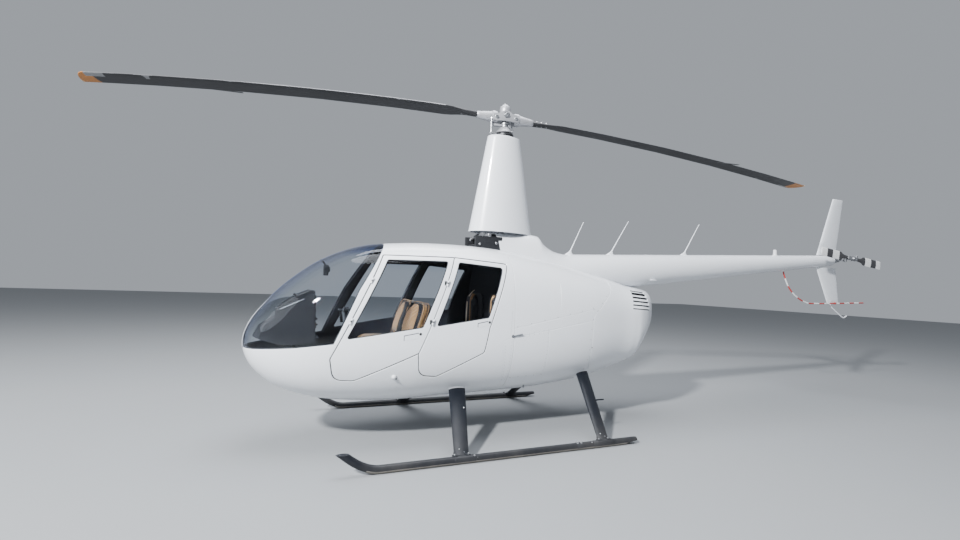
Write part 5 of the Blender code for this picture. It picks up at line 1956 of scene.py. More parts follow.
def skid_line(share):
    """A place on the bent-up toe, from the straight tube (0) to the tip (1), and its slope."""
    rise = SKID_TOE_Z - SKID_RADIUS
    y = SKID_BEND_Y + (SKID_TOE_Y - SKID_BEND_Y) * share
    slope = math.atan2(rise * 1.8 * share**0.8, SKID_BEND_Y - SKID_TOE_Y)
    return y, SKID_RADIUS + rise * share**1.8, slope


def skid_ring(x, y, z, slope, radius, low=1.0, sides=28):
    """A ring square to the tube. low flattens the underside towards the tapered rear end."""
    ring = []
    for i in range(sides):
        angle = 2 * math.pi * i / sides
        up = math.sin(angle) * radius
        up = up if up > 0 else up * low
        ring.append((x + math.cos(angle) * radius, y + up * math.sin(slope), z + up * math.cos(slope)))
    return ring


def skid_tube(x):
    """The tube: oblique rear end, straight run, bent toe cut off level."""
    rings = []
    for y, low in (
        (SKID_REAR_Y, 0.02), (1.066, -0.25), (1.045, 0.10), (1.01, 0.45), (0.975, 0.80), (0.95, 1.0)
    ):
        rings.append(skid_ring(x, y, SKID_RADIUS, 0.0, SKID_TUBE * (1.0 if y < 1.06 else 0.9), low))
    rings[0] = skid_ring(x, SKID_REAR_Y, SKID_RADIUS, 0.0, SKID_TUBE * 0.72, -0.30)
    rings += [skid_ring(x, y, SKID_RADIUS, 0.0, SKID_TUBE) for y in (0.5, 0.0, -0.5, -1.0, -1.3)]
    for share in np.linspace(0, 0.9, 10):
        rings.append(skid_ring(x, *skid_line(share), SKID_TUBE))
    last = rings[-1]
    level = SKID_TOE_Z + 0.004
    _, _, slope = skid_line(0.9)
    for drop, inset in ((0.0, 0.0), (-0.0015, 0.14)):
        cut = []
        for px, py, pz in last:
            reach = (level - pz) / math.tan(slope)
            cut.append((px + (x - px) * inset, py - reach, level + drop))
        rings.append(cut)
    return loft(rings)


def skid_shoe(x):
    """A half pipe under the tube, its front end following the bend."""
    stations = [(y, SKID_RADIUS, 0.0) for y in (0.945, 0.94, 0.4, -0.2, -0.8, -1.3)]
    stations += [skid_line(share) for share in (0.0, 0.12, 0.24, 0.34)]
    rings = []
    for k, (y, z, slope) in enumerate(stations):
        ring = []
        outer = SKID_RADIUS - (0.0008 if k in (0, len(stations) - 1) else 0.0)
        for radius, turns in ((outer, range(13)), (SKID_TUBE - 0.001, range(12, -1, -1))):
            for i in turns:
                angle = math.radians(-160 + 140 * i / 12)
                up = math.sin(angle) * radius
                ring.append(
                    (x + math.cos(angle) * radius, y + up * math.sin(slope), z + up * math.cos(slope))
                )
        rings.append(ring)
    return loft(rings)


def make_skids():
    for side_name, side in SIDES:
        x = side * SKID_X
        parts = [skid_tube(x)]
        # columns: y of a sleeve's two ends
        for start, end in ((-0.822, -0.632), (0.560, 0.800), (0.370, 0.440)):
            sleeve = [
                (0, SKID_TUBE), (0.012, SKID_RADIUS - 0.0003), (0.988, SKID_RADIUS - 0.0003),
                (1, SKID_TUBE)
            ]
            parts.append(lathe((x, start, SKID_RADIUS), (x, end, SKID_RADIUS), sleeve, 28))
        piece(
            joined(*parts), f"skid_{side_name}_tube", GEAR_PAINT, replaces=f"skid_{side_name}",
            slot="gear_paint"
        )
        piece(skid_shoe(x), f"skid_{side_name}_shoe", SHOE_STEEL, slot="steel")


SHOE_STEEL = make_finish(
    "shoe_steel", (0.20, 0.185, 0.17), 0.48, metal=0.8, dust=0.4, bump=0.4, grain=240,
    worn=0.8, worn_colour=(0.6, 0.57, 0.53), tone=0.2,
)
make_skids()
print("Skids made, rear end at", SKID_REAR_Y)

# %% Legs
# Columns: name, y and z where the leg leaves the body, y at the skid, half chord at each end
LEGS = (("front", -0.600, 0.50, -0.755, 0.084, 0.062), ("rear", 0.850, 0.57, 0.690, 0.073, 0.058))
SHEATH = 0.30


class Leg:
    """The axes and sizes of one leg, for its sheath, its cuff and its foot."""

    def __init__(self, row, side):
        self.name, top_y, top_z, foot_y, self.top_chord, self.foot_chord = row
        self.top = Vector((side * 0.37, top_y + 0.02, top_z + 0.03))
        self.foot = Vector((side * SKID_X, foot_y, SKID_RADIUS))
        self.along = (self.foot - self.top).normalized()
        self.flow = Vector((0, 1, 0)) - self.along * self.along.y
        self.flow.normalize()
        self.across = self.along.cross(self.flow)
        self.length = (self.foot - self.top).length

    def ring(self, share, grow=0.0, sides=40):
        """A streamlined section, blunt in front and finer behind."""
        centre = self.top.lerp(self.foot, share)
        half = self.top_chord + (self.foot_chord - self.top_chord) * share
        points = []
        for i in range(sides):
            angle = 2 * math.pi * i / sides
            back, out = -math.cos(angle), math.sin(angle)
            thin = half * SHEATH * (1 - 0.22 * back) + grow
            points.append(centre + self.flow * back * (half + grow) + self.across * out * thin)
        return points


def make_leg(leg, name):
    """The sheath down to the skid, its rear seam and the saddle round its foot."""
    end = 1 - 0.040 / leg.length
    sheath = loft([leg.ring(share) for share in (*np.linspace(0.0, end - 0.01, 14), end)])
    foot = leg.foot
    saddle = []
    for share, grow in (
        (end - 0.030, 0.0010), (end - 0.028, 0.0040), (end - 0.002, 0.0052), (end + 0.020, 0.0060)
    ):
        saddle.append(leg.ring(share, grow))
    rear_seam = [leg.ring(share, 0.0004)[20] for share in np.linspace(0.03, end, 12)]
    parts = [sheath, loft(saddle), pipe(rear_seam, 0.0026, 8)]
    for way in (-1, 1):
        y = foot.y + way * leg.foot_chord * 0.92
        low = Vector((foot.x - 0.030, y - 0.020, 0.052))
        high = Vector((foot.x + 0.010, y + 0.020, 0.074))
        parts.append(block(low, high, 0.004))
    piece(joined(*parts), f"{name}_sheath", GEAR_PAINT, replaces=name, slot="gear_paint")


def make_cuff(leg, name):
    """A white flange on the belly and a dark collar between it and the leg."""
    def swept_up(grow, lift):
        ring = []
        for point in leg.ring(0.45, grow):
            hit, _ = onto_skin(point, -leg.along)
            ring.append(hit + leg.along * lift)
        return ring

    flange = loft([
        swept_up(0.0130, -0.006), swept_up(0.0135, 0.004), swept_up(0.0120, 0.0065), swept_up(0.0065, 0.009),
        swept_up(0.0050, 0.009), swept_up(0.0045, -0.006),
    ])
    piece(flange, f"{name}_cuff", WHITE_PAINT, slot="white_paint")
    collar = loft([
        swept_up(0.0060, -0.004), swept_up(0.0058, 0.0150), swept_up(0.0040, 0.0170), swept_up(0.0003, 0.0172),
        swept_up(0.0003, -0.004),
    ])
    piece(collar, f"{name}_collar", RUBBER)


legs = [(Leg(row, side), f"{row[0]}_leg_{side_name}") for side_name, side in SIDES for row in LEGS]
for leg, name in legs:
    make_leg(leg, name)
    make_cuff(leg, name)
print("Legs:", [(name, round(leg.length, 3)) for leg, name in legs])

# %% Bolts, clamps and the step on the landing gear
def hex_bolt(at, out, size=0.008, height=0.006):
    """A bolt's washer, its six-sided head and the end of its thread."""
    at, out = Vector(at), Vector(out).normalized()
    parts = [
        lathe(
            at - out * 0.004, at + out * 0.0012, [(0, size * 1.35), (0.8, size * 1.35), (1, size * 1.2)],
            20
        )
    ]
    head = [(0, size), (0.75, size), (1, size * 0.82)]
    parts.append(lathe(at, at + out * height, head, 6))
    parts.append(
        lathe(
            at + out * height, at + out * (height + 0.003),
            [(0, size * 0.5), (0.7, size * 0.5), (1, size * 0.35)], 12
        )
    )
    return joined(*parts)


def make_gear_bolts():
    up = Vector((0, 0, 1))
    for side_name, side in SIDES:
        out = Vector((side, 0, 0.35))
        parts = [
            hex_bolt((side * 1.060, -0.813, 0.073), up), hex_bolt((side * 1.060, -0.690, 0.073), up),
            hex_bolt((side * 1.092, -0.646, 0.062), out, 0.006),
            hex_bolt((side * 1.098, -0.622, 0.048), out, 0.0045, 0.004),
            hex_bolt((side * 1.060, 0.637, 0.073), up), hex_bolt((side * 1.060, 0.743, 0.073), up),
            hex_bolt((side * 1.099, 0.583, 0.040), (side, 0, 0.1), 0.0045, 0.003),
            hex_bolt((side * 1.092, 0.540, 0.058), out, 0.005, 0.004),
            hex_bolt((side * 1.083, 0.386, 0.066), up, 0.008, 0.010),
            hex_bolt((side * 1.083, 0.425, 0.066), up, 0.008, 0.010),
        ]
        for leg, name in legs:
            if not name.endswith(side_name):
                continue
            for share, across in ((0.90, -0.02), (0.93, 0.02)):
                centre = leg.top.lerp(leg.foot, share)
                outward = leg.across * (1 if leg.across.x * side > 0 else -1)
                parts.append(hex_bolt(centre + leg.flow * across + outward * 0.0175, outward, 0.0045, 0.003))
        front = next(leg for leg, name in legs if name == f"front_leg_{side_name}")
        spot = front.top.lerp(front.foot, 0.37)
        outward = front.across * (1 if front.across.x * side > 0 else -1)
        parts.append(hex_bolt(spot + front.flow * 0.052 + outward * 0.0145, outward, 0.0055, 0.003))
        piece(joined(*parts), f"skid_{side_name}_bolts", BRIGHT_STEEL, slot="steel")
        rear = next(leg for leg, name in legs if name == f"rear_leg_{side_name}")
        start = rear.top.lerp(rear.foot, 0.44) + rear.flow * 0.060
        spur = pipe(
            smooth_path([start, start + Vector((0, 0.05, 0.002)), start + Vector((0, 0.105, 0.001))]),
            [0.008] * 12 + [0.005], 12
        )
        piece(spur, f"rear_leg_{side_name}_spur", GEAR_PAINT, slot="gear_paint")


make_gear_bolts()
print("Gear bolts made")

# %% [markdown]
# ## Main rotor
# Two metal-covered blades hang on a see-saw head. Each blade's spindle turns in a round
# housing, and a rod from the swashplate below tilts it. The head is machined from solid
# metal and left nearly bare, so it is built from its plates, pins and housings one by one.

# %% Main rotor places
ROTOR_RADIUS = 4.10
ROTOR_CHORD = 0.25
ROTOR_TURN = math.radians(-9.4)
ROTOR_TEETER = math.radians(2.2)
ROTOR_DROOP = 0.27
HUB_Z = 3.39
SWASH_Z = 3.205
SHAFT_RADIUS = 0.034


def on_main_rotor(bm):
    """From the rotor's own axes, blades along Y, to where it stands at rest."""
    bmesh.ops.rotate(bm, verts=bm.verts, cent=(0, 0, 0), matrix=Matrix.Rotation(ROTOR_TURN, 3, "Z"))
    return bm


def rise(end, radius):
    """How high the see-saw tilt carries this place above the head's middle."""
    return HUB_Z - end * radius * math.tan(ROTOR_TEETER)


def link_rod(low, high, radius=0.0075):
    """A control rod: a tube, its lock nuts and an eye with a bolt at each end."""
    low, high = Vector(low), Vector(high)
    ahead = (high - low).normalized()
    parts = [rod(low, high, radius, sides=14)]
    for at, way in ((low, 1), (high, -1)):
        parts.append(rod(at + ahead * way * 0.016, at + ahead * way * 0.024, radius * 1.5, sides=6))
        eye = [(0, 0.008), (0.2, 0.0125), (0.8, 0.0125), (1, 0.008)]
        parts.append(lathe(at - Vector((0.008, 0, 0)), at + Vector((0.008, 0, 0)), eye, 18))
        parts.append(rod(at - Vector((0.016, 0, 0)), at + Vector((0.016, 0, 0)), 0.0055, sides=6))
    return joined(*parts)


print("Rotor swings to", round(rise(-1, ROTOR_RADIUS) - ROTOR_DROOP, 3), "m at its higher tip")

# %% Shaft and swashplate
def make_shaft():
    shaft = lathe((0, 0, 2.078), (0, 0, HUB_Z - 0.0558), [
        (0, 0.030), (0.002, SHAFT_RADIUS), (0.93, SHAFT_RADIUS), (0.932, 0.044), (0.962, 0.044),
        (0.966, 0.039),
        (0.985, 0.039), (0.987, 0.050), (0.998, 0.050), (1.0, 0.047),
    ], 40)
    piece(on_main_rotor(shaft), "rotor_shaft", BARE_METAL, "main_rotor", "rotor_mast", "bare_metal")


def make_swashplate():
    """A tilting plate, the pale bell above it and the eyes that the blade rods stand on."""
    plate = lathe((0, 0, SWASH_Z - 0.095), (0, 0, SWASH_Z), [
        (0, 0.054), (0.04, 0.061), (0.62, 0.061), (0.66, 0.078), (0.70, 0.100), (0.74, 0.104), (0.93, 0.104),
        (0.97, 0.100), (1.0, 0.080),
    ], 40)
    parts = [plate]
    for k in range(4):
        angle = math.pi / 2 * k + 0.5
        out = Vector((math.cos(angle), math.sin(angle), 0))
        parts.append(
            rod(
                out * 0.060 + Vector((0, 0, SWASH_Z - 0.055)),
                out * 0.092 + Vector((0, 0, SWASH_Z + 0.012)), 0.008
            )
        )
    piece(
        on_main_rotor(joined(*parts)), "swashplate_ring", DARK_STEEL, "main_rotor", "swashplate",
        "bare_metal"
    )
    bell = lathe((0, 0, SWASH_Z + 0.012), (0, 0, SWASH_Z + 0.082), [
        (0, 0.088), (0.02, 0.096), (0.10, 0.097), (0.16, 0.094), (0.30, 0.088), (0.60, 0.072), (0.86, 0.057),
        (0.97, 0.050), (1.0, 0.036),
    ], 48)
    eyes = []
    for x, y in ((0.05, -0.168), (-0.05, 0.098)):
        out = Vector((x, y, 0)).normalized()
        eyes.append(
            block((x - 0.011, y - 0.016, SWASH_Z - 0.022), (x + 0.011, y + 0.016, SWASH_Z - 0.004), 0.003)
        )
        eyes.append(
            rod(out * 0.080 + Vector((0, 0, SWASH_Z - 0.013)), Vector((x, y, SWASH_Z - 0.013)), 0.009)
        )
    piece(on_main_rotor(joined(bell, *eyes)), "swashplate_bell", SATIN_METAL, "main_rotor", slot="bare_metal")


SATIN_METAL = make_finish(
    "satin_metal", (0.46, 0.465, 0.49), 0.38, metal=0.55, dust=0.15, bump=0.10, grain=420,
    worn=0.5, worn_colour=(0.72, 0.72, 0.74), tone=0.10,
)
make_shaft()
make_swashplate()
print("Shaft and swashplate made")

# %% Rotor head
def make_cheeks():
    """The two side plates of the hub, with lightening holes filled by pin heads."""
    outline = [
        (-0.158, -0.018), (-0.146, -0.040), (-0.120, -0.050), (-0.055, -0.044), (0.055, -0.044),
        (0.120, -0.050),
        (0.146, -0.040), (0.158, -0.018), (0.156, 0.016), (0.135, 0.036), (0.100, 0.040), (0.070, 0.044),
        (0.042, 0.068), (0.020, 0.078), (-0.020, 0.078), (-0.042, 0.068), (-0.070, 0.044), (-0.100, 0.040),
        (-0.135, 0.036), (-0.156, 0.016),
    ]
    outline = [(y, HUB_Z + up) for y, up in outline]
    plates = [prism(outline, *sorted((side * 0.047, side * 0.068)), bevel=0.004) for _, side in SIDES]
    web = prism([(y * 0.62, HUB_Z + (z - HUB_Z) * 0.9) for y, z in outline], -0.048, 0.048, bevel=0.003)
    return [*plates, web]


def make_pins():
    """Bolts across the head: the see-saw's in the middle and one for each blade's fold."""
    parts = []
    # columns: y, height above the middle, radius, half length
    for y, up, radius, half in (
        (0.0, 0.028, 0.026, 0.100), (-0.112, -0.006, 0.022, 0.088), (0.112, -0.006, 0.022, 0.088)
    ):
        middle = Vector((0, y, HUB_Z + up))
        profile = [(0, radius * 0.7), (0.02, radius), (0.98, radius), (1, radius * 0.7)]
        parts.append(
            lathe(middle - Vector((half * 0.86, 0, 0)), middle + Vector((half * 0.86, 0, 0)), profile, 32)
        )
        for way in (-1, 1):
            outer = middle + Vector((way * half * 0.80, 0, 0))
            parts.append(
                lathe(
                    outer, middle + Vector((way * half, 0, 0)),
                    [(0, radius * 0.80), (0.8, radius * 0.80), (1, radius * 0.66)], 6
                )
            )
            parts.append(lathe(middle + Vector(
                (way * half * 0.70, 0, 0)
            ), middle + Vector((way * half * 0.76, 0, 0)),
                               [
                                   (0, radius * 1.25), (0.3, radius * 1.36), (0.8, radius * 1.36),
                                   (1, radius * 1.2)
                               ], 32))
    return parts


def make_housing(end):
    """One blade's fork, bearing housing, tapering grip and pitch arm."""
    def at(radius, x=0.0, up=0.0):
        return Vector((x, end * radius, rise(end, radius) + up))

    parts = [
        lathe(
            at(0.092), at(0.162),
            [(0, 0.052), (0.08, 0.066), (0.30, 0.072), (0.86, 0.072), (0.95, 0.066), (1, 0.05)], 40
        ),
        lathe(
            at(0.150), at(0.334),
            [(0, 0.058), (0.10, 0.060), (0.45, 0.050), (0.80, 0.041), (0.97, 0.037), (1, 0.032)], 36
        ),
    ]
    for side in (-1, 1):
        parts.append(
            block(at(0.074, side * 0.026 - 0.009, -0.040), at(0.130, side * 0.026 + 0.009, 0.040), 0.004)
        )
    for k in range(8):
        angle = math.pi / 4 * k + 0.2
        spot = Vector((0.058 * math.cos(angle), 0, 0.058 * math.sin(angle)))
        parts.append(rod(at(0.158) + spot, at(0.168) + spot, 0.0055, sides=6))
    horn = Vector((0.05, -0.168, HUB_Z + 0.004)) if end < 0 else Vector((-0.05, 0.098, HUB_Z + 0.028))
    parts.append(rod(at(0.130, horn.x * 0.6, 0.0), horn + Vector((0, 0, -0.004)), 0.017, 0.012))
    return parts


def make_head():
    parts = make_cheeks() + make_housing(-1) + make_housing(1)
    dome = lathe((0, 0, HUB_Z + 0.045), (0, 0, HUB_Z + 0.172), [
        (0, 0.050), (0.06, 0.060), (0.32, 0.063), (0.52, 0.061), (0.70, 0.052), (0.83, 0.037), (0.90, 0.026),
        (0.91, 0.016), (0.99, 0.015), (1, 0.011),
    ], 40)
    parts.append(dome)
    for k in range(8):
        angle = math.pi / 4 * k
        out = Vector((math.cos(angle), math.sin(angle), 0))
        start = Vector((0, 0, HUB_Z + 0.118)) + out * 0.046
        parts.append(rod(start, start + out * 0.008 + Vector((0, 0, 0.016)), 0.0065, sides=6))
    parts.append(block((-0.024, -0.150, SWASH_Z + 0.088), (0.024, 0.030, SWASH_Z + 0.112), 0.005))
    piece(on_main_rotor(joined(*parts)), "rotor_head", SATIN_METAL, "main_rotor", "rotor_hub", "bare_metal")
    rods = [
        *make_pins(),
        link_rod((0.05, -0.168, SWASH_Z - 0.010), (0.05, -0.168, HUB_Z - 0.004)),
        link_rod((-0.05, 0.098, SWASH_Z - 0.010), (-0.05, 0.098, HUB_Z + 0.024)),
        link_rod((0.02, 0.012, SWASH_Z + 0.105), (0.02, 0.012, HUB_Z - 0.012), 0.009),
        rod((0.060, 0.030, SWASH_Z + 0.095), (0.060, 0.078, SWASH_Z + 0.040), 0.007),
        rod((0.060, 0.078, SWASH_Z + 0.040), (0.060, 0.055, SWASH_Z - 0.020), 0.007),
        rod((0.048, 0.078, SWASH_Z + 0.040), (0.072, 0.078, SWASH_Z + 0.040), 0.009, sides=6),
    ]
    piece(on_main_rotor(joined(*rods)), "rotor_rods", BRIGHT_STEEL, "main_rotor", slot="steel")


make_head()
print("Rotor head made")

# %% Main blades
# Columns: distance from the mast, chord, thickness
BLADE_STATIONS = (
    (0.3353, 0.086, 0.060), (0.360, 0.096, 0.060), (0.420, 0.112, 0.052), (0.470, 0.124, 0.045),
    (0.540, 0.170, 0.036),
    (0.610, 0.222, 0.031), (0.6765, 0.250, 0.030), (1.2, 0.250, 0.030), (2.0, 0.250, 0.0295),
    (2.8, 0.250, 0.0285),
    (3.5, 0.250, 0.0270), (3.90, 0.250, 0.0262), (4.00, 0.250, 0.0260),
)
TIP_START = 4.005


def blade_ring(end, radius, chord, thickness, lead=1.0):
    """A section, pitched up most near the root. lead below 1 draws the leading edge back."""
    pitch = math.radians(6.0 - 5.0 * radius / ROTOR_RADIUS)
    middle = rise(end, radius) - ROTOR_DROOP * (radius / ROTOR_RADIUS) ** 2
    ring = []
    for along, up in aerofoil(chord, thickness, 36):
        along = -chord / 2 + (along + chord / 2) * lead
        x = along * math.cos(pitch) - up * math.sin(pitch)
        z = along * math.sin(pitch) + up * math.cos(pitch)
        ring.append((-end * x, end * radius, middle + z))
    return ring


def make_main_blades():
    """Blades with their swept tips, root bolts and a trim tab on each trailing edge."""
    for name, end in (("main_blade_a", -1), ("main_blade_b", 1)):
        rings = [blade_ring(end, *row) for row in BLADE_STATIONS]
        for share in (0.0, 0.25, 0.45, 0.62, 0.76, 0.87, 0.94, 0.98, 1.0):
            lead = 0.10 + 0.90 * math.sqrt(max(0.0, 1 - share * share))
            radius = TIP_START + (ROTOR_RADIUS - TIP_START) * share
            rings.append(blade_ring(end, radius, ROTOR_CHORD, 0.026 - 0.012 * share**3, lead))
        blade = loft(rings)
        tab_z = rise(end, 2.9) - ROTOR_DROOP * (2.9 / ROTOR_RADIUS) ** 2 - 0.0055
        tab_x = end * 0.128
        tab = block(
            (tab_x - 0.020, end * 2.9 - 0.16, tab_z - 0.0007),
            (tab_x + 0.012, end * 2.9 + 0.16, tab_z + 0.0007), 0.0
        )
        piece(
            on_main_rotor(joined(blade, tab)), f"{name}_skin", MAIN_BLADE_PAINT, "main_rotor", name,
            "blade_paint", 40
        )
        bolts = []
        for radius in (0.385, 0.440, 0.500):
            for way in (-1, 1):
                spot = Vector((0, end * radius, rise(end, radius)))
                bolts.append(hex_bolt(spot + Vector((0, 0, way * 0.0235)), (0, 0, way), 0.009, 0.008))
        edge = []
        for low, high in ((0.70, 2.35), (2.352, TIP_START)):
            strip = []
            for radius in np.linspace(low, high, 10):
                thick = 0.0304 - 0.0040 * radius / ROTOR_RADIUS
                outer = blade_ring(end, radius, ROTOR_CHORD * 1.002, thick)
                inner = blade_ring(end, radius, ROTOR_CHORD * 0.990, thick - 0.004)
                strip.append(
                    [outer[i % 36] for i in range(-6, 7)] + [inner[i % 36] for i in range(6, -7, -1)]
                )
            edge.append(loft(strip))
        piece(on_main_rotor(joined(*bolts, *edge)), f"{name}_edge", EDGE_STEEL, "main_rotor", slot="steel")


EDGE_STEEL = make_finish(
    "edge_steel", (0.30, 0.30, 0.31), 0.36, metal=0.8, dust=0.1, bump=0.06, worn=0.5,
    worn_colour=(0.6, 0.6, 0.6), tone=0.12,
)
TIP_ORANGE, TIP_CREAM = (0.42, 0.17, 0.045), (0.62, 0.45, 0.28)
MAIN_BLADE_PAINT = banded_paint(
    "main_blade_paint", (0.030, 0.030, 0.033), (0.0, MAST_Y, 0.0), (1.0, 1.0, 0.0),
    ((3.935, TIP_ORANGE, 0.95), (4.088, TIP_CREAM, 0.95)),
    rough=0.42, dust=0.05, bump=0.05, worn=0.35, worn_colour=(0.25, 0.25, 0.26), tone=0.15, low=0.0,
    high=0.5, shine=0.3,
)
make_main_blades()
print("Main blades made")

# %% [markdown]
# ## Inside the cabin
# Four seats, an instrument console and one control column with a cross bar show through the
# glass. The seat pads are stuffed covers, so each starts as a slim closed form that the cloth
# solver blows up a little. Their edge cords are laid on afterwards, along the drawn outline of the front
# backs.

# %% Finishes for the cabin
TAN_LEATHER = make_finish(
    "tan_leather", (0.27, 0.130, 0.036), 0.55, dust=0.02, bump=0.45, grain=420, worn=0.25,
    worn_colour=(0.38, 0.21, 0.085), tone=0.12, low=0.6, high=1.2,
)
TAN_LEATHER.node_tree.nodes["Principled BSDF"].inputs["Sheen Weight"].default_value = 0.25
BLACK_VINYL = make_finish(
    "black_vinyl", (0.008, 0.008, 0.010), 0.6, dust=0.02, bump=0.35, grain=600, shine=0.3
)
DIAL_FACE = make_finish("dial_face", (0.012, 0.012, 0.013), 0.45, dust=0.05, bump=0.02)
DIAL_MARK = make_finish("dial_mark", (0.75, 0.74, 0.68), 0.5, dust=0.05, bump=0.02)
print("Cabin finishes ready")

# %% Blowing up a pad
def plain_copy(obj, name):
    """The mesh an object has once its modifiers are applied."""
    graph = bpy.context.evaluated_depsgraph_get()
    graph.update()
    mesh = bpy.data.meshes.new_from_object(obj.evaluated_get(graph), depsgraph=graph)
    mesh.name = name
    return mesh


def points_of(mesh):
    flat = np.empty(len(mesh.vertices) * 3, dtype=np.float32)
    mesh.vertices.foreach_get("co", flat)
    return flat.reshape(-1, 3).astype(float)


def puffed(bm, name, rest, voxel=0.008, cap=0.022):
    """A closed form swollen by pressure. rest(points) tells which points lie on something."""
    mesh = bpy.data.meshes.new(name)
    bm.to_mesh(mesh)
    bm.free()
    obj = bpy.data.objects.new(name, mesh)
    bpy.context.collection.objects.link(obj)
    remesh = obj.modifiers.new("Even cells", "REMESH")
    remesh.mode = "VOXEL"
    remesh.voxel_size = voxel
    obj.data = plain_copy(obj, name)
    obj.modifiers.clear()
    start = points_of(obj.data)
    held = rest(start)
    group = obj.vertex_groups.new(name="held")
    group.add([int(i) for i in np.flatnonzero(held)], 1.0, "REPLACE")
    cloth = obj.modifiers.new("Stuffing", "CLOTH")
    settings = cloth.settings
    settings.quality = 4
    settings.mass = 0.3
    settings.tension_stiffness = 12
    settings.compression_stiffness = 12
    settings.bending_stiffness = 0.4
    settings.use_pressure = True
    settings.uniform_pressure_force = 4
    settings.effector_weights.gravity = 0
    settings.vertex_group_mass = "held"
    cloth.point_cache.frame_start, cloth.point_cache.frame_end = 1, 20
    for step in range(1, 21):
        bpy.context.scene.frame_set(step)
    ended = points_of(plain_copy(obj, name))
    obj.modifiers.clear()
    bpy.context.scene.frame_set(1)
    moved = ended - start
    reach = np.linalg.norm(moved, axis=1)
    moved *= (np.minimum(reach, cap) / np.maximum(reach, 1e-9))[:, None]
    obj.data.vertices.foreach_set("co", (start + moved).astype(np.float32).ravel())
    finer = obj.modifiers.new("Finer", "SUBSURF")
    finer.levels = finer.render_levels = 1
    result = plain_copy(obj, name)
    bpy.data.objects.remove(obj, do_unlink=True)
    print(name, "swells by", round(float(np.minimum(reach, cap).max()), 4), "m")
    return result


print("Pad tools ready")

# %% Pads of a seat
def pillow(outline, near, far, place, soft=0.012):
    """A slab between two depths with softened edges. outline lists (across, along)."""
    rings = []
    for depth, inset in (
        (near, soft), (near + soft * 0.3, soft * 0.4), (near + soft, 0), (far - soft, 0), (far, soft)
    ):
        ring = grown([(a, b) for a, b in outline], -inset) if inset else outline
        rings.append([place(a, b, depth) for a, b in ring])
    return loft(rings)


BACK_FOOT = Vector((0, -1.083, 0.764))
BACK_UP = Vector((0, 0.2142, 0.9768))
BACK_AHEAD = Vector((0, -0.9768, 0.2142))
# Columns: how far up the back, how far the pad's front stands out there
BULGE = ((0.18, 0.046), (0.28, 0.056), (0.33, 0.050), (0.385, 0.042), (0.50, 0.026), (0.56, 0.014))


def on_front_back(across, along, depth):
    return BACK_FOOT + Vector((across, 0, 0)) + BACK_UP * along - BACK_AHEAD * depth


def on_bulge(across, along, depth):
    """Like on_front_back, with the front of the pad rounded out where a back needs it most."""
    out = float(np.interp(along, *zip(*BULGE)))
    return on_front_back(across, along, depth * out / 0.04 if depth < 0 else depth)


def leaning(first, second):
    """Places on the back's hard shell, whose two faces lean a little more than the pad."""
    def place(across, along, share):
        front = first - 0.034 + 0.060 * along
        back = second + 0.004 + 0.100 * along
        return on_front_back(across, along, front + (back - front) * share)
    return place


def lying(across, along, depth):
    """For cushions: along runs aft and depth runs down from the top."""
    return Vector((across, along, -depth))


def upright(across, along, depth):
    return Vector((across, depth, along))


def rounded_box(low, high, low_round, high_round):
    """A rounded rectangle from (across, along) corners, its far end rounder if asked."""
    (x0, y0), (x1, y1) = low, high
    return rounded(((x0, y0, low_round), (x1, y0, low_round), (x1, y1, high_round), (x0, y1, high_round)), 9)


def nowhere(points):
    return np.zeros(len(points), bool)


def make_pads():
    """Each pad once, for the port side; the other side gets its mirror image."""
    back = rounded(
        ((0.040, 0.185, 0.08), (0.372, 0.185, 0.08), (0.372, 0.540, 0.15), (0.040, 0.540, 0.14)), 9
    )
    roll = rounded(
        ((0.052, 0.000, 0.03), (0.482, 0.000, 0.03), (0.482, 0.552, 0.12), (0.052, 0.552, 0.14)), 9
    )
    seat = rounded_box((0.062, -1.440), (0.484, -1.090), 0.06, 0.02)
    bench = rounded_box((0.022, -0.690), (0.512, -0.212), 0.05, 0.02)
    rear = rounded(
        ((0.185, 0.930, 0.03), (0.500, 0.930, 0.03), (0.500, 1.390, 0.07), (0.185, 1.390, 0.17)), 9
    )

    def behind(depth):
        return lambda points: (points - np.array(BACK_FOOT)) @ np.array(-BACK_AHEAD) > depth

    pads = {
        "front_back": [
            puffed(pillow(back, -0.036, 0.012, on_bulge), "front pad", behind(0.004), 0.007, 0.022),
            puffed(pillow(roll, 0.14, 0.86, leaning(0, 0), 0.06), "edge roll", nowhere, 0.007, 0.008),
        ],
        "front_cushion": [
            puffed(
                pillow(seat, -0.905, -0.765, lying, 0.02), "seat pad", lambda p: p[:, 2] < 0.775, 0.009,
                0.026
            ),
        ],
        "rear_cushion": [
            puffed(
                pillow(bench, -0.892, -0.803, lying, 0.02), "bench pad", lambda p: p[:, 2] < 0.812, 0.010,
                0.024
            ),
        ],
        "rear_back": [
            puffed(
                pillow(rear, -0.190, -0.152, upright, 0.012), "rear pad", lambda p: p[:, 1] > -0.158,
                0.009, 0.022
            ),
        ],
    }
    return pads


def make_seats():
    for node, meshes in make_pads().items():
        whole = bmesh.new()
        for mesh in meshes:
            whole.from_mesh(mesh)
            bpy.data.meshes.remove(mesh)
        other = mirrored(whole)
        for side_name, bm in (("port", whole), ("starboard", other)):
            finish = BLACK_VINYL if node == "rear_back" else TAN_LEATHER
            made = piece(
                bm, f"{node}_{side_name}_pad", finish, replaces=f"{node}_{side_name}", slot="tan_leather",
                sharp=180
            )


make_seats()
print("Seats padded")

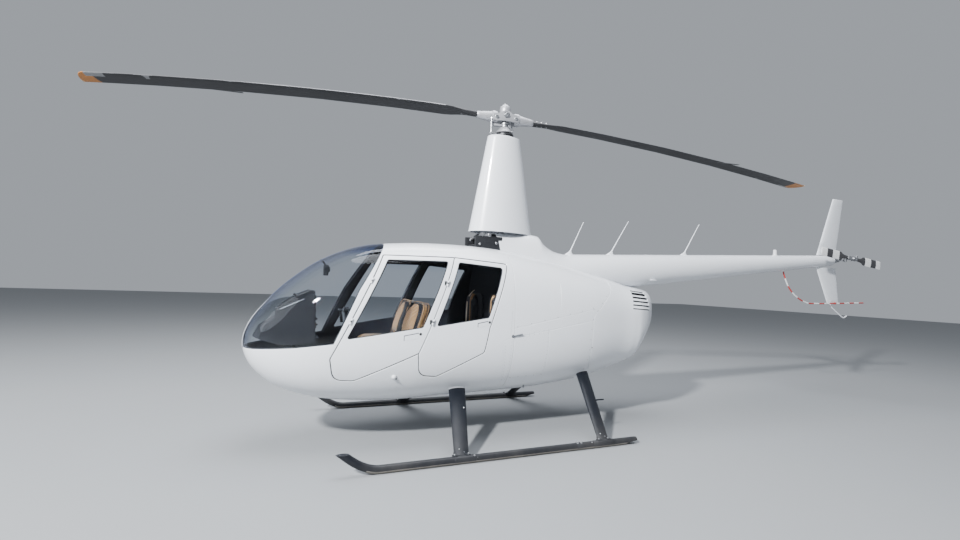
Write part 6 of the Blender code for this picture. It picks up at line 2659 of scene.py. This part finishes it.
# %% Seat shells, cords and belts
def ribbon(path, width, thickness, across=(1, 0, 0)):
    """A woven strap: a thin flat band along a path."""
    points = smooth_path(path, 6)
    wide = Vector(across).normalized()
    rings = []
    for i, point in enumerate(points):
        ahead = (points[min(i + 1, len(points) - 1)] - points[max(i - 1, 0)]).normalized()
        up = ahead.cross(wide).normalized()
        corners = ((-1, -1), (1, -1), (1, 1), (-1, 1))
        rings.append([point + wide * (a * width / 2) + up * (b * thickness / 2) for a, b in corners])
    return loft(rings)


def make_seat_trim():
    shells, cords = [], []
    # Columns: outline, first and second depth, first and last share between them
    face = ((0.016, 0.010, 0.03), (0.466, 0.010, 0.03), (0.466, 0.540, 0.12), (0.016, 0.540, 0.14))
    rear = ((0.030, 0.006, 0.03), (0.478, 0.006, 0.03), (0.478, 0.550, 0.12), (0.030, 0.550, 0.14))
    # The face plate reaches in past the pad's inboard edge, so that its black margin shows there as painted
    # shade between the two pads.
    plates = ((face, -0.004, 0.0, 0.0, 0.60), (rear, 0.0, 0.062, 0.90, 1.0))
    for _, side in SIDES:
        outline = rounded(
            ((0.034, 0.000, 0.03), (0.484, 0.000, 0.03), (0.484, 0.556, 0.12), (0.034, 0.556, 0.14)), 9
        )
        outline = [(side * a, b) for a, b in outline][::side]
        for corners, first, second, low, high in plates:
            place = leaning(first, second)
            edge = [(side * a, b) for a, b in rounded(corners, 9)][::side]
            soft = grown(edge, -0.006)
            steps = ((low, soft), (low + 0.04, edge), (high - 0.04, edge), (high, soft))
            shells.append(loft([[place(a, b, share) for a, b in ring] for share, ring in steps]))
        for share in (0.06, 0.94):
            place = leaning(0, 0)
            cords.append(pipe([place(a, b, share) for a, b in grown(outline, 0.001)], 0.0036, 8, closed=True))
        low, high = sorted_box((side * 0.060, -1.442, 0.7605), (side * 0.486, -1.095, 0.784))
        shells.append(block(low, high, 0.006))
        # A black tube along each back pad's inboard edge is painted shade: it stands for the dark slit of
        # shadow between the pads.
        seam = ((0.072, 0.19), (0.072, 0.30), (0.074, 0.42), (0.092, 0.48), (0.125, 0.515))
        slit_shade = [on_bulge(side * a, b, -0.032) for a, b in seam]
        shells.append(pipe(smooth_path(slit_shade), 0.025, 12))
    piece(joined(*shells), "front_seat_shells", BLACK_VINYL)
    piece(joined(*cords), "front_seat_cords", TAN_LEATHER)
    boards = []
    rolls = []
    straps = []
    for _, side in SIDES:
        board = rounded_box((0.090, 0.925), (0.514, 1.402), 0.03, 0.09)
        board = [(side * a, b) for a, b in board][::side]
        steps = (
            (-0.151, grown(board, -0.005)), (-0.146, board), (-0.136, board),
            (-0.130, grown(board, -0.005))
        )
        boards.append(loft([[(a, depth, b) for a, b in ring] for depth, ring in steps]))
        rolls.append(pipe(smooth_path([
            (side * 0.300, -0.186, 0.945), (side * 0.300, -0.194, 1.080), (side * 0.300, -0.196, 1.220),
            (side * 0.300, -0.192, 1.330), (side * 0.300, -0.168, 1.385),
        ]), 0.024, 12))
        straps.append([
            (side * 0.400, -0.1285, 1.430), (side * 0.400, -0.158, 1.405), (side * 0.400, -0.206, 1.330),
            (side * 0.402, -0.2135, 1.200), (side * 0.410, -0.2135, 1.040),
        ])
    piece(joined(*boards), "rear_back_boards", BLACK_VINYL)
    piece(joined(*rolls), "rear_back_rolls", TAN_LEATHER)
    for (name, _), path in zip(SIDES, straps):
        length = sum((b - a).length for a, b in zip(smooth_path(path), smooth_path(path)[1:]))
        band = piece(ribbon(path, 0.030, 0.0015), f"rear_strap_{name}", BELT_WEB)


def sorted_box(a, b):
    """The low and the high corner of a box given by any two opposite corners."""
    low = tuple(min(p, q) for p, q in zip(a, b))
    high = tuple(max(p, q) for p, q in zip(a, b))
    return low, high


BELT_WEB = make_finish("belt_webbing", (0.62, 0.50, 0.36), 0.8, dust=0.1, bump=0.5, grain=900)
make_seat_trim()
print("Seat trim made")

# %% [markdown]
# ## Instruments and controls
# The console is a tall hood of painted sheet over a foot. Its dials face the seats, and their
# glasses are blank here. The control column rises between the front seats to a bar that tips,
# and a compass hangs from the windscreen's middle strip.

# %% Dials and panels on the console
# Columns: across, height, radius
DIALS = (
    (-0.115, 1.305, 0.036),
    (-0.030, 1.305, 0.036),
    (0.055, 1.305, 0.036),
    (-0.115, 1.215, 0.036),
    (-0.030, 1.215, 0.036),
    (0.055, 1.215, 0.036),
    (0.140, 1.320, 0.022),
    (0.140, 1.262, 0.022),
    (0.140, 1.204, 0.022),
)
# Columns: across, height, half width, half height, number of knobs
RADIOS = (
    (-0.080, 1.128, 0.078, 0.022, 2),
    (0.085, 1.128, 0.078, 0.022, 2),
    (-0.080, 1.076, 0.078, 0.022, 3),
    (0.085, 1.076, 0.078, 0.022, 1),
)


def panel_y(z):
    """Where the console's face towards the seats stands at a height."""
    return -1.905 - 0.02 * (z - 1.010) / 0.375


def make_dials():
    plates, rims, faces, marks, knobs = [], [], [], [], []
    outline = rounded(
        ((-0.203, 1.032, 0.02), (0.203, 1.032, 0.02), (0.203, 1.352, 0.05), (-0.203, 1.352, 0.05))
    )
    rings = []
    for lift, inset in ((0.0005, 0), (0.0035, 0), (0.0045, 0.0015)):
        ring = grown(outline, -inset) if inset else outline
        rings.append([(x, panel_y(z) + lift, z) for x, z in ring])
    plates.append(loft(rings))
    for across, height, radius in DIALS:
        y = panel_y(height) + 0.004
        centre = Vector((across, y, height))
        back = Vector((0, 1, 0))
        rims.append(lathe(centre, centre + back * 0.007, [
            (0, radius * 1.16), (0.6, radius * 1.16), (1, radius * 1.08), (1, radius * 0.98),
            (0.3, radius * 0.96),
        ], 20))
        faces.append(lathe(centre, centre + back * 0.0025, [(0, radius * 0.97), (1, radius * 0.97)], 20, 0))
        for step in range(9):
            turn = math.radians(-130 + step * 32.5)
            out = Vector((math.sin(turn), 0, math.cos(turn)))
            marks.append(
                rod(
                    centre + back * 0.003 + out * radius * 0.72,
                    centre + back * 0.003 + out * radius * 0.9, 0.0009, sides=4
                )
            )
        turn = math.radians(-70 + 23 * (across * 50 + height * 10))
        out = Vector((math.sin(turn), 0, math.cos(turn)))
        marks.append(
            rod(
                centre + back * 0.004 - out * radius * 0.15, centre + back * 0.004 + out * radius * 0.66,
                0.0014, 0.0005, sides=4
            )
        )
    for across, height, wide, tall, count in RADIOS:
        y = panel_y(height) + 0.004
        faces.append(
            block((across - wide, y, height - tall), (across + wide, y + 0.006, height + tall), 0.0025)
        )
        for i in range(count):
            x = across + wide * (-0.72 + 1.44 * (i + 0.5) / count if count > 1 else 0.6)
            knobs.append(lathe((x, y + 0.006, height - 0.004), (x, y + 0.024, height - 0.004), [
                (0, 0.0095), (0.35, 0.0095), (0.4, 0.0075), (0.9, 0.007), (1, 0.005),
            ], 14))
    for across in (-0.12, -0.085, -0.05, 0.02, 0.055, 0.09, 0.125):
        y = panel_y(1.042) + 0.004
        knobs.append(rod((across, y, 1.042), (across, y + 0.014, 1.048), 0.003, 0.0042, 8))
    piece(joined(*plates), "instrument_panel", CABIN_LINING)
    piece(joined(*rims, *knobs), "dial_rims", BLACK_PLASTIC)
    piece(joined(*faces), "dial_faces", DIAL_FACE)
    piece(joined(*marks), "dial_marks", DIAL_MARK)


make_dials()
print("Dials made")

# %% Hood trim, compass and the light strip
def make_console_trim():
    bright, dark = [], []
    for _, side in SIDES:
        bright.append(rod((side * 0.2225, -2.213, 1.214), (side * 0.2225, -2.018, 1.308), 0.0045, sides=8))
        dark.append(pipe([
            (side * 0.2215, -1.908, 1.02), (side * 0.2215, -1.929, 1.375), (side * 0.2215, -1.960, 1.384),
            (side * 0.2215, -2.075, 1.334), (side * 0.2215, -2.216, 1.234), (side * 0.2215, -2.246, 1.200),
        ], 0.004, 8))
    dark.append(
        lathe((0, -2.085, 1.322), (0, -2.095, 1.352), [(0, 0.02), (0.3, 0.02), (0.5, 0.012), (1, 0.010)], 14)
    )
    piece(joined(*bright), "console_strips", BRIGHT_STEEL)
    piece(joined(*dark), "console_edges", RUBBER)


def make_compass():
    body = block((-0.026, -1.850, 1.530), (0.026, -1.802, 1.634), 0.012, 3)
    hood = lathe(
        (0, -1.802, 1.59), (0, -1.790, 1.59),
        [(0, 0.026), (0.6, 0.026), (1, 0.024), (1, 0.022), (0.2, 0.021)], 20
    )
    stem = rod((0, -1.825, 1.62), (0, -1.862, 1.672), 0.008, sides=10)
    foot = block(
        (-0.014, -1.888, 1.660), (0.014, -1.846, 1.672), 0.003,
        turn=Matrix.Rotation(math.radians(-38), 3, "X")
    )
    piece(joined(body, hood, stem, foot), "compass", BLACK_PLASTIC)
    face = lathe((0, -1.803, 1.59), (0, -1.797, 1.59), [(0, 0.021), (0.8, 0.019), (1, 0.012)], 20)
    piece(face, "compass_glass", DIAL_FACE)


make_console_trim()
make_compass()
print("Console trim and compass made")

# %% The control column's details
# Points of the post, then the ends of its cross bar, which is tipped towards the port side
POST = ((0, -1.420, 0.531), (0, -1.500, 0.700), (0, -1.590, 0.960), (0, -1.620, 1.205))
BAR_PORT = Vector((0.262, -1.600, 1.226))
BAR_STARBOARD = Vector((-0.262, -1.640, 1.188))


def make_column():
    dark, steel = [], []
    dark.append(pipe(smooth_path(POST, 5), 0.016, 12))
    dark.append(lathe((0, -1.418, FLOOR_TOP + 0.001), (0, -1.448, FLOOR_TOP + 0.080), [
        (0, 0.075), (0.12, 0.072), (0.3, 0.055), (0.42, 0.058), (0.6, 0.041), (0.72, 0.044), (1, 0.026),
    ], 24))
    dark.append(rod(BAR_STARBOARD, BAR_PORT, 0.011, sides=12))
    dark.append(block((-0.034, -1.643, 1.178), (0.034, -1.597, 1.232), 0.008))
    for end, side in ((BAR_PORT, 1), (BAR_STARBOARD, -1)):
        path = [end, end + Vector((side * 0.012, 0.004, -0.012)), end + Vector((side * 0.018, 0.010, -0.045)),
                end + Vector((side * 0.018, 0.022, -0.125))]
        dark.append(pipe(smooth_path(path, 5), 0.0125, 12))
        for i in range(4):
            top = end + Vector((side * 0.018, 0.011 + i * 0.0035, -0.050 - i * 0.020))
            dark.append(
                lathe(
                    top, top + Vector((0, 0.002, -0.013)),
                    [(0, 0.014), (0.3, 0.0175), (0.7, 0.0175), (1, 0.014)], 14
                )
            )
        steel.append(
            rod(
                end + Vector((side * 0.010, -0.020, 0.006)), end + Vector((side * 0.010, -0.004, 0.004)),
                0.006, sides=8
            )
        )
    steel.append(rod((0, -1.650, 1.207), (0, -1.590, 1.207), 0.009, sides=10))
    piece(joined(*dark), "control_column", BLACK_PLASTIC, replaces="cyclic_stick", slot="dark_trim")
    piece(joined(*steel), "column_fittings", CAST_METAL)


def make_floor_controls():
    """Pedals and the collective levers beside the seats."""
    metal, dark = [], []
    for x in (-0.28, -0.13, 0.13, 0.28):
        foot = Vector((x, -1.89, FLOOR_TOP + 0.001))
        top = Vector((x, -1.93, FLOOR_TOP + 0.16))
        metal.append(rod(foot, top, 0.009, sides=10))
        metal.append(rod(foot - Vector((0.02, 0, 0)), foot + Vector((0.02, 0, 0)), 0.013, sides=10))
        dark.append(
            block(
                (x - 0.040, -1.945, FLOOR_TOP + 0.135), (x + 0.040, -1.920, FLOOR_TOP + 0.205), 0.006,
                turn=Matrix.Rotation(math.radians(-18), 3, "X")
            )
        )
    for x in (-0.535, 0.018):
        lever = [(x, -1.02, FLOOR_TOP + 0.10), (x, -1.20, FLOOR_TOP + 0.17), (x, -1.40, FLOOR_TOP + 0.26)]
        metal.append(pipe(smooth_path(lever), 0.012, 10))
        dark.append(rod((x, -1.36, FLOOR_TOP + 0.242), (x, -1.47, FLOOR_TOP + 0.292), 0.017, 0.019, 14))
        dark.append(
            block((x - 0.018, -1.04, FLOOR_TOP + 0.001), (x + 0.018, -0.985, FLOOR_TOP + 0.125), 0.005)
        )
    piece(joined(*metal), "floor_controls", CAST_METAL)
    piece(joined(*dark), "floor_control_grips", RUBBER)


FLOOR_TOP = max(corner[2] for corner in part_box("cabin_floor"))
make_column()
make_floor_controls()
print("Floor top at", round(FLOOR_TOP, 3))

# %% Headset hooks under the roof
def make_cabin_ceiling():
    hooks = []
    for _, side in SIDES:
        for y in (-1.02, -0.42):
            hooks.append(pipe(smooth_path([
                (side * 0.20, y, 1.815), (side * 0.20, y + 0.004, 1.775),
                (side * 0.20, y + 0.022, 1.762), (side * 0.20, y + 0.034, 1.778),
            ], 5), 0.004, 8))
    piece(joined(*hooks), "headset_hooks", BRIGHT_STEEL)


make_cabin_ceiling()
print("Headset hooks made")

# %% Finishes of the carried-over inside pieces
# Columns: node, finish
INSIDE = (
    ("cabin_floor", CARPET),
    ("cabin_hoop", BLACK_PLASTIC),
    ("engine_block", CAST_METAL),
    ("exhaust_pipe", SOOTY_STEEL),
    ("front_seat_base", CABIN_LINING),
    ("rear_seat_base", CARPET),
    ("instrument_console", BLACK_VINYL),
    ("rear_bulkhead", CABIN_LINING),
)


def finish_inside():
    for node, finish in INSIDE:
        obj = bpy.data.objects[node]
        obj.data.materials.clear()
        obj.data.materials.append(finish)


finish_inside()
left = [o.name for o in bpy.data.objects if o.type == "MESH" and not o.hide_render and not o.data.materials]
print("Carried-over pieces finished:", len(INSIDE), "without a finish:", left)

# %% [markdown]
# ## Door furniture, fasteners and fittings
# The details that make the size readable: small hinges on each door's front edge, flush
# handles with a dark plate under each as painted shadow of the recess, a latch on the cowl's
# flap, rows of rivets and quarter-turn fasteners. Rows of equal heads come from one node
# group that sets a head on every point.

# %% Hinges on the doors' own axes
JOINTS = {joint["child"]: joint for joint in frame["joints"]}
HINGE_HEIGHTS = (1.14, 1.50)


def make_hinges():
    """Three knuckles a hinge: the middle one turns with the door."""
    fixed = []
    for place, _, _ in DOORS:
        for side, _ in SIDES:
            body = f"{place}_door_{side}_body"
            joint = JOINTS[body]
            start = Vector(joint["pos_m"]) - Vector((0, MAST_Y, 0))
            axis = Vector(joint["axis"])
            turning = []
            for height in HINGE_HEIGHTS:
                middle = start + axis * ((height - start.z) / axis.z)
                fixed += [
                    rod(middle + axis * 0.0085, middle + axis * 0.026, 0.0085, sides=12),
                    rod(middle - axis * 0.0085, middle - axis * 0.026, 0.0085, sides=12),
                    rod(middle - axis * 0.029, middle + axis * 0.029, 0.0035, sides=8),
                ]
                turning.append(rod(middle - axis * 0.0078, middle + axis * 0.0078, 0.0085, sides=12))
            piece(joined(*turning), f"{place}_door_{side}_knuckles", DARK_STEEL, body=body)
    piece(joined(*fixed), "hinge_knuckles", WHITE_PAINT)


make_hinges()
print("Hinges made:", len(JOINTS) - 2, "doors")

# %% Handles, keyholes and small covers
# Columns: door, y and z of the handle's front upper corner, length, height
HANDLES = (("front", -1.188, 1.020, 0.135, 0.050), ("rear", -0.487, 1.134, 0.108, 0.042))


def skin_plate(name, outline, finish, side, lift=0.0012, body="airframe", thickness=0.003, **details):
    """A thin plate that follows the skin and stands a little proud of it."""
    return skin_shell(
        name, [on_map(outline, 0.01)], [finish], side=side, depth=-lift, thickness=thickness, body=body,
        chamfer=0.0006, **details,
    )


def sheared(y, z, length, height, slope=0.19, rounds=0.006):
    """A small panel whose upper edge rises to the rear as the window sills do."""
    corners = (
        (y, z, rounds), (y, z - height, rounds), (y + length, z - height + length * slope, rounds),
        (y + length, z + length * slope, rounds)
    )
    return rounded(corners, 4)


def make_handles():
    for place, y, z, length, height in HANDLES:
        for side, sign in SIDES:
            body = f"{place}_door_{side}_body"
            # A dark plate under each handle shows at its top and front edge: painted shadow of the recess.
            skin_plate(
                f"{place}_handle_{side}_shadow", sheared(y, z, length, height), CAST_METAL, side, 0.0004,
                body
            )
            skin_plate(
                f"{place}_handle_{side}", sheared(y + 0.0065, z - 0.0075, length - 0.007, height - 0.0075),
                WHITE_PAINT, side, 0.0022, body, 0.0035,
            )
            lock, out = on_skin(y + length + 0.016, z + length * 0.19 - 0.014, sign)
            plate = lathe(lock - out * 0.002, lock + out * 0.002, [(0, 0.013), (0.6, 0.013), (1, 0.011)], 18)
            barrel = lathe(lock, lock + out * 0.004, [(0, 0.0085), (0.7, 0.0085), (1, 0.007)], 16)
            piece(plate, f"{place}_lock_plate_{side}", DARK_STEEL, body=body)
            piece(barrel, f"{place}_lock_{side}", RUBBER, body=body)


make_handles()
print("Handles made")

# %% Latch of the cowl's flap, fuel drain, step cover and static port
def make_fittings():
    white, dark, steel = [], [], []
    for _, side in SIDES:
        start, out = on_skin(-0.106, 1.005, side)
        end, _ = on_skin(-0.006, 1.025, side)
        steel.append(rod(start + out * 0.006, end + out * 0.010, 0.0055, 0.0075, 10))
        steel.append(rod(start - out * 0.002, start + out * 0.010, 0.010, 0.008, 12))
        dark.append(rod(start - out * 0.001, start + out * 0.0015, 0.015, sides=14))
        step, away = on_skin(-1.242, 0.644, side)
        white.append(
            lathe(
                step - away * 0.004, step + away * 0.020,
                [(0, 0.024), (0.4, 0.022), (0.8, 0.014), (1, 0.003)], 18
            )
        )
        dark.append(
            rod(
                step + Vector((0, 0.020, -0.016)), step + Vector((0, 0.020, -0.016)) + away * 0.010,
                0.006, sides=10
            )
        )
        port, beyond_skin = on_skin(0.889, 0.866, side)
        dark.append(rod(port - beyond_skin * 0.002, port + beyond_skin * 0.001, 0.0065, sides=12))
        low, below = on_skin(0.165, 0.470, side)
        steel.append(rod(low - below * 0.004, low + Vector((0, 0, -0.030)), 0.006, sides=10))
    for _, side in SIDES:
        high, _ = on_skin(-0.906, 0.620, side)
        foot, _ = on_skin(-0.882, 0.500, side)
        white.append(rod(high, foot, 0.004, sides=8))
    piece(joined(*white), "step_covers", WHITE_PAINT)
    piece(joined(*dark), "skin_ports", RUBBER)
    piece(joined(*steel), "flap_latches", CAST_METAL)


make_fittings()
print("Small fittings made")

# %% Node group: a head on every point
def make_head_group():
    """Sets a flattened dome on each point, turned to the point's own outward direction."""
    tree = bpy.data.node_groups.new("fastener_heads", "GeometryNodeTree")
    tree.interface.new_socket("Points", in_out="INPUT", socket_type="NodeSocketGeometry")
    for name, value in (("Head Radius", 0.003), ("Head Height", 0.001)):
        socket = tree.interface.new_socket(name, in_out="INPUT", socket_type="NodeSocketFloat")
        socket.default_value = value
    tree.interface.new_socket("Finish", in_out="INPUT", socket_type="NodeSocketMaterial")
    tree.interface.new_socket("Heads", in_out="OUTPUT", socket_type="NodeSocketGeometry")
    entry = tree.nodes.new("NodeGroupInput")
    leave = tree.nodes.new("NodeGroupOutput")
    head = wire(tree, "GeometryNodeMeshCylinder", {"Vertices": 8, "Radius": 1.0, "Depth": 2.0})
    narrow = wire(tree, "GeometryNodeScaleElements", {
        "Geometry": head.outputs["Mesh"], "Selection": head.outputs["Top"], "Scale": 0.6,
    })
    size = wire(tree, "ShaderNodeCombineXYZ", {
        "X": entry.outputs["Head Radius"], "Y": entry.outputs["Head Radius"],
        "Z": entry.outputs["Head Height"],
    })
    out = wire(tree, "GeometryNodeInputNamedAttribute", {"Name": "out"}, data_type="FLOAT_VECTOR")
    turn = wire(tree, "FunctionNodeAlignRotationToVector", {"Vector": out.outputs["Attribute"]}, axis="Z")
    placed = wire(tree, "GeometryNodeInstanceOnPoints", {
        "Points": entry.outputs["Points"], "Instance": narrow.outputs["Geometry"],
        "Rotation": turn.outputs["Rotation"], "Scale": size.outputs["Vector"],
    })
    real = wire(tree, "GeometryNodeRealizeInstances", {"Geometry": placed.outputs["Instances"]})
    painted = wire(tree, "GeometryNodeSetMaterial", {
        "Geometry": real.outputs["Geometry"], "Material": entry.outputs["Finish"],
    })
    tree.links.new(painted.outputs["Geometry"], leave.inputs["Heads"])
    return tree


HEADS = make_head_group()
print("Node group of heads ready")


def heads(name, places, radius, height, finish, body="airframe"):
    """One piece with a head at each (point, outward direction), in mast coordinates."""
    mesh = bpy.data.meshes.new(name)
    mesh.from_pydata([tuple(point + Vector((0, MAST_Y, 0))) for point, _ in places], [], [])
    layer = mesh.attributes.new("out", "FLOAT_VECTOR", "POINT")
    layer.data.foreach_set("vector", [value for _, out in places for value in out])
    points = bpy.data.objects.new(name, mesh)
    bpy.context.collection.objects.link(points)
    modifier = points.modifiers.new("Heads", "NODES")
    modifier.node_group = HEADS
    for item in HEADS.interface.items_tree:
        if item.in_out == "INPUT" and item.name != "Points":
            modifier[item.identifier] = {
                "Head Radius": radius, "Head Height": height, "Finish": finish
            }[item.name]
    made = plain_copy(points, name)
    bpy.data.objects.remove(points, do_unlink=True)
    made.materials.clear()
    return dressed(made, name, finish, body, sharp=35)


# %% Rows of heads on the skin
def spaced(line, spacing):
    """Points at equal steps along a side-view line, its ends included."""
    points = np.asarray(line, float)
    legs = np.linalg.norm(np.diff(points, axis=0), axis=1)
    run = np.concatenate([[0.0], np.cumsum(legs)])
    count = max(1, round(run[-1] / spacing))
    at = np.linspace(0, run[-1], count + 1)
    return list(zip(np.interp(at, run, points[:, 0]), np.interp(at, run, points[:, 1])))


# Columns: side-view line, spacing
RIVET_LINES = (
    (((-0.132, 1.030), (-0.120, 1.245)), 0.020),
    (((-0.085, 1.000), (0.300, 1.066)), 0.055),
    (((-0.085, 0.986), (0.300, 1.046)), 0.055),
    (((-0.145, 0.560), (-0.190, 0.940)), 0.032),
    (((-0.115, 0.560), (-0.115, 0.980)), 0.032),
    (((0.300, 1.030), (0.303, 0.640)), 0.042),
)
FASTENER_LINES = (
    (((0.868, 0.620), (0.860, 0.770), (0.856, 0.930), (0.862, 1.150), (0.975, 1.305), (1.095, 1.420)), 0.115),
    (((-0.060, 1.098), (0.880, 1.290)), 0.160),
    (((-0.060, 0.580), (0.300, 0.598)), 0.090),
)


def make_skin_rows():
    for name, lines, radius, height, finish in (
        ("skin_rivets", RIVET_LINES, 0.0042, 0.0016, BARE_METAL),
        ("cowl_fasteners", FASTENER_LINES, 0.0062, 0.0012, BARE_METAL),
    ):
        places = []
        for line, spacing in lines:
            for y, z in spaced(line, spacing):
                places += [on_skin(y, z, side) for _, side in SIDES]
        heads(name, places, radius, height, finish)
        print(name, len(places))


CONE_LAPS = (2.05, 2.72, 3.38, 4.02, 4.62, 5.20)


def make_cone_rows():
    """Rings of rivets either side of each lap in the tail cone."""
    places = []
    for station in CONE_LAPS:
        for shift in (-0.012, 0.012):
            y = station + shift
            count = max(24, int(2 * math.pi * cone_radius(y) / 0.028))
            for i in range(count):
                turn = 2 * math.pi * i / count
                out = Vector((math.cos(turn), 0, math.sin(turn)))
                places.append((Vector((0, y, cone_centre(y))) + out * (cone_radius(y) + 0.0003), out))
    heads("cone_rivets", places, 0.0030, 0.0010, WHITE_PAINT)
    print("cone rivets", len(places))


make_skin_rows()
make_cone_rows()
